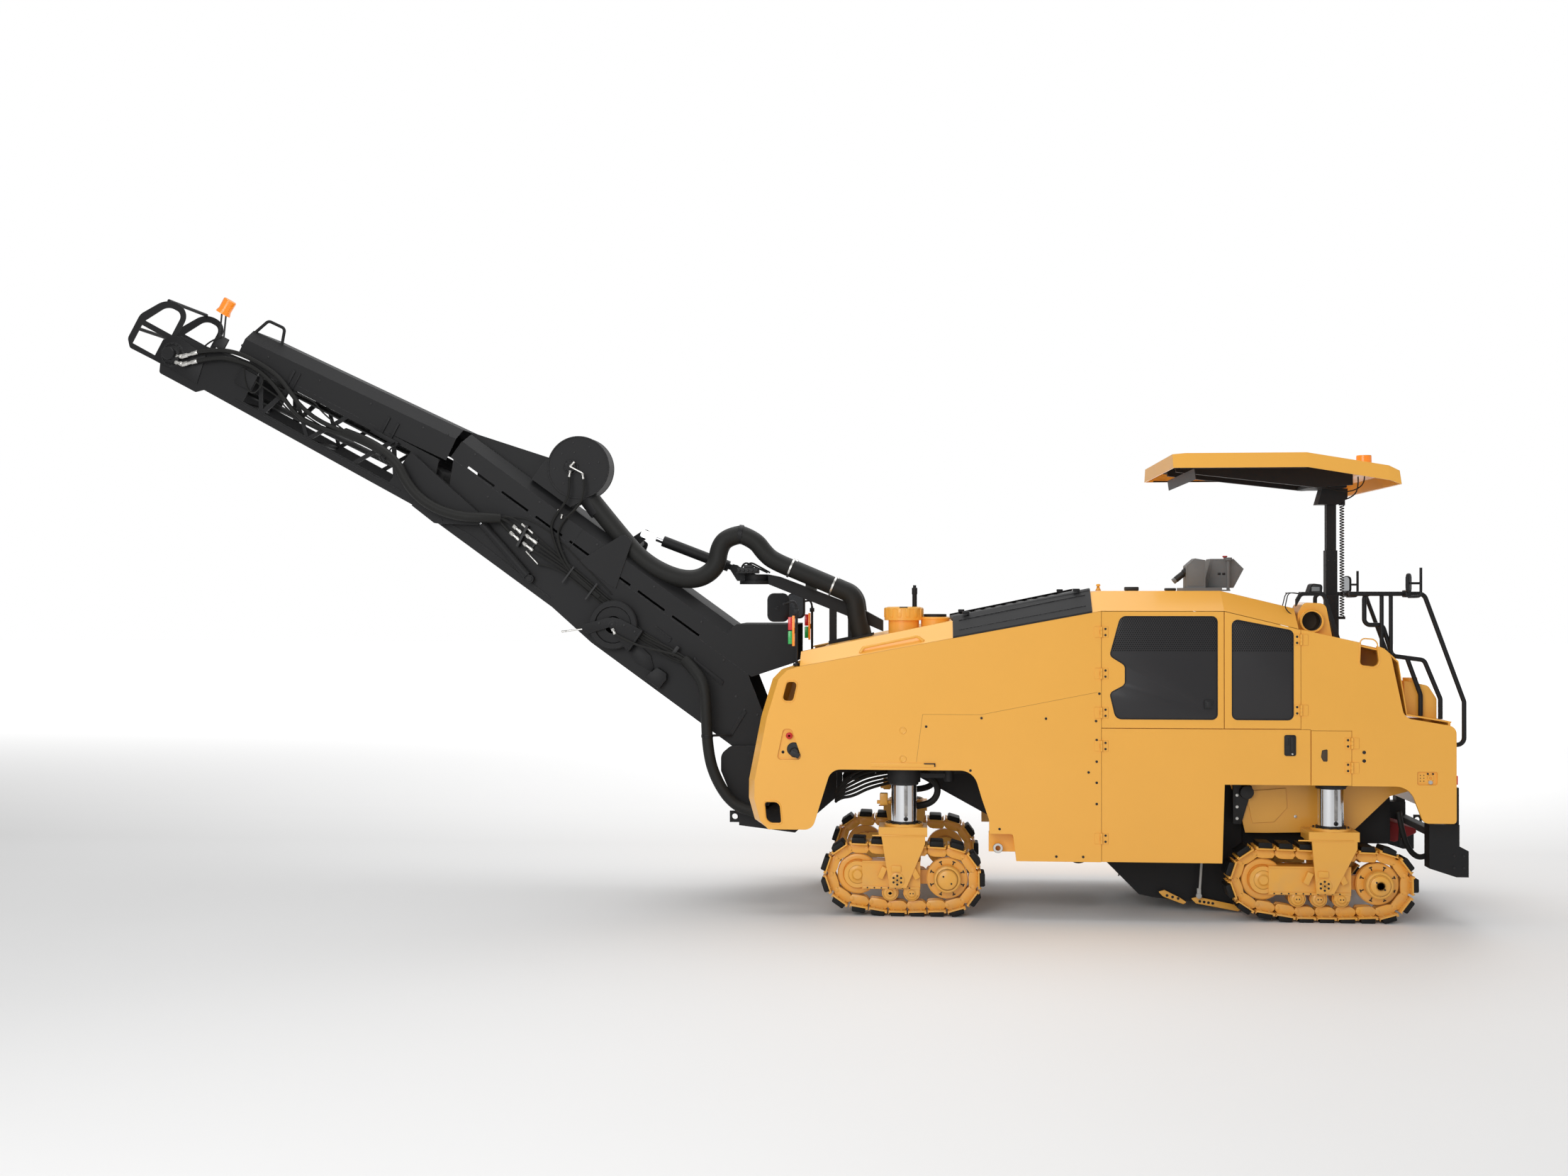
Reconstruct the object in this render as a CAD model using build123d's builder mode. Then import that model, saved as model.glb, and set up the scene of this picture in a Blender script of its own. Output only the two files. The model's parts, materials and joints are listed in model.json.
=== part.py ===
from build123d import *
from math import atan2, cos, hypot, pi, radians, sin
import os

# Cold planer with a folding front loading conveyor, standing on four tracks, as parked.
# Millimetres. +X points to the rear of the machine, -X to the conveyor's tip, +Z up,
# -Y is the left side. The origin is on the ground, under the cutting rotor's axis.

os.makedirs("parts", exist_ok=True)

# ---------------------------------------------------------------- driving dimensions
BODY_WIDTH = 2160
SHEET = 6                # pressed covers
PANEL = 30               # side panels and doors, with their folded edges
SKIRT_Z = 500            # lower edge of the side skirts
BODY_FRONT = -3488       # foremost point of the side panels
BODY_REAR = 2340
DECK_Z = 2616            # side panel's upper edge beside the engine
BEVEL_IN = 180           # roof bevel, inwards
BEVEL_UP = 170           # roof bevel, upwards
ARCH_Z = 1262            # front wheel arch
REAR_ARCH_Z = 1160
DOOR_GAP = 6             # shut line round a door
DOOR_SILL_Z = 1630       # lower edge of the engine doors
DOOR_FRONT = -568
DOOR_SPLIT = 450
DOOR_REAR = 1080

TRACK_INSET = 205        # from the body's side to a track's centre plane
SHOE_WIDTH = 254
SHOE_THICK = 46
LEG_FRONT = -2230        # steering axes
LEG_REAR = 1368
COLUMN_D = 216
SLEEVE_D = 284
COLUMN_FIT = 0.05        # radial running clearance of a column in its sleeve

ROTOR_WIDTH = 1000
ROTOR_D = 800            # bare drum
ROTOR_Z = 600
PICK_REACH = 95          # tool tips beyond the drum
HOUSING_T = 16

SLEW_X = -3600
BASE_PIVOT_Z = 1330
LOWER_ANGLE = 35.8
LOWER_LENGTH = 3510      # base pin to fold pin
FOLD_PIN_V = 45
UPPER_ANGLE = 28.5
CONVEYOR_HALF = 440      # half width over the side frames
FRAME_T = 12
COVER_T = 5
BELT_W = 620
BELT_T = 14
PIN_D = 50
PIN_FIT = 0.05           # radial clearance of a pin in its bore
SIDE_CLEAR = 6           # between plates that swing past each other

CANOPY_X0 = 50
CANOPY_X1 = 1936
CANOPY_HALF = 950
CANOPY_Z = 3830
MAST_X = 1572
MAST_W = 100
FLOOR_Z = 1700
RAIL_D = 38

HALF = BODY_WIDTH / 2
TRACK_Y = HALF - TRACK_INSET
BEAM_Y = (TRACK_Y - 315, TRACK_Y - 235)


# ---------------------------------------------------------------- small helpers
def side_plate(table, y_low, y_high, mode=Mode.ADD):
    """Plate with an outline in the side view; a row is (x, z) or (x, z, corner radius)."""
    with BuildSketch(Plane.XZ.offset(-y_high)) as outline:
        with BuildLine():
            Polyline(*[row[:2] for row in table], close=True)
        make_face()
        for row in table:
            if len(row) == 3:
                corner = outline.vertices().sort_by_distance((row[0], row[1], 0))[0]
                fillet(corner, radius=row[2])
    extrude(outline.sketch, amount=y_high - y_low, mode=mode)


def box(x0, x1, y0, y1, z0, z1, mode=Mode.ADD):
    """Box between two corners."""
    with BuildSketch(Plane.XY.offset(z0)) as base:
        with Locations(((x0 + x1) / 2, (y0 + y1) / 2)):
            Rectangle(abs(x1 - x0), abs(y1 - y0))
    extrude(base.sketch, amount=z1 - z0, mode=mode)


def rod(start, end, radius, mode=Mode.ADD):
    """Round bar between two points."""
    axis = Vector(*end) - Vector(*start)
    with BuildSketch(Plane(origin=start, z_dir=axis)) as section:
        Circle(radius)
    extrude(section.sketch, amount=axis.length, mode=mode)


def disc(x, z, radius, y_low, y_high, mode=Mode.ADD):
    """Round plate or bore whose axis runs across the machine."""
    rod((x, y_low, z), (x, y_high, z), radius, mode)


def bent_tube(points, bend, radius, mode=Mode.ADD):
    """Round tube along straight runs joined by equal bends."""
    with BuildLine() as path:
        FilletPolyline(*points, radius=bend)
    with BuildSketch(Plane(origin=path.line @ 0, z_dir=path.line % 0)) as section:
        Circle(radius)
    sweep(section.sketch, path=path.line, mode=mode)


def along(pivot, angle, u, v):
    """Point u along a conveyor from its pin towards its tip, and v above it."""
    x = pivot[0] - u * cos(radians(angle)) + v * sin(radians(angle))
    z = pivot[1] + u * sin(radians(angle)) + v * cos(radians(angle))
    return x, z


def lower(u, v):
    """Point of the lower conveyor's side view."""
    return along((SLEW_X, BASE_PIVOT_Z), LOWER_ANGLE, u, v)


def upper(u, v):
    """Point of the upper conveyor's side view."""
    return along(lower(LOWER_LENGTH, FOLD_PIN_V), UPPER_ANGLE, u, v)


def cross_plane(frame, angle, u):
    """Plane across a conveyor: local x towards the left side, local y upwards."""
    x, z = frame(u, 0)
    forward = (-cos(radians(angle)), 0, sin(radians(angle)))
    return Plane(origin=(x, 0, z), x_dir=(0, -1, 0), z_dir=forward)


def place(frame, rows):
    """Rows (u, v) or (u, v, radius) of a conveyor turned into side view rows."""
    return [(*frame(row[0], row[1]), *row[2:]) for row in rows]


def save(block, name):
    """Label a finished block and write it."""
    block.part.label = name
    export_step(block.part, f"parts/{name}.step")


SIDES = [("left", -1), ("right", 1)]


def across(side, near, far):
    """Y stations of a piece between two distances from the centre plane, low one first."""
    return sorted((side * near, side * far))


# ---------------------------------------------------------------- side panels and doors
# The side panels are whole plates with the doors cut out, on a frame of posts behind them.
FENDER_FORE = 60                     # front fender's face, forward of the panel's edge
FENDER_IN = 130                      # width of the bevel to that face
FENDER_INNER = HALF - 350            # inner edge of the fender's face
FENDER_EDGE = [                      # x, z down the front edge of the panel
    (-3117, 2141), (-3225, 2108), (-3300, 2030), (-3399, 1703), (-3505, 1163),
    (-3507, 1000), (-3455, 815), (-3386, 745), (-3120, 745),
]
FRAME_POST = 60
FRAME_Y = HALF - PANEL               # inner face of the panels
ARCH_FOOT_X = 456                    # rear end of the skirt
LOWER_DOOR_REAR = 1160
SMALL_DOOR_REAR = 1494
SMALL_DOOR_Z = 1621
POCKET_X = (-1507, -1307)            # notch at the front foot of the skirt
POCKET_Z = 728
POCKET_DEEP = 110
POCKET_TUBE = (-1431, 600, 34)       # x, z and radius of the tube that ends in it
RECESS_DEEP = 18
RECESSES = [                         # x, z, corner radius: fender controls, rear sockets
    [(-3315, 1342, 30), (-3097, 1342, 30), (-3185, 1606, 30), (-3258, 1606, 30)],
    [(2022, 1174, 18), (2186, 1174, 18), (2186, 1285, 18), (2022, 1285, 18)],
]


def deck_height(x):
    """Height of the side panel's upper edge."""
    knots = [(-3117, 2141), (DOOR_FRONT, DECK_Z), (DOOR_SPLIT, DECK_Z), (DOOR_REAR, 2463),
             (1815, 2300)]
    for (x0, z0), (x1, z1) in zip(knots, knots[1:]):
        if x <= x1:
            return z0 + (z1 - z0) * (x - x0) / (x1 - x0)
    return knots[-1][1]


PANEL_OUTLINE = FENDER_EDGE[::-1] + [
    (DOOR_FRONT, DECK_Z), (DOOR_SPLIT, DECK_Z), (DOOR_REAR, deck_height(DOOR_REAR)),
    (1800, deck_height(1800), 140), (1920, 1730, 90), (BODY_REAR, 1660, 70),
    (BODY_REAR, 855, 30), (2075, 855, 60), (1960, REAR_ARCH_Z, 160),
    (ARCH_FOOT_X, REAR_ARCH_Z, 60), (ARCH_FOOT_X - 20, SKIRT_Z),
    (POCKET_X[1] + 28, SKIRT_Z), (POCKET_X[1], POCKET_Z, 25), (POCKET_X[0], POCKET_Z),
    (POCKET_X[0], POCKET_Z + 115, 40), (-1566, 1016, 250), (-1640, ARCH_Z, 150),
    (-2850, ARCH_Z, 110), (-3010, 745, 90),
]

# engine doors, above the sill, and the long service door below them: rows of x, z
DOOR_TABLE = {
    "engine_door_front": [
        (DOOR_FRONT, DOOR_SILL_Z), (DOOR_SPLIT, DOOR_SILL_Z), (DOOR_SPLIT, DECK_Z),
        (DOOR_FRONT, DECK_Z)],
    "engine_door_rear": [
        (DOOR_SPLIT, DOOR_SILL_Z), (DOOR_REAR, DOOR_SILL_Z),
        (DOOR_REAR, deck_height(DOOR_REAR)), (DOOR_SPLIT, DECK_Z)],
    "service_door": [
        (DOOR_FRONT, SKIRT_Z), (ARCH_FOOT_X - 20, SKIRT_Z), (ARCH_FOOT_X, REAR_ARCH_Z, 60),
        (LOWER_DOOR_REAR, REAR_ARCH_Z), (LOWER_DOOR_REAR, DOOR_SILL_Z),
        (DOOR_FRONT, DOOR_SILL_Z)],
    "small_door": [
        (LOWER_DOOR_REAR, REAR_ARCH_Z), (SMALL_DOOR_REAR, REAR_ARCH_Z),
        (SMALL_DOOR_REAR, SMALL_DOOR_Z), (LOWER_DOOR_REAR, SMALL_DOOR_Z)],
}
WINDOW_TABLE = {                     # x, z, corner radius
    "engine_door_front": [
        (-446, 1708, 60), (393, 1708, 45), (393, 2571, 45), (-407, 2571, 60), (-497, 2240, 40),
        (-369, 2160, 50), (-369, 1995, 50), (-497, 1925, 40)],
    "engine_door_rear": [
        (515, 1708, 45), (1016, 1708, 45), (1016, 2452, 45), (515, 2551, 45)],
}
GLAZING_T = 6
GLAZING_INSET = 12
HINGE_OUT = 12                       # hinge pins, outside the body's side
HINGE_R = 11
HINGE_GAP = 1
LEAF_T = 6
LEAF_L = 90
LEAF_W = 56
HINGES = {                           # hinged edge, way from it into the door, heights
    "engine_door_front": (DOOR_FRONT, 1, (1760, 2090, 2440)),
    "engine_door_rear": (DOOR_REAR, -1, (1790, 2378)),
    "service_door": (DOOR_FRONT, 1, (700, 1480)),
    "small_door": (SMALL_DOOR_REAR, -1, (1313, 1517)),
}


def shrink(table, gap):
    """Outline of a door, smaller than its opening by a shut line all round."""
    with BuildSketch() as opening:
        with BuildLine():
            Polyline(*[row[:2] for row in table], close=True)
        make_face()
        offset(amount=-gap, kind=Kind.INTERSECTION)
    return opening.sketch


def hinge_half(x, side, toward, height, knuckles):
    """Leaf on a panel or a door, with its share of the hinge's knuckles."""
    face = across(side, HALF, HALF + LEAF_T)
    start = HINGE_R + HINGE_GAP
    box(*sorted((x + toward * start, x + toward * LEAF_W)), *face, height - LEAF_L / 2,
        height + LEAF_L / 2)
    y = side * (HALF + HINGE_OUT)
    for low, high in knuckles:
        rod((x, y, height + low), (x, y, height + high), HINGE_R)
        box(*sorted((x, x + toward * (start + 1))),
            *across(side, HALF + HINGE_GAP, HALF + LEAF_T), height + low, height + high)


for label, side in SIDES:
    y_low, y_high = across(side, FRAME_Y, HALF)
    with BuildPart() as side_panel:
        side_plate(PANEL_OUTLINE, y_low, y_high)
        for table in DOOR_TABLE.values():
            side_plate(table, y_low, y_high, mode=Mode.SUBTRACT)
        frame_low, frame_high = across(side, FRAME_Y - FRAME_POST / 2, FRAME_Y)
        for x, z0, z1 in [
            (DOOR_FRONT, SKIRT_Z, DECK_Z - 10), (DOOR_SPLIT, DOOR_SILL_Z, DECK_Z - 10),
            (DOOR_REAR, DOOR_SILL_Z, deck_height(DOOR_REAR) - 60),
            (LOWER_DOOR_REAR, REAR_ARCH_Z, DOOR_SILL_Z),
            (SMALL_DOOR_REAR, REAR_ARCH_Z, DOOR_SILL_Z),
        ]:
            box(x - FRAME_POST / 2, x + FRAME_POST / 2, frame_low, frame_high, z0, z1)
        box(DOOR_FRONT - FRAME_POST / 2, SMALL_DOOR_REAR + FRAME_POST / 2, frame_low,
            frame_high, DOOR_SILL_Z - FRAME_POST / 2, DOOR_SILL_Z + FRAME_POST / 2)
        for table in RECESSES:
            side_plate(table, *across(side, HALF - RECESS_DEEP, HALF + 1), mode=Mode.SUBTRACT)
        for x, toward, heights in HINGES.values():
            for height in heights:
                hinge_half(x, side, -toward, height, ((-LEAF_L / 2, -LEAF_L / 6),
                                                      (LEAF_L / 6, LEAF_L / 2)))
        # sheet pocket behind the notch in the skirt, with the end of a cross tube
        deep = FRAME_Y - POCKET_DEEP
        x0, x1 = POCKET_X[0], POCKET_X[1] + 34
        box(x0, x1, *across(side, deep, FRAME_Y), POCKET_Z, POCKET_Z + SHEET)
        box(x0, x1, *across(side, deep, deep + SHEET), SKIRT_Z + 60, POCKET_Z)
        box(x1 - SHEET, x1, *across(side, deep, FRAME_Y), SKIRT_Z + 60, POCKET_Z)
        x, z, radius = POCKET_TUBE
        disc(x, z, radius, *across(side, deep, FRAME_Y - 40))
        disc(x, z, radius - SHEET, *across(side, deep + SHEET, FRAME_Y - 39),
             mode=Mode.SUBTRACT)
        # rounded opening in the operator's side wall, and the fender's two openings
        side_plate([(1560, 2170, 30), (1720, 2150, 50), (1690, 2370, 50), (1570, 2380, 30)],
                   y_low, y_high, mode=Mode.SUBTRACT)
        side_plate([(-3268, 1846, 30), (-3175, 1846, 30), (-3138, 2008, 30),
                    (-3225, 2008, 30)], y_low, y_high, mode=Mode.SUBTRACT)
        side_plate([(-3400, 800, 60), (-3275, 800, 20), (-3290, 978, 50), (-3418, 978, 20)],
                   y_low, y_high, mode=Mode.SUBTRACT)
        # front fender: bevel and face following the panel's edge
        fore = [(x - FENDER_FORE, z) for x, z in FENDER_EDGE[:-2]]
        fore += [(FENDER_EDGE[-2][0], FENDER_EDGE[-2][1] - 20), FENDER_EDGE[-1]]
        bands = []
        for rows, y in ((FENDER_EDGE, HALF), (fore, HALF - FENDER_IN)):
            inner = [(x + 2 * SHEET, z - (2 * SHEET if z > 1900 else 0)
                      + (2 * SHEET if z < 900 else 0)) for x, z in rows]
            with BuildSketch(Plane.XZ.offset(-side * y)) as band:
                with BuildLine():
                    Polyline(*(rows + inner[::-1]), close=True)
                make_face()
            bands.append(band.sketch)
        loft(bands, ruled=True)
        extrude(bands[1], amount=side * (HALF - FENDER_IN - FENDER_INNER))
    save(side_panel, f"side_panel_{label}")

    for name, table in DOOR_TABLE.items():
        with BuildPart() as door:
            with BuildSketch(Plane.XZ.offset(-y_high)) as skin:
                add(shrink(table, DOOR_GAP / 2))
            extrude(skin.sketch, amount=PANEL)
            if name in WINDOW_TABLE:
                side_plate(WINDOW_TABLE[name], y_low, y_high, mode=Mode.SUBTRACT)
                y0, y1 = across(side, HALF - GLAZING_INSET - GLAZING_T, HALF - GLAZING_INSET)
                with BuildSketch(Plane.XZ.offset(-y1)) as pane:
                    add(shrink(WINDOW_TABLE[name], -1))
                extrude(pane.sketch, amount=y1 - y0)
            x, toward, heights = HINGES[name]
            share = LEAF_L / 6 - HINGE_GAP
            for height in heights:
                hinge_half(x, side, toward, height, ((-share, share),))
        save(door, f"{name}_{label}")

# ---------------------------------------------------------------- roof over the engine
ROOF_T = 12
ROOF_REAR = 1060
STATION_ROWS = [                     # x, rise of the bevel, how far in the bevel goes
    (-3117, 120, 150),
    (DOOR_FRONT, BEVEL_UP, BEVEL_IN),
    (DOOR_SPLIT, BEVEL_UP, BEVEL_IN),
    (ROOF_REAR, BEVEL_UP, BEVEL_IN),
]
GRILLE_X = (-1815, -640)             # louvred opening over the coolers
GRILLE_HALF = HALF - 180
HOPPER_WELL_X = -2930                # the roof starts behind the swinging hopper
HOPPER_WELL_HALF = FENDER_INNER - 50
STATION_HALF = BEAM_Y[0]             # half width of the operator's station
STATION_X = (660, 2200)
FILLER_Y = 520 - HALF
FILLERS = [                          # x, neck radius, lid radius, top
    (-2235, 135, 170, 2640),
    (-1960, 115, 125, 2560),
]


def roof_top(x):
    """Height of the roof's flat middle."""
    (x0, rise0, _), (x1, rise1, _) = STATION_ROWS[:2]
    share = min(1, (x - x0) / (x1 - x0))
    return deck_height(x) + 1 + rise0 + share * (rise1 - rise0)


def roof_section(x, rise, inward):
    """Closed cross-section of the roof skin at one station."""
    edge = deck_height(x) + 1
    outer = [(-HALF, edge), (inward - HALF, edge + rise), (HALF - inward, edge + rise),
             (HALF, edge)]
    inner = [(HALF - 2 * ROOF_T, edge), (HALF - inward - ROOF_T / 2, edge + rise - ROOF_T),
             (inward + ROOF_T / 2 - HALF, edge + rise - ROOF_T), (2 * ROOF_T - HALF, edge)]
    with BuildSketch(Plane(origin=(x, 0, 0), x_dir=(0, 1, 0), z_dir=(1, 0, 0))) as section:
        with BuildLine():
            Polyline(*(outer + inner), close=True)
        make_face()
    return section.sketch


with BuildPart() as body_roof:
    sections = [roof_section(*row) for row in STATION_ROWS]
    for first, second in zip(sections, sections[1:]):
        loft([first, second], ruled=True)
    box(*GRILLE_X, -GRILLE_HALF, GRILLE_HALF, 2000, 3000, mode=Mode.SUBTRACT)
    box(STATION_X[0], ROOF_REAR + 1, -STATION_HALF, STATION_HALF, 2000, 3000,
        mode=Mode.SUBTRACT)
    box(-3200, HOPPER_WELL_X, -HOPPER_WELL_HALF, HOPPER_WELL_HALF, 2000, 3000,
        mode=Mode.SUBTRACT)
    # two round fillers: the near one with a wide lid, the other behind it
    for x, neck, lid, top in FILLERS:
        rod((x, FILLER_Y, deck_height(x) + 100), (x, FILLER_Y, top - 110), neck)
        rod((x, FILLER_Y, top - 110), (x, FILLER_Y, top), lid)
    # grab bars on the bevels
    for _, side in SIDES:
        y = side * (HALF - 30)
        bent_tube([(x, y, deck_height(x) + rise) for x, rise in
                   ((-2600, 22), (-2570, 62), (-2115, 74), (-2062, 22))], 30, 14)
save(body_roof, "body_roof")

LOUVRE_PITCH = 98
with BuildPart() as hood_grille:
    x0, x1 = GRILLE_X
    z0 = deck_height(x0) + 152
    z1 = deck_height(x1) + BEVEL_UP
    slope = (z1 - z0) / (x1 - x0)
    rows = [(x0 + 5, z0), (x1 - 5, z1), (x1 - 5, z1 + 22), (x0 + 5, z0 + 22)]
    side_plate(rows, 5 - GRILLE_HALF, GRILLE_HALF - 5)
    count = int((x1 - x0 - 120) / LOUVRE_PITCH)
    for index in range(count):
        x = x0 + 90 + index * LOUVRE_PITCH
        z = z0 + slope * (x - x0)
        slot = [(x, z - 40), (x + LOUVRE_PITCH / 2, z - 40), (x + LOUVRE_PITCH / 2, z + 80),
                (x, z + 80)]
        for _, side in SIDES:
            side_plate(slot, *across(side, 40, GRILLE_HALF - 80), mode=Mode.SUBTRACT)
    # black cap on the rear filler and stub beside the front one's vent
    (x_vent, _, _, top_vent), (x_cap, _, lid_cap, top_cap) = FILLERS
    rod((x_cap, FILLER_Y, top_cap), (x_cap, FILLER_Y, top_cap + 24), lid_cap - 25)
    rod((x_vent + 95, FILLER_Y, top_vent), (x_vent + 95, FILLER_Y, top_vent + 175), 20)
save(hood_grille, "hood_grille")

# ---------------------------------------------------------------- chassis
BEAM_Z = (1190, 1420)
BEAM_X = (-2930, 2250)             # from the nose's bulkhead back
SLEEVE_Z = (1143, 1760)
OUTRIGGERS = [(-1400, 0), (DOOR_FRONT, FRAME_POST / 2), (1120, FRAME_POST / 2), (2120, 0)]
PORTAL_X = [-2880, -1500]
PORTAL_Z = 1990

with BuildPart() as chassis_frame:
    for _, side in SIDES:
        box(*BEAM_X, *across(side, *BEAM_Y), *BEAM_Z)
        for x, short in OUTRIGGERS:
            box(x - 30, x + 30, *across(side, BEAM_Y[1], FRAME_Y - short), 1280, 1400)
        for x in (LEG_FRONT, LEG_REAR):
            rod((x, side * TRACK_Y, SLEEVE_Z[0]), (x, side * TRACK_Y, SLEEVE_Z[1]),
                SLEEVE_D / 2)
            box(x - 110, x + 110, *across(side, BEAM_Y[1], TRACK_Y - 130), 1200, 1400)
            rod((x, side * TRACK_Y, SLEEVE_Z[0] - 1), (x, side * TRACK_Y, SLEEVE_Z[1] + 1),
                COLUMN_D / 2 + COLUMN_FIT, mode=Mode.SUBTRACT)
        # torque arm behind the front column's sleeve
        box(LEG_FRONT + 130, LEG_FRONT + 400, *across(side, TRACK_Y - 22, TRACK_Y + 22), 1178,
            1216)
        rod((LEG_FRONT + 385, side * TRACK_Y, 1150), (LEG_FRONT + 385, side * TRACK_Y, 1256), 42)
        for x in PORTAL_X:
            box(x - 50, x + 50, *across(side, *BEAM_Y), BEAM_Z[1], PORTAL_Z + 120)
    for x in PORTAL_X:
        box(x - 50, x + 50, -BEAM_Y[0], BEAM_Y[0], PORTAL_Z, PORTAL_Z + 120)
    box(PORTAL_X[0] - 40, PORTAL_X[0] + 50, -240, 240, PORTAL_Z + 120, 2280)
    for x in (900, 2150):
        box(x - 60, x + 60, -BEAM_Y[0], BEAM_Y[0], 1230, 1400)
save(chassis_frame, "chassis_frame")

LINER_T = 12
with BuildPart() as arch_liners:
    for _, side in SIDES:
        side_plate([(540, BEAM_Z[0] + 8), (2090, BEAM_Z[0] + 8), (2090, 1080), (1915, 1030),
                    (1625, 745), (1305, 715), (880, 705), (700, 705), (645, 940)],
                   *across(side, BEAM_Y[1], BEAM_Y[1] + LINER_T))
        # pressed stiffener at its front corner
        side_plate([(700, 1060), (1040, 1090), (1052, 925), (940, 800), (760, 790)],
                   *across(side, BEAM_Y[1] + LINER_T, BEAM_Y[1] + 2 * LINER_T))
save(arch_liners, "arch_liners")

# ---------------------------------------------------------------- rotor and its housing
HOUSING_GAP = 45
PRIMARY_HALF = 330
HOUSING_R = ROTOR_D / 2 + PICK_REACH + HOUSING_GAP
HOUSING_Y = ROTOR_WIDTH / 2 + 16
PLATE_T = 18
PICK_ROWS = 9
PICK_EDGE = 35                       # from the drum's edge to the last row of picks
PICKS_PER_TURN = 5
SHAFT_R = 70

with BuildPart() as rotor:
    disc(0, ROTOR_Z, ROTOR_D / 2, -ROTOR_WIDTH / 2, ROTOR_WIDTH / 2)
    disc(0, ROTOR_Z, ROTOR_D / 2 - 40, -ROTOR_WIDTH / 2, -ROTOR_WIDTH / 2 + 120,
         mode=Mode.SUBTRACT)
    disc(0, ROTOR_Z, ROTOR_D / 2 - 40, ROTOR_WIDTH / 2 - 120, ROTOR_WIDTH / 2,
         mode=Mode.SUBTRACT)
    disc(0, ROTOR_Z, SHAFT_R, -HOUSING_Y - PLATE_T, HOUSING_Y + PLATE_T)
    holders = []
    tips = []
    for row in range(PICK_ROWS):
        y = (row - (PICK_ROWS - 1) / 2) * (ROTOR_WIDTH - 2 * PICK_EDGE) / (PICK_ROWS - 1)
        sweep_angle = 18 * abs(row - (PICK_ROWS - 1) / 2)
        for index in range(PICKS_PER_TURN):
            angle = radians(360 * index / PICKS_PER_TURN + sweep_angle)
            out = Vector(cos(angle), 0, sin(angle))
            forward = Vector(-sin(angle), 0, cos(angle))
            root = Vector(0, y, ROTOR_Z) + out * (ROTOR_D / 2 - 8)
            lean = (out + forward * 0.6).normalized()
            holders.append(Plane(origin=root, x_dir=forward, z_dir=out))
            tips.append(Plane(origin=root + out * 30 + forward * 12, z_dir=lean))
    with Locations(*[plane.location for plane in holders]):
        Box(80, 44, 50, align=(Align.CENTER, Align.CENTER, Align.MIN))
    with Locations(*[plane.location for plane in tips]):
        Cone(19, 5, 62, align=(Align.CENTER, Align.CENTER, Align.MIN))
save(rotor, "rotor")

with BuildPart() as rotor_housing:
    with BuildSketch(Plane.XZ.offset(-HOUSING_Y)) as arch:
        with Locations((0, ROTOR_Z)):
            Circle(HOUSING_R + HOUSING_T)
            Circle(HOUSING_R, mode=Mode.SUBTRACT)
        with Locations((0, ROTOR_Z - HOUSING_R)):
            Rectangle(3 * HOUSING_R, 2 * HOUSING_R, mode=Mode.SUBTRACT)
    extrude(arch.sketch, amount=2 * HOUSING_Y)
    box(HOUSING_R, HOUSING_R + HOUSING_T, -HOUSING_Y, HOUSING_Y, 170, ROTOR_Z)
    box(-HOUSING_R - HOUSING_T, -HOUSING_R, -HOUSING_Y, HOUSING_Y, 480, ROTOR_Z)
    for x in (-250, 250):
        box(x - 40, x + 40, -BEAM_Y[0], BEAM_Y[0], 1290, 1400)
        box(x - 40, x + 40, -200, 200, ROTOR_Z + HOUSING_R - 80, 1290)
    disc(0, ROTOR_Z, HOUSING_R, -HOUSING_Y, HOUSING_Y, mode=Mode.SUBTRACT)
    # mouth where the primary conveyor takes the millings
    box(-HOUSING_R - HOUSING_T - 1, -HOUSING_R + 140, -PRIMARY_HALF - 20, PRIMARY_HALF + 20,
        400, 800, mode=Mode.SUBTRACT)
    # scraper board behind the drum, on two arms
    for _, side in SIDES:
        y = side * (HOUSING_Y - 46)
        side_plate([(HOUSING_R + HOUSING_T, 560), (HOUSING_R + HOUSING_T, 900), (1640, 760),
                    (1960, 1000), (1960, 600), (1640, 600)], y - 15, y + 15)
save(rotor_housing, "rotor_housing")

SIDE_PLATE_ROWS = [(-700, 1180), (-700, 640), (-450, 400), (-190, 140), (-30, 110), (640, 60),
                   (690, 120), (690, 1180)]
SKID_LIP = 8                         # the skids' inner edge, still clear of the drum
SKID_ROWS = [                        # toe x, heel x, lower z at the toe and the heel
    (-30, 215, 130, 66),
    (250, 680, 75, 12),
]
with BuildPart() as side_plates:
    for _, side in SIDES:
        side_plate(SIDE_PLATE_ROWS, *across(side, HOUSING_Y, HOUSING_Y + PLATE_T))
        disc(0, ROTOR_Z, SHAFT_R + 0.05, *across(side, HOUSING_Y - 1, HOUSING_Y + PLATE_T + 1),
             mode=Mode.SUBTRACT)
        for toe, heel, z_toe, z_heel in SKID_ROWS:
            side_plate([(toe, z_toe + 42), (toe + 40, z_toe), (heel - 30, z_heel),
                        (heel, z_heel + 20), (heel - 60, z_heel + 62), (toe + 50, z_toe + 62)],
                       *across(side, HOUSING_Y - SKID_LIP, HOUSING_Y + PLATE_T + 22))
save(side_plates, "side_plates")

with BuildPart() as engine_block:
    box(-480, 560, -380, 380, 1460, 2300)
    box(-380, 420, -300, 300, 2300, 2480)
    for y in (-250, 250):
        box(-540, 600, y - 40, y + 40, BEAM_Z[1] - 20, 1460)
save(engine_block, "engine_block")

# ---------------------------------------------------------------- operator's station
WALL_T = 12
LID_TOP = [                          # x, z along the lid of the side lockers
    (ROOF_REAR + 8, deck_height(ROOF_REAR) - 16), (1790, deck_height(1790) - 22), (1880, 2200),
    (1950, 1760), (2310, 1700),
]


def lid_height(x):
    """Height of the locker lid."""
    for (x0, z0), (x1, z1) in zip(LID_TOP, LID_TOP[1:]):
        if x <= x1:
            return z0 + (z1 - z0) * (x - x0) / (x1 - x0)


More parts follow.
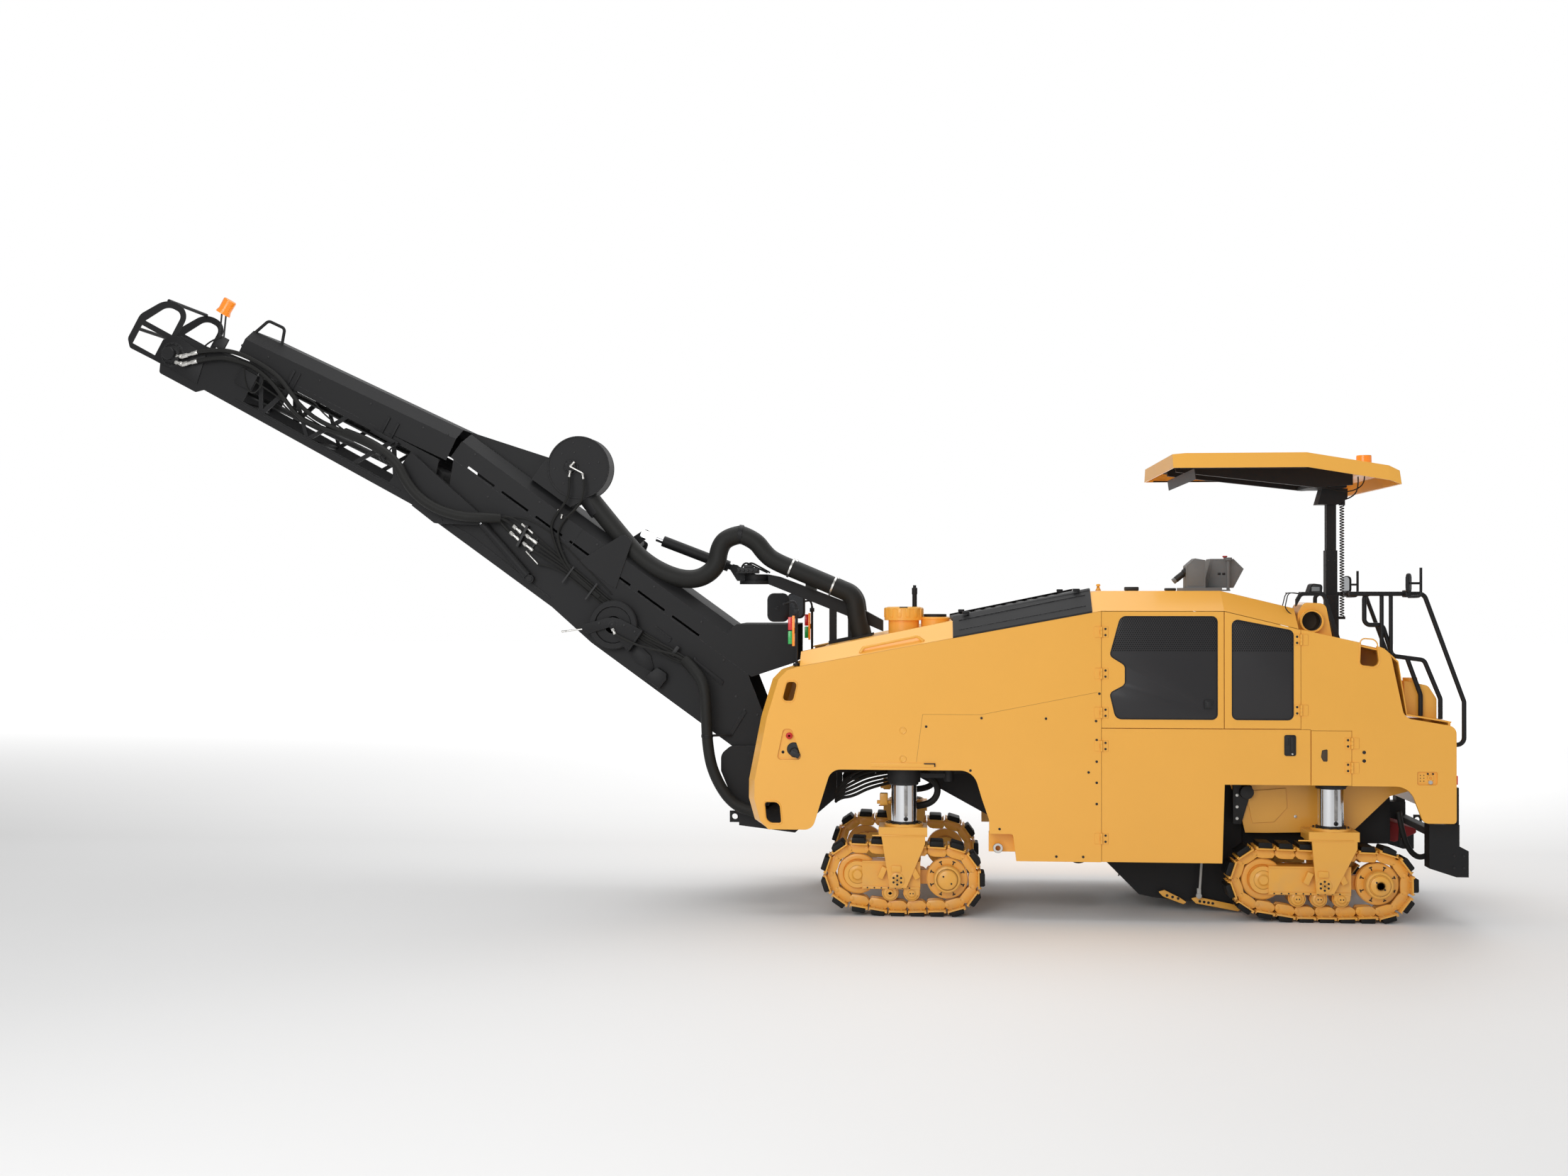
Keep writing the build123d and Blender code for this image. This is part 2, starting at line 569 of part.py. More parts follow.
with BuildPart() as operator_station:
    x0, x1 = STATION_X
    box(x0, x1, -BEAM_Y[1], BEAM_Y[1], FLOOR_Z - 20, FLOOR_Z)
    box(x0, x0 + WALL_T, -STATION_HALF, STATION_HALF, FLOOR_Z, deck_height(x0) + BEVEL_UP - 20)
    for _, side in SIDES:
        side_plate([(x0, FLOOR_Z), (1960, FLOOR_Z), (1900, deck_height(1815) - 10),
                    (1815, deck_height(1815)), (ROOF_REAR, deck_height(ROOF_REAR)),
                    (x0, deck_height(x0) + BEVEL_UP - 20)],
                   *across(side, STATION_HALF - WALL_T, STATION_HALF))
        # lid of the side locker, from the roof's end to the rear slope
        side_plate(LID_TOP + [(x - 6, z - WALL_T) for x, z in LID_TOP[::-1]],
                   *across(side, STATION_HALF, FRAME_Y))
        for x in (900, 1700):
            box(x - 30, x + 30, *across(side, BEAM_Y[0] + 10, BEAM_Y[1] - 10), BEAM_Z[1],
                FLOOR_Z - 20)
    box(2280, 2300, -FRAME_Y, FRAME_Y, 900, 1696)
save(operator_station, "operator_station")

PIPE = (1187, 2533)                  # air intake beside the station: x, z
PIPE_R = 95
PIPE_Y = -HALF + 80
with BuildPart() as air_intake:
    face = PIPE_Y + 60
    side_plate([(1070, lid_height(1070)), (1085, 2600, 40), (1130, 2690, 60), (1313, 2680, 60),
                (1370, lid_height(1370))], face, -STATION_HALF - 60)
    disc(*PIPE, PIPE_R, PIPE_Y, face)
    disc(*PIPE, PIPE_R - 14, PIPE_Y - 1, face + 200, mode=Mode.SUBTRACT)
save(air_intake, "air_intake")

# ---------------------------------------------------------------- console and controls
CONSOLE_Y = -300
with BuildPart() as console:
    top = roof_top(0)
    box(240, 560, CONSOLE_Y - 40, CONSOLE_Y + 460, top, top + 28)
    side_plate([(255, 2815), (420, 2815), (420, 3060), (330, 3075), (255, 3010)],
               CONSOLE_Y - 20, CONSOLE_Y + 180)
    side_plate([(430, 2815), (700, 2815), (790, 2985), (700, 3075), (500, 3075)],
               CONSOLE_Y + 190, CONSOLE_Y + 440)
    rod((150, CONSOLE_Y + 60, 2870), (262, CONSOLE_Y + 60, 2960), 26)
    rod((640, CONSOLE_Y + 120, top), (640, CONSOLE_Y + 120, 3060), 14)
    rod((640, CONSOLE_Y + 120, 3060), (640, CONSOLE_Y + 120, 3085), 34)
    box(540, 655, CONSOLE_Y + 90, CONSOLE_Y + 150, top, top + 12)
save(console, "console")

# ---------------------------------------------------------------- canopy on its mast
MAST_T = 8
MAST_FOOT_Z = FLOOR_Z
MAST_TOP_Z = 3150
SLIDER_FIT = 0.5
CANOPY_DEPTH = 130
CANOPY_TOP_INSET = 60
CANOPY_T = 10
CORD_X, CORD_TURN = 1673, 24         # coiled cord beside the mast
CORD_Z = (2560, 3555)

with BuildPart() as canopy_mast:
    box(MAST_X - MAST_W / 2, MAST_X + MAST_W / 2, -MAST_W / 2, MAST_W / 2, MAST_FOOT_Z,
        MAST_TOP_Z)
    box(MAST_X - MAST_W / 2 + MAST_T, MAST_X + MAST_W / 2 - MAST_T, MAST_T - MAST_W / 2,
        MAST_W / 2 - MAST_T, MAST_FOOT_Z + 20, MAST_TOP_Z + 1, mode=Mode.SUBTRACT)
    box(MAST_X - 150, MAST_X + 150, -150, 150, MAST_FOOT_Z, MAST_FOOT_Z + 20)
    for y in (-65, 65):
        box(MAST_X - 40, MAST_X + 40, y - 15, y + 15, MAST_FOOT_Z + 20, 2750)
    box(MAST_X + MAST_W / 2, CORD_X + CORD_TURN, -CORD_TURN, CORD_TURN, CORD_Z[0] - 25,
        CORD_Z[0])
save(canopy_mast, "canopy_mast")

CANOPY_ROWS = [                      # x, lower edge, height of the roof above it
    (CANOPY_X0, CANOPY_Z, CANOPY_DEPTH - 10),
    (CANOPY_X0 + 110, CANOPY_Z, CANOPY_DEPTH),
    (1170, CANOPY_Z, CANOPY_DEPTH),
    (CANOPY_X1 - 90, CANOPY_Z - 115, CANOPY_DEPTH),
    (CANOPY_X1, CANOPY_Z - 150, CANOPY_DEPTH - 10),
]


def canopy_section(x, z, depth, shell):
    """Rectangle with leaning sides: the canopy's outside, or its inside by a shell."""
    half = CANOPY_HALF - shell
    top = half - CANOPY_TOP_INSET
    low = z - (1 if shell else 0)
    with BuildSketch(Plane(origin=(x, 0, 0), x_dir=(0, 1, 0), z_dir=(1, 0, 0))) as section:
        with BuildLine():
            Polyline((-half, low), (-top, z + depth - shell), (top, z + depth - shell),
                     (half, low), close=True)
        make_face()
    return section.sketch


with BuildPart() as canopy:
    for shell, mode in ((0, Mode.ADD), (CANOPY_T, Mode.SUBTRACT)):
        rows = list(CANOPY_ROWS)
        if shell:
            rows[0] = (rows[0][0] + shell, *rows[0][1:])
            rows[-1] = (rows[-1][0] - shell, *rows[-1][1:])
        faces = [canopy_section(*row, shell) for row in rows]
        for first, second in zip(faces, faces[1:]):
            loft([first, second], ruled=True, mode=mode)
    rod((1790, -300, 3850), (1790, -300, 3876), 72)
    rod((1790, -300, 3876), (1790, -300, 3976), 62)
save(canopy, "canopy")

with BuildPart() as canopy_frame:
    inner = MAST_W / 2 - MAST_T - SLIDER_FIT
    box(MAST_X - inner, MAST_X + inner, -inner, inner, 2250, 3600)
    side_plate([(MAST_X - 130, 3560), (MAST_X - 90, 3700), (MAST_X + 130, 3700),
                (MAST_X + 130, 3620), (MAST_X + 60, 3560)], -90, 90)
    for y in (-260, 260):
        side_plate([(170, 3842), (170, 3936), (1180, 3936), (1700, 3840), (1700, 3720),
                    (1380, 3700)], y - 25, y + 25)
    for x in (240, 700, 1160):
        box(x - 25, x + 25, -CANOPY_HALF + 100, CANOPY_HALF - 100, 3900, 3936)
    box(1330, 1660, -235, 235, 3700, 3730)
    rod((CORD_X, 0, CORD_Z[1]), (CORD_X, 0, 3640), CORD_TURN + 4)
save(canopy_frame, "canopy_frame")

with BuildPart() as curly_cord:
    rod((CORD_X, 0, CORD_Z[0]), (CORD_X, 0, CORD_Z[1]), CORD_TURN)
save(curly_cord, "curly_cord")

# ---------------------------------------------------------------- rear rails, tank and steps
RAIL_Y = HALF - 130
RAIL_TOP_Z = 2762
LOOP_Y = HALF - 180
with BuildPart() as handrails:
    for _, side in SIDES:
        y = side * RAIL_Y
        bent_tube([(1500, y, RAIL_TOP_Z), (2115, y, RAIL_TOP_Z), (2440, y, 1860),
                   (2440, y, 1500), (2300, y, 1500)], 60, RAIL_D / 2)
        y = side * LOOP_Y
        bent_tube([(1800, y, RAIL_TOP_Z), (1640, y, RAIL_TOP_Z), (1640, y, 2500),
                   (1790, y, 2500), (1870, y, 2240), (2130, y, 2205), (2262, y, 1880),
                   (2262, y, lid_height(2262 - RAIL_D / 2))], 50, RAIL_D / 2)
        bent_tube([(1990, y, 2222), (2100, y, 1915), (2100, y, lid_height(2100 - RAIL_D / 2))],
                  100, RAIL_D / 2)
        for x in (1775, 1850):
            rod((x, side * (RAIL_Y - 20), lid_height(x - RAIL_D / 2)),
                (x, side * (RAIL_Y - 20), RAIL_TOP_Z), RAIL_D / 2 - 2)
    # arched guard over the air intake, with a work lamp
    guard_y = (PIPE_Y + 64, PIPE_Y + 110)
    guard = [(1395, lid_height(1395)), (1295, 2745, 30), (1120, 2745, 30), (1072, 2655),
             (1072, 2715), (1108, 2775, 30), (1310, 2775, 30), (1440, lid_height(1440))]
    side_plate(guard, *guard_y)
    side_plate([(1175, 2775), (1285, 2775), (1290, 2840, 25), (1200, 2850, 25)], guard_y[0],
               guard_y[0] + 140)
save(handrails, "handrails")

EYE_Y = 480
EYE_T = 30
EYE_BORE_R = 26


def lashing_eye(x_root, x_tip, y, z_low, z_high):
    """Bored plate that a lashing hook goes through."""
    middle = (z_low + z_high) / 2
    tip = (z_high - z_low) / 2
    box(*sorted((x_root, x_tip)), y - EYE_T / 2, y + EYE_T / 2, z_low, z_high)
    inward = tip if x_tip < x_root else -tip
    disc(x_tip + inward * 0.9, middle, EYE_BORE_R, y - EYE_T / 2 - 1, y + EYE_T / 2 + 1,
         mode=Mode.SUBTRACT)


with BuildPart() as rear_tank:
    side_plate([(1975, lid_height(1975)), (2240, lid_height(2240)), (2240, 1880, 40),
                (2170, 1990, 60), (1975, 2030)], 210 - HALF, -STATION_HALF - 40)
    y = (170 - HALF - STATION_HALF) / 2
    rod((2060, y, 2005), (2060, y, 2050), 60)
save(rear_tank, "rear_tank")

with BuildPart() as rear_step:
    for _, side in SIDES:
        y = side * (HALF - 280)
        box(2345, 2425, y - 60, y + 60, 700, 1130)
        side_plate([(2180, 820), (2425, 820), (2425, 640), (2500, 600), (2500, 380),
                    (2400, 380), (2180, 450)], y - 75, y + 75)
    box(2345, 2420, 340 - HALF, HALF - 340, 1020, 1090)
    box(2300, 2346, -200, 200, 950, 1100)
    box(2345, 2430, 340 - HALF, HALF - 340, 640, 700)
    for y in (-EYE_Y, EYE_Y):
        lashing_eye(2430, 2500, y, 640, 730)
save(rear_step, "rear_step")

# ---------------------------------------------------------------- nose, primary conveyor
BULKHEAD_X = -2960
PRIMARY_HEAD = (-3010, 1735)         # head pulley's axis
PRIMARY_TAIL = (-690, 470)
PRIMARY_R = 105
TURNTABLE_R = 200
TURNTABLE_Z = 860
SLEW_PIN_R = 70
CHEEK_Y = BEAM_Y[0] - 80             # inner face of the nose's cheeks

with BuildPart() as nose_frame:
    side_plate([(BULKHEAD_X, 1190), (BULKHEAD_X, 2220), (BULKHEAD_X + 30, 2230),
                (BULKHEAD_X + 30, 1190)], -FENDER_INNER, FENDER_INNER)
    box(BULKHEAD_X - 1, BULKHEAD_X + 31, -PRIMARY_HALF - 60, PRIMARY_HALF + 60, 1189, 2010,
        mode=Mode.SUBTRACT)
    for _, side in SIDES:
        # cheek from the beam down and forward to the slew bracket
        side_plate([(BEAM_X[0] + 100, 1420), (BEAM_X[0] - 20, 1190), (SLEW_X + 340, 840),
                    (SLEW_X - 100, 840), (SLEW_X - 100, 700), (SLEW_X + 400, 640),
                    (BEAM_X[0] + 100, 960)], *across(side, CHEEK_Y, CHEEK_Y + 40))
        box(BEAM_X[0] - 40, BEAM_X[0], *across(side, CHEEK_Y + 40, BEAM_Y[1]), 1200, 1400)
    box(SLEW_X - 100, SLEW_X + 300, -CHEEK_Y, CHEEK_Y, 700, 840)
    for y in (EYE_T - CHEEK_Y, CHEEK_Y - EYE_T):
        lashing_eye(SLEW_X - 100, SLEW_X - 190, y, 720, 820)
    rod((SLEW_X, 0, 840), (SLEW_X, 0, TURNTABLE_Z), TURNTABLE_R)
    rod((SLEW_X, 0, TURNTABLE_Z), (SLEW_X, 0, TURNTABLE_Z + 110), SLEW_PIN_R)
save(nose_frame, "nose_frame")

with BuildPart() as primary_conveyor:
    (hx, hz), (tx, tz) = PRIMARY_HEAD, PRIMARY_TAIL
    tilt = atan2(hz - tz, tx - hx)
    nx, nz = PRIMARY_R * sin(tilt), PRIMARY_R * cos(tilt)
    belt = [(hx + nx, hz + nz), (tx + nx, tz + nz), (tx - nx, tz - nz), (hx - nx, hz - nz)]
    side_plate(belt, -PRIMARY_HALF + 30, PRIMARY_HALF - 30)
    for x, z in (PRIMARY_HEAD, PRIMARY_TAIL):
        disc(x, z, PRIMARY_R, -PRIMARY_HALF + 30, PRIMARY_HALF - 30)
    wall = [(hx - 60, hz - 90), (tx, tz - 60), (tx, tz + 260), (hx - 20, hz + 190)]
    for _, side in SIDES:
        side_plate(wall, *across(side, PRIMARY_HALF - 30, PRIMARY_HALF))
        box(BULKHEAD_X + 30, BULKHEAD_X + 60, *across(side, PRIMARY_HALF, CHEEK_Y), 1560, 1640)
save(primary_conveyor, "primary_conveyor")

# ---------------------------------------------------------------- gooseneck and ducts
HEAD_Z = 2850                        # underside of the head that carries the lift cylinder
HEAD_T = 30
HEAD_PIN = 60                        # height of the head's slewing pin
GOOSE_HALF = 85
GOOSE_BACK = [(-3380, 2920), (-2650, 2640)]
GOOSE_FOOT_X = (-2925, -2680)
GOOSE_FOOT_Y = 110


def goose_top(x):
    """Height of the gooseneck's sloping back."""
    (x0, z0), (x1, z1) = GOOSE_BACK
    return z0 + (z1 - z0) * (x - x0) / (x1 - x0)


with BuildPart() as gooseneck:
    side_plate([(-3480, HEAD_Z), (-3480, 2940), *GOOSE_BACK,
                (-2430, 2520), (-2430, 2420), (-2680, 2530), (-3380, 2810)],
               -GOOSE_HALF, GOOSE_HALF)
    rod((SLEW_X, 0, HEAD_Z), (SLEW_X, 0, HEAD_Z + HEAD_T), 150)
    box(SLEW_X, -3400, -GOOSE_HALF, GOOSE_HALF, HEAD_Z, HEAD_Z + HEAD_T)
    rod((SLEW_X, 0, HEAD_Z + HEAD_T), (SLEW_X, 0, HEAD_Z + HEAD_T + HEAD_PIN), SLEW_PIN_R)
    for x in (-2890, -2720):
        for y in (-70, 70):
            box(x - 30, x + 30, y - 12, y + 12, roof_top(x) + 15, goose_top(x) - 20)
    x0, x1 = GOOSE_FOOT_X
    side_plate([(x0, roof_top(x0)), (x1, roof_top(x1)), (x1, roof_top(x1) + 30),
                (x0, roof_top(x0) + 30)], -GOOSE_FOOT_Y, GOOSE_FOOT_Y)
save(gooseneck, "gooseneck")

DUCT_R = 80
DUCT_Y = 200
with BuildPart() as suction_duct:
    for _, side in SIDES:
        y = side * DUCT_Y
        rod((-3274, y, 3000), (-2880, y, 2832), DUCT_R)
        # elbow of hose from the duct down to its flange on the roof
        foot_x = -2622
        bent_tube([(-2880, y, 2832), (-2690, y, 2751), (-2665, y, 2560),
                   (foot_x, y, roof_top(foot_x) + 4)], [150, 500], DUCT_R + 4)
        side_plate([(foot_x - 100, roof_top(foot_x - 100)), (foot_x + 100, roof_top(foot_x + 100)),
                    (foot_x + 100, roof_top(foot_x + 100) + 20),
                    (foot_x - 100, roof_top(foot_x - 100) + 20)],
                   *across(side, DUCT_Y - 86, DUCT_Y + 100))
    saddle = [(x, goose_top(x) + z) for x, z in ((-3130, 0), (-3050, 0), (-3050, 60), (-3130, 60))]
    side_plate(saddle, -DUCT_Y, DUCT_Y)
save(suction_duct, "suction_duct")

with BuildPart() as mirrors_and_lamps:
    for _, side in SIDES:
        y = side * (HALF - 80)
        rod((-3150, y, 2142), (-3150, y, 2700), 12)
        rod((-3150, y, 2690), (-3260, y, 2690), 12)
        with BuildSketch(Plane.YZ.offset(-3300)) as glass:
            with Locations((y, 2645)):
                RectangleRounded(190, 250, 50)
        extrude(glass.sketch, amount=50)
        box(-3215, -3150, y - 25, y + 25, 2330, 2560)
        box(BODY_REAR, BODY_REAR + 12, y - 60, y + 20, 1180, 1250)
        # rear mirror on a cranked post, clamped to the rail
        y = side * (RAIL_Y + 82)
        box(1940, 1985, *across(side, RAIL_Y - 30, RAIL_Y + 94), RAIL_TOP_Z - 30, RAIL_TOP_Z + 30)
        rod((1900, side * RAIL_Y, RAIL_TOP_Z), (2000, side * RAIL_Y, RAIL_TOP_Z),
            RAIL_D / 2 + COLUMN_FIT, mode=Mode.SUBTRACT)
        bent_tube([(1960, y, RAIL_TOP_Z - 25), (2067, y, RAIL_TOP_Z - 25), (2067, y, 2980)], 30, 12)
        rod((1990, y, 2850), (2067, y, 2850), 14)
        with BuildSketch(Plane.YZ.offset(1945)) as rear_glass:
            with Locations((y, 2850)):
                RectangleRounded(100, 165, 40)
        extrude(rear_glass.sketch, amount=50)
save(mirrors_and_lamps, "mirrors_and_lamps")

# ---------------------------------------------------------------- tracks
LINK_H = 84                          # from a wheel's rim to the shoe
PLATE_H = 12                         # shoe plate under its pad
RIM_R = 175
SPROCKET_R = 178
ROLLER_R = 66
ROLLER_Z = LINK_H + PLATE_H + SHOE_THICK + ROLLER_R - 12
LINK_Y = (34, 58)                    # the two link strips, from the track's centre plane
SHOE_PITCH = 168
YOKE_Y = (132, 157)
YOKE_Z = (688, 768)
TRACK_PIN_Z = 318
TRACK_ENDS = {                       # idler x, idler z, sprocket x, sprocket z, roller xs
    "front": (-2627, 350, -1859, 320, (-2347, -2163)),
    "rear": (792, 350, 1742, 320, (1073, 1250, 1434)),
}


def loop_line(key, reach):
    """Closed polyline round a track's wheels, reach outside their rims."""
    ix, iz, sx, sz, rollers = TRACK_ENDS[key]
    wheels = [(ix, iz, RIM_R), (sx, sz, SPROCKET_R)] + [(x, ROLLER_Z, ROLLER_R) for x in rollers]
    points = []
    for step in range(360):
        a = radians(step)
        n = (cos(a), sin(a))
        x, z, r = max(wheels, key=lambda w: w[0] * n[0] + w[1] * n[1] + w[2])
        points.append((x + (r + reach) * n[0], z + (r + reach) * n[1]))
    return points


def walk(points, count):
    """Equal steps along a closed polyline: position, tangent and outward normal."""
    spans = list(zip(points, points[1:] + points[:1]))
    lengths = [hypot(b[0] - a[0], b[1] - a[1]) for a, b in spans]
    stations = []
    for index in range(count):
        target = sum(lengths) * index / count
        for (a, b), length in zip(spans, lengths):
            if target <= length and length > 0:
                t = ((b[0] - a[0]) / length, (b[1] - a[1]) / length)
                stations.append(((a[0] + t[0] * target, a[1] + t[1] * target), t,
                                 (t[1], -t[0])))
                break
            target -= length
    return stations


def length_of(points):
    """Perimeter of a closed polyline."""
    return sum(hypot(b[0] - a[0], b[1] - a[1]) for a, b in zip(points, points[1:] + points[:1]))


def track_outlines(key):
    """Outer line with its pads, the shoe plates' inner line and the links' inner line."""
    plate_line = loop_line(key, LINK_H)
    count = round(length_of(plate_line) / SHOE_PITCH)
    outer = []
    plate = []
    links = []
    for (x, z), t, n in walk(plate_line, count):
        for along_t, up in ((-70, PLATE_H), (-62, PLATE_H + SHOE_THICK),
                            (62, PLATE_H + SHOE_THICK), (70, PLATE_H)):
            outer.append((x + t[0] * along_t + n[0] * up, z + t[1] * along_t + n[1] * up))
        for along_t in (-52, 52):
            plate.append((x + t[0] * along_t, z + t[1] * along_t))
    for (x, z), t, n in walk(loop_line(key, 3), 2 * count):
        links.append((x, z))
    return outer, plate, links


def track_y(side, reach):
    """Y stations of a strip centred on one track."""
    return side * TRACK_Y - reach, side * TRACK_Y + reach


for key, leg_x, label in ((k, x, n) for k, x in (("front", LEG_FRONT), ("rear", LEG_REAR))
                          for n in SIDES):
    name, side = label
    outer, plate, links = track_outlines(key)
    ix, iz, sx, sz, rollers = TRACK_ENDS[key]
    with BuildPart() as track_loop:
        side_plate(outer, *track_y(side, SHOE_WIDTH / 2))
        side_plate(plate, *track_y(side, SHOE_WIDTH / 2 + 1), mode=Mode.SUBTRACT)
        for strip in (-1, 1):
            y0, y1 = sorted((side * TRACK_Y + strip * LINK_Y[0],
                             side * TRACK_Y + strip * LINK_Y[1]))
            with BuildSketch(Plane.XZ.offset(-y1)) as band:
                with BuildLine():
                    Polyline(*plate, close=True)
                make_face()
                with BuildLine():
                    Polyline(*links, close=True)
                make_face(mode=Mode.SUBTRACT)
            extrude(band.sketch, amount=y1 - y0)
    save(track_loop, f"track_{key}_{name}")

    pin_x = leg_x - 55 if key == "front" else leg_x - 88
    with BuildPart() as track_frame:
        front_x, rear_x = ix + 40, sx - 230
        box(front_x, rear_x, *track_y(side, 100), 230, 470)
        for x, z, r, width in ((ix, iz, RIM_R, 30), (sx, sz, SPROCKET_R, 30)):
            disc(x, z, r, *track_y(side, width))
            disc(x, z, r - 60, *track_y(side, 90))
        disc(sx, sz, 116, *track_y(side, 122))
        for x in rollers:
            disc(x, ROLLER_Z, ROLLER_R, *track_y(side, 98))
        box(sx - 240, sx, *across(side, TRACK_Y - 90, TRACK_Y - 20), 260, 380)
        disc(pin_x, TRACK_PIN_Z, 62, *track_y(side, YOKE_Y[0] - 2))
        disc(pin_x, TRACK_PIN_Z, 40.1, *track_y(side, YOKE_Y[0]), mode=Mode.SUBTRACT)
    save(track_frame, f"track_frame_{key}_{name}")

    with BuildPart() as leg:
        rod((leg_x, side * TRACK_Y, YOKE_Z[1]), (leg_x, side * TRACK_Y, SLEEVE_Z[1] - 60),
            COLUMN_D / 2)
        rod((leg_x, side * TRACK_Y, YOKE_Z[1]), (leg_x, side * TRACK_Y, YOKE_Z[1] + 22), 165)
        box(leg_x - 215, leg_x + 200, *track_y(side, YOKE_Y[1]), *YOKE_Z)
        cheek = [(leg_x - 190, YOKE_Z[0]), (leg_x + 182, YOKE_Z[0]),
                 (leg_x + 182, YOKE_Z[0] - 60), (pin_x + 78, 250), (pin_x - 65, 250)]
        for strip in (-1, 1):
            y0, y1 = sorted((side * TRACK_Y + strip * YOKE_Y[0],
                             side * TRACK_Y + strip * YOKE_Y[1]))
            side_plate(cheek, y0, y1)
        disc(pin_x, TRACK_PIN_Z, 40, *track_y(side, YOKE_Y[1] + 6))
    save(leg, f"leg_{key}_{name}")

# ---------------------------------------------------------------- slewing yoke
FORK_Y = (CONVEYOR_HALF + 2 * SIDE_CLEAR, CONVEYOR_HALF + 2 * SIDE_CLEAR + 25)
LIFT_BASE = (SLEW_X - 190, 2991)            # pin of the lift cylinder on the slewing head
LIFT_EYE_UV = (1994, 1007)           # its eye on the conveyor
LIFT_EYE = lower(*LIFT_EYE_UV)
EYE_PIN_R = 22
CYL_LUG = (34, 52)
with BuildPart() as slew_yoke:
    rod((SLEW_X, 0, TURNTABLE_Z + 1), (SLEW_X, 0, TURNTABLE_Z + 61), TURNTABLE_R)
    box(SLEW_X - 160, SLEW_X + 160, -FORK_Y[1], FORK_Y[1], TURNTABLE_Z + 11, TURNTABLE_Z + 51)
    rod((SLEW_X, 0, TURNTABLE_Z), (SLEW_X, 0, TURNTABLE_Z + 62), SLEW_PIN_R + PIN_FIT,
        mode=Mode.SUBTRACT)
    for _, side in SIDES:
        side_plate([(SLEW_X - 140, TURNTABLE_Z + 11), (SLEW_X - 268, 1180),
                    (SLEW_X - 268, 1330, 90), (SLEW_X - 180, 1405, 90), (SLEW_X + 130, 1405, 100),
                    (SLEW_X + 170, 1280), (SLEW_X + 170, 980, 60),
                    (SLEW_X + 130, TURNTABLE_Z + 11)], *across(side, *FORK_Y))
        disc(SLEW_X, BASE_PIVOT_Z, PIN_D / 2, *across(side, CONVEYOR_HALF - 40, FORK_Y[1] + 12))
    # head on the gooseneck, carrying the lift cylinder
    base = HEAD_Z + HEAD_T + 1
    rod((SLEW_X, 0, base), (SLEW_X, 0, base + 60), 112)
    for _, side in SIDES:
        side_plate([(SLEW_X, base), (SLEW_X, base + 60), (LIFT_BASE[0] - 20, LIFT_BASE[1] + 45),
                    (LIFT_BASE[0] - 50, LIFT_BASE[1], 20), (LIFT_BASE[0] + 20, base)],
                   *across(side, *CYL_LUG))
    rod((SLEW_X, 0, base - 1), (SLEW_X, 0, base + 61), SLEW_PIN_R + PIN_FIT, mode=Mode.SUBTRACT)
    disc(*LIFT_BASE, PIN_D / 2, -CYL_LUG[1] - 8, CYL_LUG[1] + 8)
save(slew_yoke, "slew_yoke")

# ---------------------------------------------------------------- lower conveyor
FRAME_TOP = 560
COVER_SIDE = 740
COVER_TOP = 830
COVER_SHOULDER = 340
SEAM = (LOWER_LENGTH + 297, 656)                   # where the covers of the two conveyors meet
SEAM_GAP = 14


def seam_u(v, gap):
    """Lower conveyor's end, on the line from the fold pin to the covers' seam."""
    share = (v - FOLD_PIN_V) / (SEAM[1] - FOLD_PIN_V)
    return LOWER_LENGTH + share * (SEAM[0] - LOWER_LENGTH) - gap


LOWER_SIDE = [
    (-120, -45, 60), (-135, 190, 60), (440, FRAME_TOP), (seam_u(FRAME_TOP, 0), FRAME_TOP),
    (seam_u(120, 10), 120), (LOWER_LENGTH + 55, FOLD_PIN_V + 40, 30),
    (LOWER_LENGTH + 55, 5, 30), (2236, 5), (1750, -45),
]
STAY = (2040, 880)
TAIL = (20, 165, 105)                # pulley: u, v, radius
HEAD_IDLER = (LOWER_LENGTH - 110, 330, 70)
LOWER_TUBES = [(420, -5), (1300, -5), (2250, 35), (LOWER_LENGTH - 260, 40)]
FOLD_BASE = (LOWER_LENGTH - 970, 100)              # fold cylinder's pin on the lower conveyor
FOLD_PIN_R = 22
FOLD_CYL_Y = 490
FOLD_EYE_HALF = 16


def belt_loop(frame, first, second, half):
    """Endless belt and its end pulleys, as one closed body."""
    (u0, v0, r0), (u1, v1, r1) = first, second
    span = hypot(u1 - u0, v1 - v0)
    lean = atan2(v1 - v0, u1 - u0)
    turn = (r0 - r1) / span
    top = lean + pi / 2 - turn
    low = lean - pi / 2 + turn
    side_plate([frame(u0 + r0 * cos(top), v0 + r0 * sin(top)),
                frame(u1 + r1 * cos(top), v1 + r1 * sin(top)),
                frame(u1 + r1 * cos(low), v1 + r1 * sin(low)),
                frame(u0 + r0 * cos(low), v0 + r0 * sin(low))], -half, half)
    side_plate([frame(u0 + (r0 - BELT_T) * cos(top), v0 + (r0 - BELT_T) * sin(top)),
                frame(u1 + (r1 - BELT_T) * cos(top), v1 + (r1 - BELT_T) * sin(top)),
                frame(u1 + (r1 - BELT_T) * cos(low), v1 + (r1 - BELT_T) * sin(low)),
                frame(u0 + (r0 - BELT_T) * cos(low), v0 + (r0 - BELT_T) * sin(low))],
               -half - 1, half + 1, mode=Mode.SUBTRACT)
    for u, v, r in (first, second):
        disc(*frame(u, v), r, -half, half)
        disc(*frame(u, v), 30, -CONVEYOR_HALF + FRAME_T, CONVEYOR_HALF - FRAME_T)


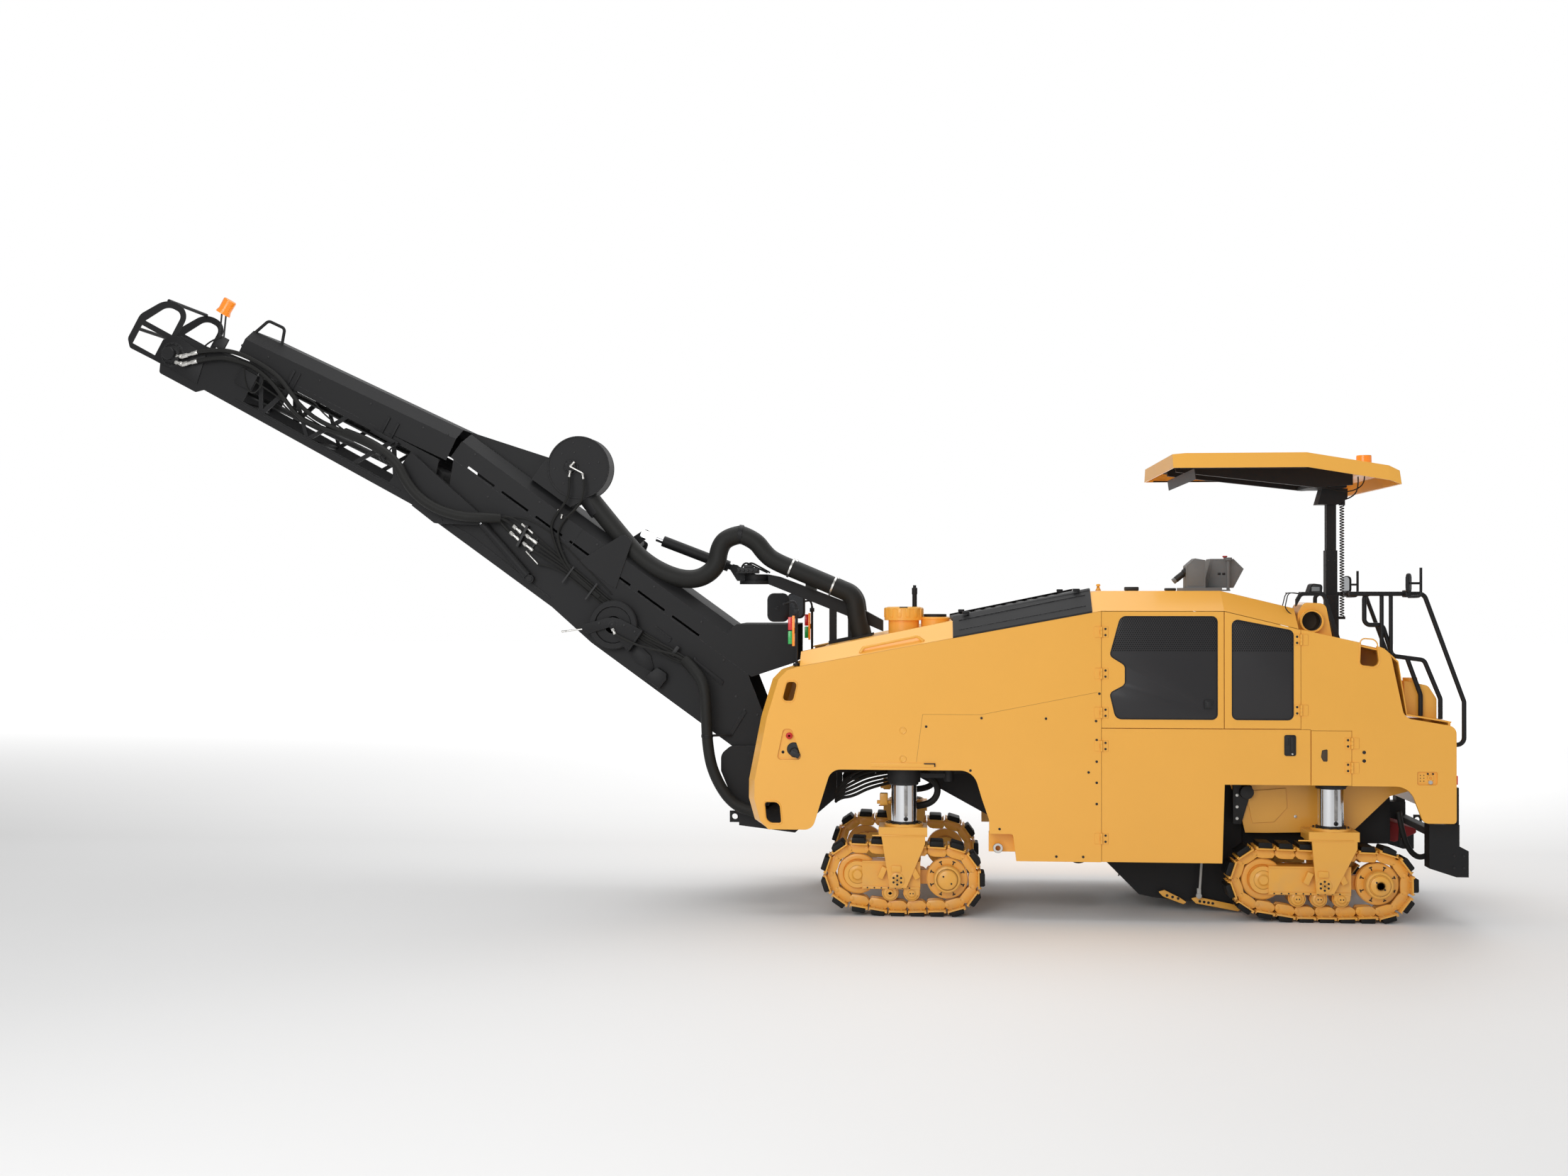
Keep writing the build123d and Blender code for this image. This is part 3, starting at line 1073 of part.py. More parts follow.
def cover_shell(frame, angle, u0, u1, low, shoulder, top):
    """Bent cover over a conveyor, open below."""
    rows = [(CONVEYOR_HALF, low), (CONVEYOR_HALF, shoulder), (COVER_SHOULDER, top)]
    outer = rows + [(-y, v) for y, v in rows[::-1]]
    inner = [(y + (COVER_T if y < 0 else -COVER_T), v - (0 if v == low else COVER_T))
             for y, v in outer]
    with BuildSketch(cross_plane(frame, angle, u0)) as section:
        with BuildLine():
            Polyline(*(outer + inner[::-1]), close=True)
        make_face()
    extrude(section.sketch, amount=u1 - u0)


with BuildPart() as lower_frame:
    for _, side in SIDES:
        side_plate(place(lower, LOWER_SIDE), *across(side, CONVEYOR_HALF - FRAME_T,
                                                     CONVEYOR_HALF))
        disc(SLEW_X, BASE_PIVOT_Z, 70, *across(side, CONVEYOR_HALF - FRAME_T,
                                               CONVEYOR_HALF + SIDE_CLEAR))
        disc(SLEW_X, BASE_PIVOT_Z, PIN_D / 2 + PIN_FIT,
             *across(side, CONVEYOR_HALF - 30, CONVEYOR_HALF + 30), mode=Mode.SUBTRACT)
        disc(*lower(*FOLD_BASE), FOLD_PIN_R, *across(side, CONVEYOR_HALF - FRAME_T,
                                                     FOLD_CYL_Y + 34))
        disc(*lower(*FOLD_BASE), FOLD_PIN_R + 14, *across(side, CONVEYOR_HALF,
                                                          FOLD_CYL_Y - 26))
        disc(*lower(LOWER_LENGTH, FOLD_PIN_V), PIN_D / 2,
             *across(side, CONVEYOR_HALF - FRAME_T, FOLD_CYL_Y + 40))
        # stay of the lift cylinder: a plate outside each cover side, a tube and one lug
        side_plate(place(lower, [(1860, 480), (2280, 480), (2090, 920, 30), (1990, 920, 30)]),
                   *across(side, CONVEYOR_HALF, CONVEYOR_HALF + FRAME_T))
    disc(*lower(*STAY), 30, -CONVEYOR_HALF - FRAME_T, CONVEYOR_HALF + FRAME_T)
    side_plate(place(lower, [(STAY[0] - 50, STAY[1]), (STAY[0] + 50, STAY[1]),
                             (LIFT_EYE_UV[0] + 38, LIFT_EYE_UV[1] + 20, 20),
                             (LIFT_EYE_UV[0] - 38, LIFT_EYE_UV[1] + 20, 20)]), -15, 15)
    disc(*LIFT_EYE, 42, -15, 15)
    for u, v in LOWER_TUBES:
        disc(*lower(u, v), 22, -CONVEYOR_HALF + FRAME_T, CONVEYOR_HALF - FRAME_T)
save(lower_frame, "lower_frame")

with BuildPart() as lower_belt:
    belt_loop(lower, TAIL, HEAD_IDLER, BELT_W / 2)
save(lower_belt, "lower_belt")

HOOD_X = (SLEW_X - 163, SLEW_X + 400)
SLOT_COUNT = 7
SLOT_PITCH = (LOWER_LENGTH - 815) / SLOT_COUNT
HOOD_Z = 2490
with BuildPart() as lower_cover:
    cover_shell(lower, LOWER_ANGLE, 790, SEAM[0] - 20, FRAME_TOP, COVER_SIDE, COVER_TOP)
    hood = [lower(800, FRAME_TOP), lower(800, COVER_TOP - 20), (HOOD_X[0] + 30, HOOD_Z),
            (HOOD_X[1], HOOD_Z), (HOOD_X[1], 2150), lower(400, FRAME_TOP)]
    for _, side in SIDES:
        side_plate(hood, *across(side, CONVEYOR_HALF - COVER_T, CONVEYOR_HALF))
    box(HOOD_X[0] + 30, HOOD_X[1], -CONVEYOR_HALF, CONVEYOR_HALF, HOOD_Z - COVER_T, HOOD_Z)
    # row of long slots under the cover's shoulder
    for index in range(SLOT_COUNT):
        u = 1000 + index * SLOT_PITCH
        for _, side in SIDES:
            side_plate(place(lower, [(u, 572), (u + SLOT_PITCH - 85, 572),
                                     (u + SLOT_PITCH - 85, 592), (u, 592)]),
                       *across(side, CONVEYOR_HALF - 10, CONVEYOR_HALF + 1),
                       mode=Mode.SUBTRACT)
    # plenum on the cover, below the fan
    u0, u1 = LOWER_LENGTH - 430, SEAM[0] - 17
    side_plate(place(lower, [(u0, COVER_TOP), (u0, 1077), (u1, 851), (u1, COVER_TOP)]), -300, 60)
save(lower_cover, "lower_cover")

FAN = (LOWER_LENGTH - 720, 1165)
FAN_R = 285
FAN_Y = (-390, -170)
with BuildPart() as dust_fan:
    disc(*lower(*FAN), FAN_R, *FAN_Y)
    u = FAN[0]
    side_plate(place(lower, [(u + 288, 1060), (u + 288, COVER_TOP), (u - 150, COVER_TOP),
                             (u - 230, 1000), (u + 10, 1200)]), *FAN_Y)
    disc(*lower(u + 57, 1131), 40, FAN_Y[0] - 40, FAN_Y[0])
    outlet = lower(u - 170, 1000)
    rod((outlet[0], -300, outlet[1]), (outlet[0] + 130, -300, outlet[1] - 170), DUCT_R + 4)
save(dust_fan, "dust_fan")

# ---------------------------------------------------------------- upper conveyor
ARM_PIN = (-290, 180)                # fold cylinder's pin on the arm
ARM_Y = (FOLD_CYL_Y - FOLD_EYE_HALF - SIDE_CLEAR - 12, FOLD_CYL_Y + FOLD_EYE_HALF + SIDE_CLEAR)
UPPER_TUBE = 80
UPPER_RAIL_V = 430
UPPER_RAIL_START, UPPER_RAIL_END = 300, 2300
UPPER_FRAME_START = 150
UPPER_HEAD = (2860, 215, 110)
UPPER_TAIL = (300, 300, 85)
BRACES = [                           # foot u, head u
    (540, 760), (1000, 760), (1480, 1240), (1480, 1840), (1980, 1840), (1980, 2180),
]
with BuildPart() as upper_frame:
    for _, side in SIDES:
        y0, y1 = across(side, CONVEYOR_HALF - 40, CONVEYOR_HALF)
        side_plate(place(upper, [(UPPER_FRAME_START, 0), (2300, 0), (2300, UPPER_TUBE),
                                 (UPPER_FRAME_START, UPPER_TUBE)]), y0, y1)
        side_plate(place(upper, [(UPPER_RAIL_START, UPPER_RAIL_V),
                                 (UPPER_RAIL_END, UPPER_RAIL_V - 40),
                                 (UPPER_RAIL_END, UPPER_RAIL_V + 10),
                                 (UPPER_RAIL_START, UPPER_RAIL_V + 50)]), y0, y1)
        for foot, head in BRACES:
            side_plate(place(upper, [(foot - 22, 60), (foot + 22, 60),
                                     (head + 22, UPPER_RAIL_V), (head - 22, UPPER_RAIL_V)]),
                       *across(side, CONVEYOR_HALF - 30, CONVEYOR_HALF - 10))
        # gusset at the fold and cheek at the head
        side_plate(place(upper, [(UPPER_FRAME_START, 0), (620, 0), (560, 470),
                                 (300, 470)]), *across(side, CONVEYOR_HALF - FRAME_T,
                                                       CONVEYOR_HALF))
        side_plate(place(upper, [(2180, 0), (2560, 0, 20), (2620, -55, 20), (3010, -60, 30),
                                 (3060, 60), (3020, 330, 40), (2180, UPPER_RAIL_V)]),
                   *across(side, CONVEYOR_HALF - FRAME_T, CONVEYOR_HALF))
        # folding arm: two plates outside the frames, around the cylinder's eye
        arm = [(40, -42, 30), (ARM_PIN[0] - 45, ARM_PIN[1] - 40, 30),
               (ARM_PIN[0] - 10, ARM_PIN[1] + 50, 30), (150, 330), (520, 420, 30),
               (560, 340, 30), (300, 60), (300, 0)]
        for reach in ARM_Y:
            side_plate(place(upper, arm), *across(side, reach, reach + 12))
            disc(*upper(0, 0), PIN_D / 2 + PIN_FIT, *across(side, reach - 1, reach + 13),
                 mode=Mode.SUBTRACT)
        for u, v in ((250, 130), (480, 370)):
            disc(*upper(u, v), 26, *across(side, CONVEYOR_HALF - FRAME_T, ARM_Y[1] + 12))
    for u, v in ((700, 40), (1500, 40), (2250, 40)):
        disc(*upper(u, v), 22, -CONVEYOR_HALF + 40, CONVEYOR_HALF - 40)
    # deflector: two arched frames with a plate between their lower rims
    rim = [(3030, 20, 60), (3030, 570, 120), (3270, 590, 200), (3440, 330, 120), (3440, 80, 60),
           (3380, 10, 40)]
    window = [(3080, 60), (3080, 250), (3380, 250), (3380, 60)]
    upper_window = [(3080, 300), (3080, 520, 60), (3240, 520, 120), (3370, 300)]
    for _, side in SIDES:
        y0, y1 = across(side, CONVEYOR_HALF - 30, CONVEYOR_HALF - 30 + FRAME_T)
        side_plate(place(upper, rim), y0, y1)
        for hole in (window, upper_window):
            side_plate(place(upper, hole), y0 - 1, y1 + 1, mode=Mode.SUBTRACT)
        side_plate(place(upper, [(2960, 90), (3100, 40), (3100, 80), (2960, 140)]),
                   *across(side, CONVEYOR_HALF - 30, CONVEYOR_HALF))
    for u, v in ((3260, 565), (3415, 200)):
        disc(*upper(u, v), 16, -CONVEYOR_HALF + 30, CONVEYOR_HALF - 30)
save(upper_frame, "upper_frame")

with BuildPart() as upper_belt:
    belt_loop(upper, UPPER_TAIL, UPPER_HEAD, BELT_W / 2)
save(upper_belt, "upper_belt")

COVER_DROOP = 3.2                    # degrees between the upper cover and its frame


def droop(u, v):
    """Point of the upper cover, which leans a little from its frame."""
    return along(upper(200, 0), UPPER_ANGLE - COVER_DROOP, u, v)


with BuildPart() as upper_cover:
    cover_shell(droop, UPPER_ANGLE - COVER_DROOP, 12, 2200, 505, 720, 820)
    # its sides stand on the frame's top rail
    side_plate(place(upper, [(0, UPPER_RAIL_V + 50), (UPPER_RAIL_START, UPPER_RAIL_V + 50),
                             (UPPER_RAIL_END, UPPER_RAIL_V + 10), (2700, UPPER_RAIL_V + 10),
                             (2700, 0), (0, 0)]),
               -CONVEYOR_HALF - 1, CONVEYOR_HALF + 1, mode=Mode.SUBTRACT)
    bent_tube([(*q[:1], -COVER_SHOULDER, q[1]) for q in
               (droop(2180, 810), droop(2110, 960), droop(1940, 960), droop(1900, 810))],
              40, 14)
save(upper_cover, "upper_cover")

with BuildPart() as conveyor_beacon:
    post = upper(2760, 330)
    top = upper(2730, 700)
    rod((post[0], -CONVEYOR_HALF - 14, post[1]), (top[0], -CONVEYOR_HALF - 14, top[1]), 12)
    rod((top[0], -CONVEYOR_HALF - 14, top[1]), (top[0], -CONVEYOR_HALF - 14, top[1] + 150), 62)
save(conveyor_beacon, "conveyor_beacon")


# ---------------------------------------------------------------- cylinders
def cylinder_plane(start, end, y):
    """Plane at a cylinder's base pin, local z along it towards the eye."""
    return Plane(origin=(start[0], y, start[1]), x_dir=(0, 1, 0),
                 z_dir=(end[0] - start[0], 0, end[1] - start[1]))


def barrel(start, end, y, radius, rod_r, length, eye_half, pin_r, neck):
    """Cylinder barrel from its neck on, with a bored base eye and a bore for its rod."""
    base = cylinder_plane(start, end, y)
    with BuildSketch(base.offset(neck)) as tube:
        Circle(radius)
    extrude(tube.sketch, amount=length - neck)
    disc(*start, pin_r + 14, y - eye_half, y + eye_half)
    with BuildSketch(base) as web:
        Rectangle(2 * eye_half, 2 * pin_r)
    extrude(web.sketch, amount=neck + 5)
    with BuildSketch(base.offset(neck + BORE_BOTTOM)) as bore:
        Circle(rod_r + PIN_FIT)
    extrude(bore.sketch, amount=length, mode=Mode.SUBTRACT)
    disc(*start, pin_r + PIN_FIT, y - eye_half - 1, y + eye_half + 1, mode=Mode.SUBTRACT)


LIFT_ROD_R = 26
LIFT_BARREL = 722
LIFT_NECK = 68                       # clear of the head's lugs
LIFT_IN = 57                         # how far the rod can go in from rest
BORE_BOTTOM = 20                     # from a barrel's neck
with BuildPart() as lift_barrel:
    barrel(LIFT_BASE, LIFT_EYE, 0, 50, LIFT_ROD_R, LIFT_BARREL, CYL_LUG[0] - SIDE_CLEAR,
           PIN_D / 2, LIFT_NECK)
save(lift_barrel, "lift_barrel")

with BuildPart() as lift_rod:
    lift_span = hypot(LIFT_EYE[0] - LIFT_BASE[0], LIFT_EYE[1] - LIFT_BASE[1])
    base = cylinder_plane(LIFT_BASE, LIFT_EYE, 0)
    inner_end = LIFT_NECK + BORE_BOTTOM + LIFT_IN
    with BuildSketch(base.offset(inner_end)) as shank:
        Circle(LIFT_ROD_R)
    extrude(shank.sketch, amount=lift_span - inner_end - 100)
    with BuildSketch(base.offset(lift_span - 110)) as bridge:
        Rectangle(76, 70)
    extrude(bridge.sketch, amount=22)
    for y in (-30, 30):
        with BuildSketch(base.offset(lift_span - 90)) as prong:
            with Locations((y, 0)):
                Rectangle(16, 70)
        extrude(prong.sketch, amount=128)
        disc(*LIFT_EYE, EYE_PIN_R, *sorted((y * 38 / 30, y * 46 / 30)))
save(lift_rod, "lift_rod")

FOLD_ROD_R = 22
FOLD_BARREL = 664
FOLD_NECK = 40
ARM_EYE = upper(*ARM_PIN)
with BuildPart() as fold_barrels:
    for _, side in SIDES:
        barrel(lower(*FOLD_BASE), ARM_EYE, side * FOLD_CYL_Y, 38, FOLD_ROD_R, FOLD_BARREL, 22,
               FOLD_PIN_R, FOLD_NECK)
save(fold_barrels, "fold_barrels")

with BuildPart() as fold_rods:
    start = lower(*FOLD_BASE)
    fold_span = hypot(ARM_EYE[0] - start[0], ARM_EYE[1] - start[1])
    for _, side in SIDES:
        base = cylinder_plane(start, ARM_EYE, side * FOLD_CYL_Y)
        with BuildSketch(base.offset(FOLD_NECK + BORE_BOTTOM + 2)) as shank:
            Circle(FOLD_ROD_R)
        extrude(shank.sketch, amount=fold_span - FOLD_NECK - BORE_BOTTOM - 2)
        disc(*ARM_EYE, 34, side * FOLD_CYL_Y - FOLD_EYE_HALF, side * FOLD_CYL_Y + FOLD_EYE_HALF)
save(fold_rods, "fold_rods")
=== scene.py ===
import json
from math import atan2, cos, hypot, pi, radians, sin, tan

import bpy
from bpy.props import FloatProperty, FloatVectorProperty, IntProperty, PointerProperty
from mathutils import Matrix, Vector


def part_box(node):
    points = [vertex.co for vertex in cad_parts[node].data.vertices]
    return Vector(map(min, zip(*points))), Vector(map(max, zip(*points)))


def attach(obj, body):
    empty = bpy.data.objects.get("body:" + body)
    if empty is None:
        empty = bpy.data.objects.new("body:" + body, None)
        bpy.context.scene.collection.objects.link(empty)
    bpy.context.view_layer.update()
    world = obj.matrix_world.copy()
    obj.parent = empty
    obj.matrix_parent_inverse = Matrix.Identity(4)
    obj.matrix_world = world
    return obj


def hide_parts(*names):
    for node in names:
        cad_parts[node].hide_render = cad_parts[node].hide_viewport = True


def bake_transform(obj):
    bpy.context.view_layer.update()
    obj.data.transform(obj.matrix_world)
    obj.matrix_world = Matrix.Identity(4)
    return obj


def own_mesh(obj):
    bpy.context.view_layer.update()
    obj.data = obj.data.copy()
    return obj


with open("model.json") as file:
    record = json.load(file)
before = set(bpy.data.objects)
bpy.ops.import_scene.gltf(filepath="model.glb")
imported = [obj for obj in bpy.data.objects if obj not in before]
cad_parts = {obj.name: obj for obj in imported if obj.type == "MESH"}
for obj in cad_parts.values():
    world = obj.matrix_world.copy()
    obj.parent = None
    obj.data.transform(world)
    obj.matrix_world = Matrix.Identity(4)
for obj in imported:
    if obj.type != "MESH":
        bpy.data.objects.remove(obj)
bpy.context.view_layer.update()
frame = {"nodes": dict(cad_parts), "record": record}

bl_info = {
    "name": "Cold planer",
    "version": (1, 0, 0),
    "blender": (4, 5, 0),
    "location": "View3D > Sidebar > Planer",
    "description": "Dresses the packed frame of a tracked cold planer",
    "category": "Object",
}

NODES = frame["nodes"]

# Row frame in metres: +X to the rear, -X to the conveyor's tip, -Y the left side.
SIDES = (("left", -1), ("right", 1))
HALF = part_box("body_roof")[1][1]                    # outer face of the side panels
PIVOT = (-3.600, 1.330)
LOWER_ANGLE, UPPER_ANGLE = 35.8, 28.5
FOLD_AT = (3.510, 0.045)
SIDE_Y = 0.440                                     # outer face of the conveyors' frames
TRACK_Y = 0.875
ENDS = {                                           # idler, sprocket, rollers, yoke pin, leg
    "front": ((-2.627, 0.350), (-1.859, 0.320), (-2.347, -2.163), -2.285, -2.230),
    "rear": ((0.792, 0.350), (1.742, 0.320), (1.073, 1.250, 1.434), 1.280, 1.368),
}
RIM, SPROCKET, ROLLER = 0.175, 0.178, 0.066
LINK_H, PLATE_H, PAD_H = 0.084, 0.012, 0.046
ROLLER_Z = LINK_H + PLATE_H + PAD_H + ROLLER - 0.012


def along(pivot, angle, u, v):
    """Point u along a conveyor from its pin and v above it, in the side view."""
    a = radians(angle)
    return pivot[0] - u * cos(a) + v * sin(a), pivot[1] + u * sin(a) + v * cos(a)


def lower(u, v):
    return along(PIVOT, LOWER_ANGLE, u, v)


def upper(u, v):
    return along(lower(*FOLD_AT), UPPER_ANGLE, u, v)


def droop(u, v):
    return along(upper(0.200, 0), UPPER_ANGLE - 3.2, u, v)


def at(point, y):
    """Side view point and a Y turned into a place."""
    return point[0], y, point[1]


# ------------------------------------------------------------------ hand tools
def rest():
    """Object mode with nothing selected."""
    active = bpy.context.view_layer.objects.active
    if active and active.mode != "OBJECT":
        bpy.ops.object.mode_set(mode="OBJECT")
    bpy.ops.object.select_all(action="DESELECT")


def only(*pieces):
    rest()
    for piece in pieces:
        piece.select_set(True)
    bpy.context.view_layer.objects.active = pieces[0]


def newest(name):
    piece = bpy.context.view_layer.objects.active
    piece.name = name
    return piece


def settle(piece, edge=0.0, segments=2):
    """Places the piece in its mesh and rounds its edges."""
    only(piece)
    bpy.ops.object.transform_apply(location=True, rotation=True, scale=True)
    if edge:
        bevel = piece.modifiers.new("rounded", "BEVEL")
        bevel.width, bevel.segments = edge, segments
        bevel.limit_method, bevel.angle_limit = "ANGLE", radians(35)
        bpy.ops.object.modifier_apply(modifier=bevel.name)
    bpy.ops.object.shade_smooth_by_angle(angle=radians(32))
    return piece


def block(name, low, high, edge=0.003):
    rest()
    bpy.ops.mesh.primitive_cube_add(
        size=1, location=[(a + b) / 2 for a, b in zip(low, high)],
        scale=[abs(b - a) for a, b in zip(low, high)])
    return settle(newest(name), edge)


def bar(name, start, end, radius, sides=20, edge=0.0, tip=None):
    """Round or many-sided bar; tip is its radius at the end if it tapers."""
    reach = Vector(end) - Vector(start)
    rest()
    bpy.ops.mesh.primitive_cone_add(
        vertices=sides, radius1=radius, radius2=radius if tip is None else tip,
        depth=reach.length, location=(Vector(start) + Vector(end)) / 2,
        rotation=reach.to_track_quat("Z", "X").to_euler())
    return settle(newest(name), edge)


def disc(name, point, radius, y0, y1, sides=32, edge=0.0):
    """Round plate whose axis runs across the machine."""
    return bar(name, at(point, y0), at(point, y1), radius, sides, edge)


def plate(name, outline, y0, y1, edge=0.002):
    """Plate with an outline of x, z rows, from y0 to y1."""
    rest()
    bpy.ops.mesh.primitive_circle_add(vertices=len(outline), fill_type="NGON")
    piece = newest(name)
    for vertex, (x, z) in zip(piece.data.vertices, outline):
        vertex.co = (x, y0, z)
    bpy.ops.object.mode_set(mode="EDIT")
    bpy.ops.mesh.select_all(action="SELECT")
    bpy.ops.mesh.extrude_region_move(TRANSFORM_OT_translate={"value": (0, y1 - y0, 0)})
    bpy.ops.mesh.select_all(action="SELECT")
    bpy.ops.mesh.normals_make_consistent(inside=False)
    return settle(piece, edge)


def turned(name, profile, start, axis, sides=40):
    """Turned piece: rows of radius and distance along the axis, spun about it."""
    rest()
    bpy.ops.mesh.primitive_circle_add(vertices=len(profile), fill_type="NOTHING")
    piece = newest(name)
    for vertex, (radius, reach) in zip(piece.data.vertices, profile):
        vertex.co = (radius, 0, reach)
    bpy.ops.object.mode_set(mode="EDIT")
    bpy.ops.mesh.select_all(action="SELECT")
    bpy.ops.mesh.spin(steps=sides, angle=2 * pi, center=(0, 0, 0), axis=(0, 0, 1))
    bpy.ops.mesh.select_all(action="SELECT")
    bpy.ops.mesh.remove_doubles(threshold=0.00005)
    bpy.ops.mesh.normals_make_consistent(inside=False)
    rest()
    piece.rotation_euler = Vector(axis).to_track_quat("Z", "X").to_euler()
    piece.location = start
    return settle(piece)


def hose(name, points, radius, sides=14, order=3):
    """Smooth round hose past a few guiding points."""
    rest()
    bpy.ops.curve.primitive_nurbs_path_add()
    piece = newest(name)
    piece.data.splines.clear()
    spline = piece.data.splines.new("NURBS")
    spline.points.add(len(points) - 1)
    for point, place in zip(spline.points, points):
        point.co = (*place, 1)
    spline.order_u, spline.use_endpoint_u = order, True
    piece.location = (0, 0, 0)
    piece.data.dimensions, piece.data.resolution_u = "3D", 6
    piece.data.bevel_depth, piece.data.bevel_resolution = radius, max(1, sides // 4 - 1)
    piece.data.use_fill_caps = True
    only(piece)
    bpy.ops.object.convert(target="MESH")
    return settle(newest(name))


def copies(master, name, places, keep=False):
    """A copy of the master at each place, each with its own mesh, joined."""
    made = []
    for place in places:
        new = master.copy()
        new.data = master.data.copy()
        new.data.transform(place)
        bpy.context.scene.collection.objects.link(new)
        made.append(new)
    if not keep:
        bpy.data.objects.remove(master)
    return joined(name, made)


def joined(name, pieces):
    only(*pieces)
    if len(pieces) > 1:
        bpy.ops.object.join()
    return newest(name)


def facing(place, axis):
    """Matrix that puts local +Z along an axis at a place."""
    return Matrix.Translation(place) @ Vector(axis).to_track_quat("Z", "X").to_matrix().to_4x4()


def bolts(name, places, axis, size, sides=6):
    """Screw heads with a washer under each, all facing one way."""
    washer = bar(name + "_washer", (0, 0, -size * 0.1), (0, 0, size * 0.22), size * 1.15, 14)
    head = bar(name + "_head", (0, 0, size * 0.1), (0, 0, size * 0.75), size * 0.85, sides,
               size * 0.1)
    return copies(joined(name, [washer, head]), name,
                  [facing(place, axis) for place in places])


def rounded(rows, steps=5):
    """Outline with round corners; a row is x, z and a radius where its corner is round."""
    line = []
    for index, row in enumerate(rows):
        corner = Vector(row[:2])
        if len(row) == 2:
            line.append(tuple(corner))
            continue
        before = (Vector(rows[index - 1][:2]) - corner).normalized()
        after = (Vector(rows[(index + 1) % len(rows)][:2]) - corner).normalized()
        half = before.angle(after) / 2
        centre = corner + (before + after).normalized() * row[2] / sin(half)
        start = (corner + before * row[2] / tan(half) - centre).normalized()
        end = (corner + after * row[2] / tan(half) - centre).normalized()
        for step in range(steps + 1):
            line.append(tuple(centre + start.slerp(end, step / steps) * row[2]))
    return line


def oblong(x, z, width, height, radius):
    """Rounded rectangle about a centre."""
    w, h = width / 2, height / 2
    return rounded([(x + a * w, z + b * h, radius)
                    for a, b in ((-1, -1), (1, -1), (1, 1), (-1, 1))])


def strip(name, points, width, y0, y1):
    """Flat strip along a broken line in the side view."""
    pieces = []
    for (x0, z0), (x1, z1) in zip(points, points[1:]):
        across = Vector((z0 - z1, x1 - x0)).normalized() * width / 2
        pieces.append(plate(name, [(x0 - across.x, z0 - across.y), (x1 - across.x, z1 - across.y),
                                   (x1 + across.x, z1 + across.y), (x0 + across.x, z0 + across.y)],
                            y0, y1, 0.0))
    return joined(name, pieces)


def bead(name, outline, y, radius):
    """Round bead along a closed outline in the side view."""
    rest()
    bpy.ops.curve.primitive_nurbs_path_add()
    piece = newest(name)
    piece.data.splines.clear()
    spline = piece.data.splines.new("POLY")
    spline.points.add(len(outline) - 1)
    for point, (x, z) in zip(spline.points, outline):
        point.co = (x, y, z, 1)
    spline.use_cyclic_u = True
    piece.location = (0, 0, 0)
    piece.data.dimensions = "3D"
    piece.data.bevel_depth, piece.data.bevel_resolution = radius, 2
    only(piece)
    bpy.ops.object.convert(target="MESH")
    return settle(newest(name))


def dress(piece, body, finish):
    """Gives a new piece its body and finish."""
    piece.data.materials.clear()
    piece.data.materials.append(FINISHES[finish])
    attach(piece, body)
    return piece


# ------------------------------------------------------------------ finishes
class Value:
    """A shader value. Arithmetic on it adds Math nodes."""

    def __init__(self, finish, socket):
        self.finish, self.socket = finish, socket

    def __add__(self, other):
        return self.finish.maths("ADD", self, other)

    __radd__ = __add__

    def __sub__(self, other):
        return self.finish.maths("SUBTRACT", self, other)

    def __rsub__(self, other):
        return self.finish.maths("SUBTRACT", other, self)

    def __mul__(self, other):
        return self.finish.maths("MULTIPLY", self, other)

    __rmul__ = __mul__

    def __truediv__(self, other):
        return self.finish.maths("DIVIDE", self, other)

    def __gt__(self, other):
        return self.finish.maths("GREATER_THAN", self, other)

    def __lt__(self, other):
        return self.finish.maths("LESS_THAN", self, other)

    def clamped(self):
        return self.finish.node("ShaderNodeClamp", {}, {"Value": self})


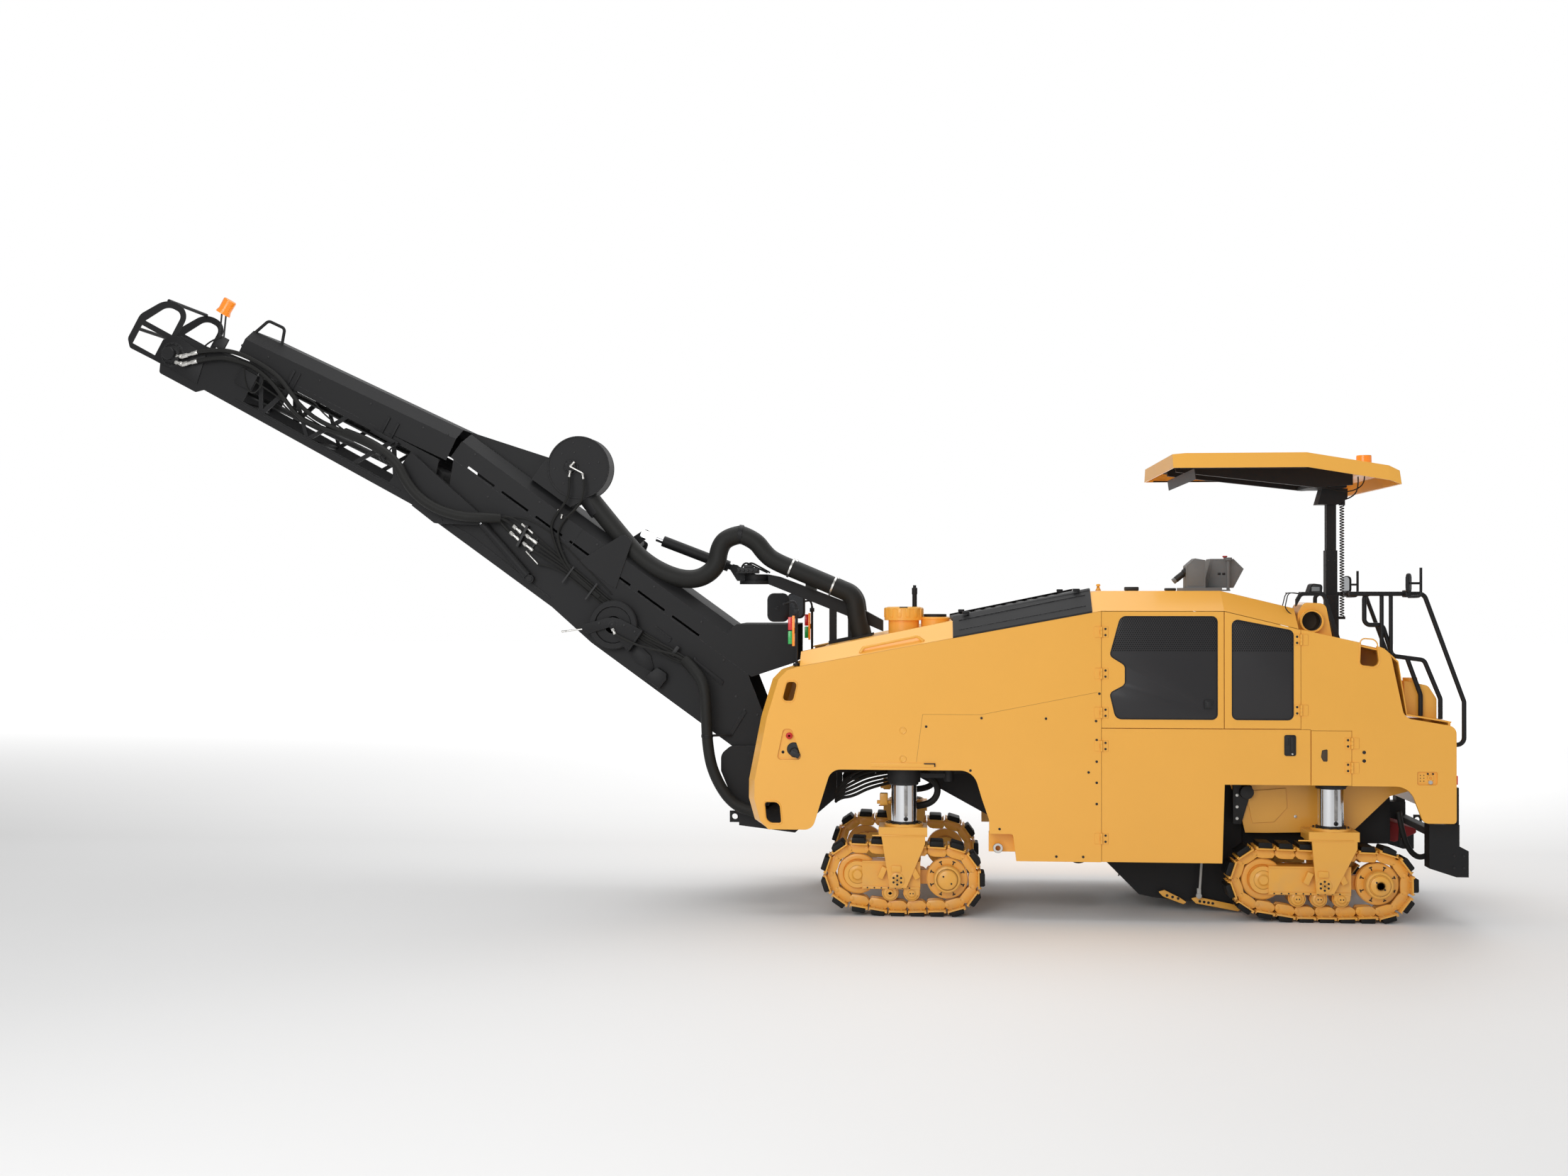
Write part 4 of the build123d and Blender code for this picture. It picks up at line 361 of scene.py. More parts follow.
class Finish:
    """A procedural surface, built node by node."""

    def __init__(self, name, metallic=0.0, coat=0.0, shine=0.5):
        self.material = bpy.data.materials.new(name)
        self.material.use_nodes = True
        self.tree = self.material.node_tree
        self.tree.nodes.clear()
        self.shader = self.tree.nodes.new("ShaderNodeBsdfPrincipled")
        self.shader.inputs["Metallic"].default_value = metallic
        self.shader.inputs["Coat Weight"].default_value = coat
        self.shader.inputs["Coat Roughness"].default_value = 0.12
        self.shader.inputs["Specular IOR Level"].default_value = shine
        end = self.tree.nodes.new("ShaderNodeOutputMaterial")
        self.tree.links.new(self.shader.outputs[0], end.inputs["Surface"])
        self.place = self.node("ShaderNodeTexCoord", {}, {}, "Object")

    def feed(self, socket, value):
        if isinstance(value, Value):
            self.tree.links.new(value.socket, socket)
        else:
            socket.default_value = value

    def node(self, kind, settings, values, output=0):
        """Adds a node: its settings first, then its sockets by name or number."""
        new = self.tree.nodes.new(kind)
        for key, setting in settings.items():
            if key == "stops":
                ramp = new.color_ramp.elements
                while len(ramp) < len(setting):
                    ramp.new(0.5)
                for element, (position, colour) in zip(ramp, setting):
                    element.position, element.color = position, colour
            else:
                setattr(new, key, setting)
        for key, value in values.items():
            self.feed(new.inputs[key], value)
        return Value(self, new.outputs[output])

    def maths(self, operation, first, second):
        return self.node("ShaderNodeMath", {"operation": operation}, {0: first, 1: second})

    def noise(self, scale, detail=3.0, vector=None, rough=0.55):
        return self.node("ShaderNodeTexNoise", {},
                         {"Vector": vector or self.place, "Scale": scale, "Detail": detail,
                          "Roughness": rough})

    def cells(self, scale, feature="F1", vector=None, output="Distance"):
        return self.node("ShaderNodeTexVoronoi", {"feature": feature},
                         {"Vector": vector or self.place, "Scale": scale}, output)

    def axis(self, name):
        return self.node("ShaderNodeSeparateXYZ", {}, {0: self.place}, name)

    def tint(self, factor, first, second):
        """Colour between two others by a factor."""
        return self.node("ShaderNodeMix", {"data_type": "RGBA"},
                         {0: factor, 6: first, 7: second}, 2)

    def spread(self, value, low, high):
        """The value stretched from low..high to 0..1."""
        return ((value - low) / (high - low)).clamped()

    def edge_highlight(self, radius):
        """1 on outer edges, 0 on flats, from how far a rounded normal leans; the paints use it to lay a painted
        highlight on edges.
        """
        soft = self.node("ShaderNodeBevel", {"samples": 4}, {"Radius": radius})
        true = self.node("ShaderNodeNewGeometry", {}, {}, "Normal")
        lean = self.node("ShaderNodeVectorMath", {"operation": "DOT_PRODUCT"},
                         {0: soft, 1: true}, "Value")
        return ((1.0 - lean) * 4.0).clamped()

    def relief(self, height, distance, strength=1.0, rounded=0.0):
        """Feeds the shader's normal from a height."""
        values = {"Height": height, "Distance": distance, "Strength": strength}
        if rounded:
            values["Normal"] = self.node("ShaderNodeBevel", {"samples": 4}, {"Radius": rounded})
        self.feed(self.shader.inputs["Normal"], self.node("ShaderNodeBump", {}, values))

    def set(self, **values):
        for key, value in values.items():
            self.feed(self.shader.inputs[key.replace("_", " ")], value)
        return self


def shade(colour, factor):
    """A colour made lighter or darker, as RGBA."""
    return (*[min(1.0, c * factor) for c in colour[:3]], 1.0)


def gloss_paint(name, colour, grime=0.25):
    """Sprayed paint: slight orange peel, faint tone changes, dust in the low parts and a painted highlight on the
    edges.
    """
    f = Finish(name, coat=0.35)
    tone = f.noise(1.3, 4.0)
    dust = f.spread(0.55 - f.axis("Z"), 0.0, 0.9) * f.spread(f.noise(9.0, 6.0), 0.35, 0.75) * grime
    base = f.tint(tone, shade(colour, 0.965), shade(colour, 1.03))
    base = f.tint(dust, base, (0.42, 0.34, 0.24, 1.0))
    # painted highlight: outer edges lightened to a paler copy of the paint, broken up by noise
    base = f.tint(f.edge_highlight(0.006) * f.spread(f.noise(35.0, 2.0), 0.5, 0.7) * 0.5, base,
                  shade(colour, 1.25))
    f.set(Base_Color=base, Roughness=0.34 + tone * 0.08 + dust * 0.5)
    f.relief(f.noise(420.0, 2.0), 0.0006, 0.12, 0.004)
    return f.material


def powder_coat(name, colour, rough=0.5):
    """Dark satin powder coat with a fine grain; its edges are painted lighter as a painted highlight and are a
    little smoother.
    """
    f = Finish(name, shine=0.28)
    tone = f.noise(2.2, 4.0)
    edge = f.edge_highlight(0.005) * f.spread(f.noise(60.0, 3.0), 0.42, 0.62)
    base = f.tint(tone, shade(colour, 0.85), shade(colour, 1.2))
    # painted highlight: edges lightened towards a mid grey
    base = f.tint(edge * 0.6, base, (0.16, 0.16, 0.165, 1.0))
    f.set(Base_Color=base, Roughness=rough + tone * 0.12 - edge * 0.1)
    f.relief(f.noise(900.0, 2.0), 0.0005, 0.25, 0.003)
    return f.material


def hose_rubber(name, colour):
    """Extruded rubber with a matt wrapped surface."""
    f = Finish(name, shine=0.28)
    tone = f.noise(14.0, 5.0)
    f.set(Base_Color=f.tint(tone, shade(colour, 0.75), shade(colour, 1.25)),
          Roughness=0.5 + tone * 0.15)
    f.relief(f.noise(260.0, 3.0) + f.cells(180.0) * 0.4, 0.0012, 0.3)
    return f.material


def belt_rubber(name, colour):
    """Conveyor belt with scuffed bands."""
    f = Finish(name)
    scuff = f.spread(f.noise(7.0, 8.0, rough=0.7), 0.5, 0.8)
    f.set(Base_Color=f.tint(scuff, shade(colour, 0.8), (0.10, 0.10, 0.10, 1.0)),
          Roughness=0.6 + scuff * 0.25)
    f.relief(f.noise(90.0, 6.0), 0.003, 0.4)
    return f.material


def worn_steel(name, colour, rough=0.35):
    """Bare steel with scratches and darker patches."""
    f = Finish(name, metallic=0.9)
    patch = f.spread(f.noise(12.0, 7.0, rough=0.65), 0.35, 0.7)
    fine = f.noise(240.0, 2.0)
    f.set(Base_Color=f.tint(patch, shade(colour, 0.55), shade(colour, 1.1)),
          Roughness=rough + patch * 0.2 + fine * 0.08)
    f.relief(fine, 0.0008, 0.3, 0.002)
    return f.material


def bright_metal(name, colour, rough):
    """Ground or plated metal with a faint lay."""
    f = Finish(name, metallic=1.0)
    lay = f.noise(160.0, 2.0)
    f.set(Base_Color=f.tint(lay, shade(colour, 0.9), shade(colour, 1.05)),
          Roughness=rough + lay * 0.08)
    f.relief(lay, 0.0003, 0.15)
    return f.material


def lens(name, colour, glow):
    """Coloured clear plastic with a ribbed inside."""
    f = Finish(name, coat=0.6)
    rib = f.node("ShaderNodeTexWave", {"bands_direction": "Z"},
                 {"Vector": f.place, "Scale": 28.0, "Distortion": 0.0})
    f.set(Base_Color=f.tint(rib, shade(colour, 0.8), shade(colour, 1.15)),
          Roughness=0.18 + rib * 0.1, Emission_Color=f.tint(rib, shade(colour, 0.7), colour))
    f.shader.inputs["Emission Strength"].default_value = glow
    f.relief(rib, 0.001, 0.4)
    return f.material


def moulded(name, colour, rough=0.55):
    """Moulded plastic with a leather-like grain."""
    f = Finish(name)
    grain = f.cells(700.0)
    tone = f.noise(6.0, 3.0)
    f.set(Base_Color=f.tint(tone, shade(colour, 0.9), shade(colour, 1.1)),
          Roughness=rough + grain * 0.15)
    f.relief(grain, 0.0006, 0.3, 0.002)
    return f.material


def pierced_sheet(name, colour, split):
    """Dark window: a sheet pierced with small holes above a height, plain below it; the holes are painted
    near-black as painted shade of the space behind.
    """
    f = Finish(name, coat=0.1, shine=0.3)
    row = f.axis("Z") / 0.0165
    line = f.node("ShaderNodeMath", {"operation": "FLOOR"}, {0: row})
    shift = f.node("ShaderNodeMath", {"operation": "PINGPONG"}, {0: line * 0.5, 1: 0.5})
    across = f.node("ShaderNodeMath", {"operation": "FRACT"}, {0: f.axis("X") / 0.019 + shift})
    up = f.node("ShaderNodeMath", {"operation": "FRACT"}, {0: row})
    far = f.node("ShaderNodeMath", {"operation": "SQRT"},
                 {0: (across - 0.5) * (across - 0.5) * 1.33 + (up - 0.5) * (up - 0.5)})
    hole = f.spread(0.36 - far, 0.0, 0.06) * (f.axis("Z") > split)
    # holes painted near-black: painted shade of the dark space behind the sheet
    f.set(Base_Color=f.tint(hole, colour, (0.004, 0.004, 0.004, 1.0)),
          Roughness=0.38 + hole * 0.5)
    f.relief(1.0 - hole, 0.002, 0.5)
    return f.material


def cast_iron(name, colour):
    f = Finish(name, metallic=0.3)
    skin = f.noise(70.0, 8.0, rough=0.7)
    f.set(Base_Color=f.tint(skin, shade(colour, 0.6), shade(colour, 1.2)),
          Roughness=0.6 + skin * 0.2)
    f.relief(skin, 0.002, 0.5, 0.004)
    return f.material


def floor_finish(name, colour):
    f = Finish(name)
    # the floor glows more the farther it lies along Y: painted light that lifts the far floor to white
    far = f.spread(f.axis("Y"), 3.0, 22.0)
    f.set(Base_Color=f.tint(f.noise(0.6, 2.0), shade(colour, 0.985), shade(colour, 1.0)),
          Roughness=0.7, Emission_Color=f.tint(far, (0.0, 0.0, 0.0, 1.0), (1.0, 1.0, 1.0, 1.0)))
    f.shader.inputs["Emission Strength"].default_value = 0.8
    return f.material


FINISHES = {}


class PaintSettings(bpy.types.PropertyGroup):
    """Colours of the machine's finishes."""

    body: FloatVectorProperty(name="Body", description="Gloss paint of the panels",
                              subtype="COLOR", size=4, min=0, max=1,
                              default=(0.965, 0.475, 0.065, 1.0))
    dark: FloatVectorProperty(name="Dark", description="Powder coat of the conveyor",
                              subtype="COLOR", size=4, min=0, max=1,
                              default=(0.013, 0.013, 0.014, 1.0))
    rails: FloatVectorProperty(name="Rails", description="Powder coat of the rails",
                               subtype="COLOR", size=4, min=0, max=1,
                               default=(0.011, 0.011, 0.012, 1.0))
    hoses: FloatVectorProperty(name="Hoses", description="Rubber of the hoses",
                               subtype="COLOR", size=4, min=0, max=1,
                               default=(0.015, 0.015, 0.014, 1.0))
    amber: FloatVectorProperty(name="Amber", description="Lens of the beacons",
                               subtype="COLOR", size=4, min=0, max=1,
                               default=(1.0, 0.26, 0.01, 1.0))
    floor: FloatVectorProperty(name="Floor", description="Studio floor", subtype="COLOR",
                               size=4, min=0, max=1, default=(0.86, 0.86, 0.86, 1.0))


class TrackSettings(bpy.types.PropertyGroup):
    """Sizes of a track's shoes."""

    pitch: FloatProperty(name="Pitch", description="Spacing of the shoes", unit="LENGTH",
                         default=0.168)
    width: FloatProperty(name="Width", description="Width of a shoe", unit="LENGTH",
                         default=0.254)


class StageSettings(bpy.types.PropertyGroup):
    """Camera and lights."""

    lens: FloatProperty(name="Lens", description="Focal length in millimetres", default=38.73)
    key: FloatProperty(name="Key", description="Strength of the large light above",
                       default=1150.0)
    fill: FloatProperty(name="Fill", description="Strength of the light in front",
                        default=850.0)
    world: FloatProperty(name="World", description="Strength of the pale surroundings",
                         default=0.45)


class PLANER_OT_finishes(bpy.types.Operator):
    """Mix every finish and paint the frame's own parts."""

    bl_idname = "planer.finishes"
    bl_label = "Finishes"

    def execute(self, context):
        paint = context.scene.planer_paint
        body, dark = tuple(paint.body), tuple(paint.dark)
        FINISHES.update({
            "body_paint": gloss_paint("body_paint", body),
            "gear_paint": gloss_paint("gear_paint", shade(body, 0.94), 0.6),
            "dark_paint": powder_coat("dark_paint", dark),
            "rail_paint": powder_coat("rail_paint", tuple(paint.rails), 0.42),
            "hose": hose_rubber("hose_rubber", tuple(paint.hoses)),
            "belt": belt_rubber("belt_rubber", (0.02, 0.02, 0.02, 1.0)),
            "pad": hose_rubber("pad_rubber", (0.008, 0.008, 0.008, 1.0)),
            "steel": worn_steel("worn_steel", (0.42, 0.41, 0.40, 1.0)),
            "chrome": bright_metal("ground_chrome", (0.75, 0.76, 0.78, 1.0), 0.1),
            "zinc": bright_metal("zinc_plate", (0.72, 0.71, 0.68, 1.0), 0.26),
            "amber": lens("amber_lens", tuple(paint.amber), 0.35),
            "red": lens("red_lens", (0.65, 0.01, 0.012, 1.0), 0.1),
            "green": lens("green_lens", (0.02, 0.42, 0.08, 1.0), 0.1),
            "grey": moulded("grey_plastic", (0.19, 0.20, 0.205, 1.0)),
            "black": moulded("black_plastic", (0.010, 0.010, 0.011, 1.0), 0.42),
            "window": pierced_sheet("pierced_sheet", (0.028, 0.027, 0.029, 1.0), 2.273),
            # seam strips: the body yellow darkened, painted shade of the gaps between panels
            "seam": gloss_paint("seam_painted_shade", shade(body, 0.45)),
            # dark brown: painted shade of recesses
            "pocket": moulded("pocket_painted_shade", (0.070, 0.045, 0.025, 1.0)),
            "button": moulded("red_plastic", (0.60, 0.016, 0.012, 1.0), 0.35),
            "maroon": powder_coat("maroon_paint", (0.26, 0.018, 0.020, 1.0), 0.45),
            "pale": moulded("pale_plastic", (0.50, 0.50, 0.48, 1.0), 0.4),
            "glass": bright_metal("mirror_glass", (0.80, 0.82, 0.84, 1.0), 0.04),
            "iron": cast_iron("engine_iron", (0.08, 0.08, 0.085, 1.0)),
            "floor": floor_finish("studio_floor", tuple(paint.floor)),
        })
        by_slot = {"body_paint": "body_paint", "gear_paint": "gear_paint",
                   "dark_paint": "dark_paint", "rail_paint": "rail_paint",
                   "canopy_shell": "body_paint", "belt_rubber": "belt",
                   "hose_rubber": "hose", "machine_steel": "steel", "engine_iron": "iron",
                   "track_steel": "gear_paint", "amber_lens": "amber",
                   "door_glazing": "body_paint", "chrome_rod": "chrome",
                   "console_plastic": "grey"}
        for part in frame["record"]["subparts"]:
            node = NODES[part["node"]]
            finish = FINISHES[by_slot[part["material_slot"]]]
            if not node.material_slots:
                node.data.materials.append(finish)
            for slot in node.material_slots:
                slot.material = finish
        return {"FINISHED"}


# ------------------------------------------------------------------ tracks
def wheel_rows(end):
    (ix, iz), (sx, sz), rollers = ENDS[end][:3]
    return [(ix, iz, RIM), (sx, sz, SPROCKET)] + [(x, ROLLER_Z, ROLLER) for x in rollers]


def loop_line(end, reach):
    """Closed line round a track's wheels, reach outside their rims."""
    line = []
    for step in range(360):
        n = (cos(radians(step)), sin(radians(step)))
        x, z, r = max(wheel_rows(end), key=lambda w: w[0] * n[0] + w[1] * n[1] + w[2])
        line.append((x + (r + reach) * n[0], z + (r + reach) * n[1]))
    return line


def stations(line, pitch, phase=0.0):
    """Places along a closed line, about a pitch apart: x, z and the tangent's angle."""
    spans = list(zip(line, line[1:] + line[:1]))
    lengths = [hypot(b[0] - a[0], b[1] - a[1]) for a, b in spans]
    count = round(sum(lengths) / pitch)
    rows = []
    for index in range(count):
        rest_of = sum(lengths) * ((index + phase) / count % 1.0)
        for (a, b), length in zip(spans, lengths):
            if rest_of <= length and length > 0:
                t = ((b[0] - a[0]) / length, (b[1] - a[1]) / length)
                rows.append((a[0] + t[0] * rest_of, a[1] + t[1] * rest_of, atan2(t[1], t[0])))
                break
            rest_of -= length
    return rows


def track_matrix(x, y, z, angle):
    """Local +X along the track and local +Z into its loop."""
    return Matrix.Translation((x, y, z)) @ Matrix.Rotation(-angle, 4, "Y")


class PLANER_OT_tracks(bpy.types.Operator):
    """Build the four tracks shoe by shoe."""

    bl_idname = "planer.tracks"
    bl_label = "Tracks"

    def execute(self, context):
        size = context.scene.planer_track
        half = size.width / 2
        # Local +Z points into the loop here, so the pad hangs below its plate.
        shoe = block("shoe", (-0.078, -half, -PLATE_H), (0.078, half, 0), 0.002)
        lip = block("lip", (0.060, -half + 0.004, -0.024), (0.080, half - 0.004, -PLATE_H), 0.003)
        teeth = []
        for index in range(3):
            y = (index - 1) * half * 0.62
            tooth = plate("tooth", ((-0.079, -PLATE_H + 0.001), (-0.079, -PLATE_H - 0.020),
                                    (-0.060, -PLATE_H + 0.001)), y - 0.024, y + 0.024, 0.0015)
            teeth.append(tooth)
        link = plate("link", ((-0.084, 0.060), (-0.070, 0.078), (-0.030, 0.080), (0.020, 0.080),
                              (0.052, 0.074), (0.078, 0.050), (0.080, 0.022), (0.062, 0.0),
                              (-0.062, 0.0), (-0.084, 0.020)), -0.014, 0.014, 0.004)
        pin = bar("pin", (-0.070, -0.062, 0.042), (-0.070, 0.062, 0.042), 0.019, 16, 0.002)
        nut_rows = [(x, y, 0.0) for x in (-0.034, 0.034) for y in (-0.092, -0.062, 0.062, 0.092)]
        nuts = bolts("shoe_nut", nut_rows, (0, 0, 1), 0.009)
        rails = copies(link, "links", [Matrix.Translation((0, y, 0)) for y in (-0.046, 0.046)])
        metal = joined("shoe_metal", [shoe, lip, *teeth, rails, pin, nuts])
        pad = plate("pad", ((-0.058, -PLATE_H), (-0.056, -PLATE_H - PAD_H + 0.008),
                            (-0.048, -PLATE_H - PAD_H), (0.050, -PLATE_H - PAD_H),
                            (0.058, -PLATE_H - PAD_H + 0.008), (0.059, -PLATE_H)),
                    -half + 0.014, half - 0.014, 0.004)
        for end in ENDS:
            for name, side in SIDES:
                places = [track_matrix(x, side * TRACK_Y, z, a)
                          for x, z, a in stations(loop_line(end, LINK_H), size.pitch)]
                body = f"corner_{end}_{name}"
                steel = dress(copies(metal, f"shoes_{end}_{name}", places, keep=True), body,
                              "gear_paint")
                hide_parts(f"track_{end}_{name}")
                dress(copies(pad, f"pads_{end}_{name}", places, keep=True), body, "pad")
        for master in (metal, pad):
            bpy.data.objects.remove(master)
        return {"FINISHED"}


# ------------------------------------------------------------------ side panels and doors
WINDOWS = {                                        # x, z, corner radius
    "engine_door_front": (
        (-0.446, 1.708, 0.060), (0.393, 1.708, 0.045), (0.393, 2.571, 0.045),
        (-0.407, 2.571, 0.060), (-0.497, 2.240, 0.040), (-0.369, 2.160, 0.050),
        (-0.369, 1.995, 0.050), (-0.497, 1.925, 0.040)),
    "engine_door_rear": (
        (0.515, 1.708, 0.045), (1.016, 1.708, 0.045), (1.016, 2.452, 0.045),
        (0.515, 2.551, 0.045)),
}
HINGE_BOLTS = {                                    # x of the bolts, heights of the hinges
    "engine_door_front": (-0.534, (1.760, 2.090, 2.440)),
    "engine_door_rear": (1.046, (1.790, 2.378)),
    "service_door": (-0.534, (0.700, 1.480)),
    "small_door": (1.460, (1.313, 1.517)),
}
PANEL_BOLTS = (
    (-0.584, 1.920), (-0.612, 1.689), (-0.607, 1.529), (-0.607, 1.347), (-0.674, 1.256),
    (-0.607, 1.169), (-0.607, 0.990), (-1.030, 1.707), (-0.944, 0.543), (-0.720, 0.543),
    (-1.572, 1.708), (-2.039, 1.633), (-1.665, 1.263), (-1.420, 0.770))
OPENINGS = (
    ((-3.268, 1.846, 0.030), (-3.175, 1.846, 0.030), (-3.138, 2.008, 0.030),
     (-3.225, 2.008, 0.030)),
    ((-3.400, 0.800, 0.060), (-3.275, 0.800, 0.020), (-3.290, 0.978, 0.050),
     (-3.418, 0.978, 0.020)),
    ((1.560, 2.170, 0.030), (1.720, 2.150, 0.050), (1.690, 2.370, 0.050),
     (1.570, 2.380, 0.030)),
)
RECESS_DEEP = 0.018


def grown(rows, out):
    """Rounded outline's rows moved away from their middle."""
    middle = Vector((sum(r[0] for r in rows), sum(r[1] for r in rows))) / len(rows)
    wide = []
    for x, z, radius in rows:
        away = Vector((x, z)) - middle
        wide.append((*(middle + away * (1 + out / away.length)), radius + out * 0.6))
    return rounded(wide)


class PLANER_OT_panels(bpy.types.Operator):
    """Fit the doors' windows, latches and hinge bolts and the side panels' fittings."""

    bl_idname = "planer.panels"
    bl_label = "Panels and doors"

    def doors(self, name, side):
        face = side * HALF
        for door, rows in WINDOWS.items():
            pane = plate(f"pane_{door}_{name}", rounded(rows), face - side * 0.0115,
                         face - side * 0.0035, 0.0012)
            dress(pane, f"{door}_{name}", "window")
            seal = bead(f"seal_{door}_{name}", rounded(rows), face - side * 0.001, 0.0045)
            dress(seal, f"{door}_{name}", "black")
        for door, (x, heights) in HINGE_BOLTS.items():
            places = [(x, face + side * 0.006, z + up) for z in heights for up in (-0.026, 0.026)]
            dress(bolts(f"hinge_bolts_{door}_{name}", places, (0, side, 0), 0.0085, 14),
                  f"{door}_{name}", "black")
        # paddle latch in its cup
        x, z = 0.323, 1.834
        cup = plate("cup", oblong(x, z, 0.076, 0.080, 0.014), face - side * 0.0035,
                    face + side * 0.003, 0.0015)
        rim = bead("rim", oblong(x, z, 0.070, 0.074, 0.012), face + side * 0.003, 0.003)
        paddle = plate("paddle", rounded(((x - 0.024, z - 0.026, 0.010), (x + 0.012, z - 0.026, 0.012),
                                          (x + 0.028, z, 0.012), (x + 0.012, z + 0.026, 0.012),
                                          (x - 0.024, z + 0.026, 0.010))),
                       face + side * 0.002, face + side * 0.011, 0.003)
        dress(joined(f"paddle_latch_{name}", [cup, rim, paddle]), f"engine_door_front_{name}",
              "black")
        # drop handle of the service door
        x, z = 0.9895, 1.495
        frame_plate = plate("handle_plate", oblong(x, z, 0.097, 0.176, 0.018),
                            face - side * 0.001, face + side * 0.005, 0.0015)
        edge = bead("handle_edge", oblong(x, z, 0.089, 0.168, 0.016), face + side * 0.005, 0.0035)
        lever = plate("lever", oblong(x + 0.016, z + 0.010, 0.026, 0.126, 0.006),
                      face + side * 0.004, face + side * 0.015, 0.003)
        stop = plate("stop", oblong(x - 0.022, z + 0.030, 0.020, 0.060, 0.004),
                     face + side * 0.004, face + side * 0.009, 0.002)
        dress(joined(f"service_handle_{name}", [frame_plate, edge, lever, stop]),
              f"service_door_{name}", "black")
        lock = bar("lock", (x + 0.016, face + side * 0.014, z - 0.070),
                   (x + 0.016, face + side * 0.018, z - 0.070), 0.0075, 20, 0.001)
        dress(joined(f"service_lock_{name}", [lock]), f"service_door_{name}", "zinc")
        # door pull: a flat dark brown plate and lip, painted shade of the pull's recess
        pull = plate("pull", rounded(((1.262, 1.366, 0.006), (1.292, 1.366, 0.006),
                                      (1.292, 1.463, 0.006), (1.252, 1.455, 0.010),
                                      (1.244, 1.400, 0.010))),
                     face - side * 0.001, face + side * 0.002, 0.001)
        lip = bead("lip", rounded(((1.262, 1.366, 0.006), (1.292, 1.366, 0.006),
                                   (1.292, 1.463, 0.006), (1.252, 1.455, 0.010),
                                   (1.244, 1.400, 0.010))), face + side * 0.001, 0.003)
        dress(joined(f"door_pull_{name}", [pull, lip]), f"small_door_{name}", "pocket")

    def fittings(self, name, side):
        face = side * HALF
        dress(bolts(f"panel_bolts_{name}", [(x, face, z) for x, z in PANEL_BOLTS],
                    (0, side, 0), 0.0095, 14), "machine", "black")
        plugs = [bar("plug", (1.592, face, z), (1.592, face + side * 0.004, z), 0.0145, 24, 0.001)
                 for z in (1.442, 1.371)]
        dress(joined(f"plugs_{name}", plugs), "machine", "black")
        caps = [turned("cap", ((0.0, 0.003), (0.012, 0.004), (0.020, 0.002), (0.026, 0.004),
                               (0.030, 0.0)), (-2.236, face, z), (0, side, 0), 28)
                for z in (1.598, 1.356)]
        dress(joined(f"blank_caps_{name}", caps), "machine", "body_paint")
        # the seam strips carry painted shade of the gaps between panels
        seam = strip(f"panel_seams_{name}", ((-2.122, 1.330), (-2.069, 1.737), (-1.575, 1.737),
                                             (-0.600, 1.932)), 0.0026, face, face + side * 0.0004)
        dress(seam, "machine", "seam")
        rims = [bead("rim", grown(rows, 0.014), face, 0.0055) for rows in OPENINGS]
        lower_flange = plate("flange", oblong(-2.236, 1.305, 0.547, 0.036, 0.004), face,
                             face + side * 0.006, 0.002)
        dress(joined(f"opening_rims_{name}", rims + [lower_flange]), "machine", "body_paint")
        latch = plate("bar", oblong(-2.010, 1.318, 0.096, 0.010, 0.003), face + side * 0.006,
                      face + side * 0.014, 0.002)
        hook = plate("hook", oblong(-1.966, 1.308, 0.010, 0.030, 0.003), face + side * 0.006,
                     face + side * 0.014, 0.002)
        dress(joined(f"flange_latch_{name}", [latch, hook]), "machine", "black")
        # controls in the fender's recess
        floor = face - side * RECESS_DEEP
        mushroom = turned(f"stop_button_{name}", ((0.0, 0.030), (0.018, 0.029), (0.028, 0.024),
                                                  (0.029, 0.018), (0.016, 0.014), (0.016, 0.0)),
                          (-3.207, floor, 1.547), (0, side, 0), 32)
        dress(mushroom, "machine", "button")
        socket = turned("socket", ((0.0, 0.008), (0.052, 0.008), (0.058, 0.004), (0.058, 0.0)),
                        (-3.170, floor, 1.432), (0, side, 0), 36)
        knob = turned("knob", ((0.0, 0.036), (0.030, 0.036), (0.036, 0.030), (0.038, 0.006),
                               (0.044, 0.006)), (-3.162, floor, 1.405), (0, side, 0), 24)
        grip = plate("grip", rounded(((-3.205, 1.392, 0.008), (-3.132, 1.352, 0.008),
                                      (-3.108, 1.392, 0.008), (-3.186, 1.428, 0.008))),
                     floor + side * 0.012, floor + side * 0.040, 0.004)
        keyhole = turned("keyhole", ((0.0, 0.004), (0.009, 0.004), (0.013, 0.002), (0.013, 0.0)),
                         (-3.262, floor, 1.406), (0, side, 0), 20)
        dress(joined(f"fender_controls_{name}", [socket, knob, grip, keyhole]), "machine",
              "black")
        # sockets in the rear recess
        # the sockets' holes are black discs: painted shade of the holes
        holes = [bar("hole", (2.052 + 0.028 * column, floor, 1.205 + 0.024 * row),
                     (2.052 + 0.028 * column, floor + side * 0.002, 1.205 + 0.024 * row), 0.004, 12)
                 for column in range(2) for row in range(3)]
        screws = [bar("screw", (x, floor, 1.266), (x, floor + side * 0.004, 1.266), 0.008, 16)
                  for x in (2.112, 2.154)]
        ring = turned("ring", ((0.012, 0.0), (0.012, 0.010), (0.024, 0.010), (0.027, 0.0)),
                      (2.133, floor, 1.232), (0, side, 0), 28)
        dress(joined(f"socket_screws_{name}", holes + screws), "machine", "black")
        dress(joined(f"socket_ring_{name}", [ring]), "machine", "body_paint")
        stopper = turned(f"socket_plug_{name}", ((0.0, 0.014), (0.013, 0.014), (0.018, 0.008),
                                                 (0.018, 0.0)), (2.133, floor, 1.196),
                         (0, side, 0), 24)
        dress(stopper, "machine", "pale")
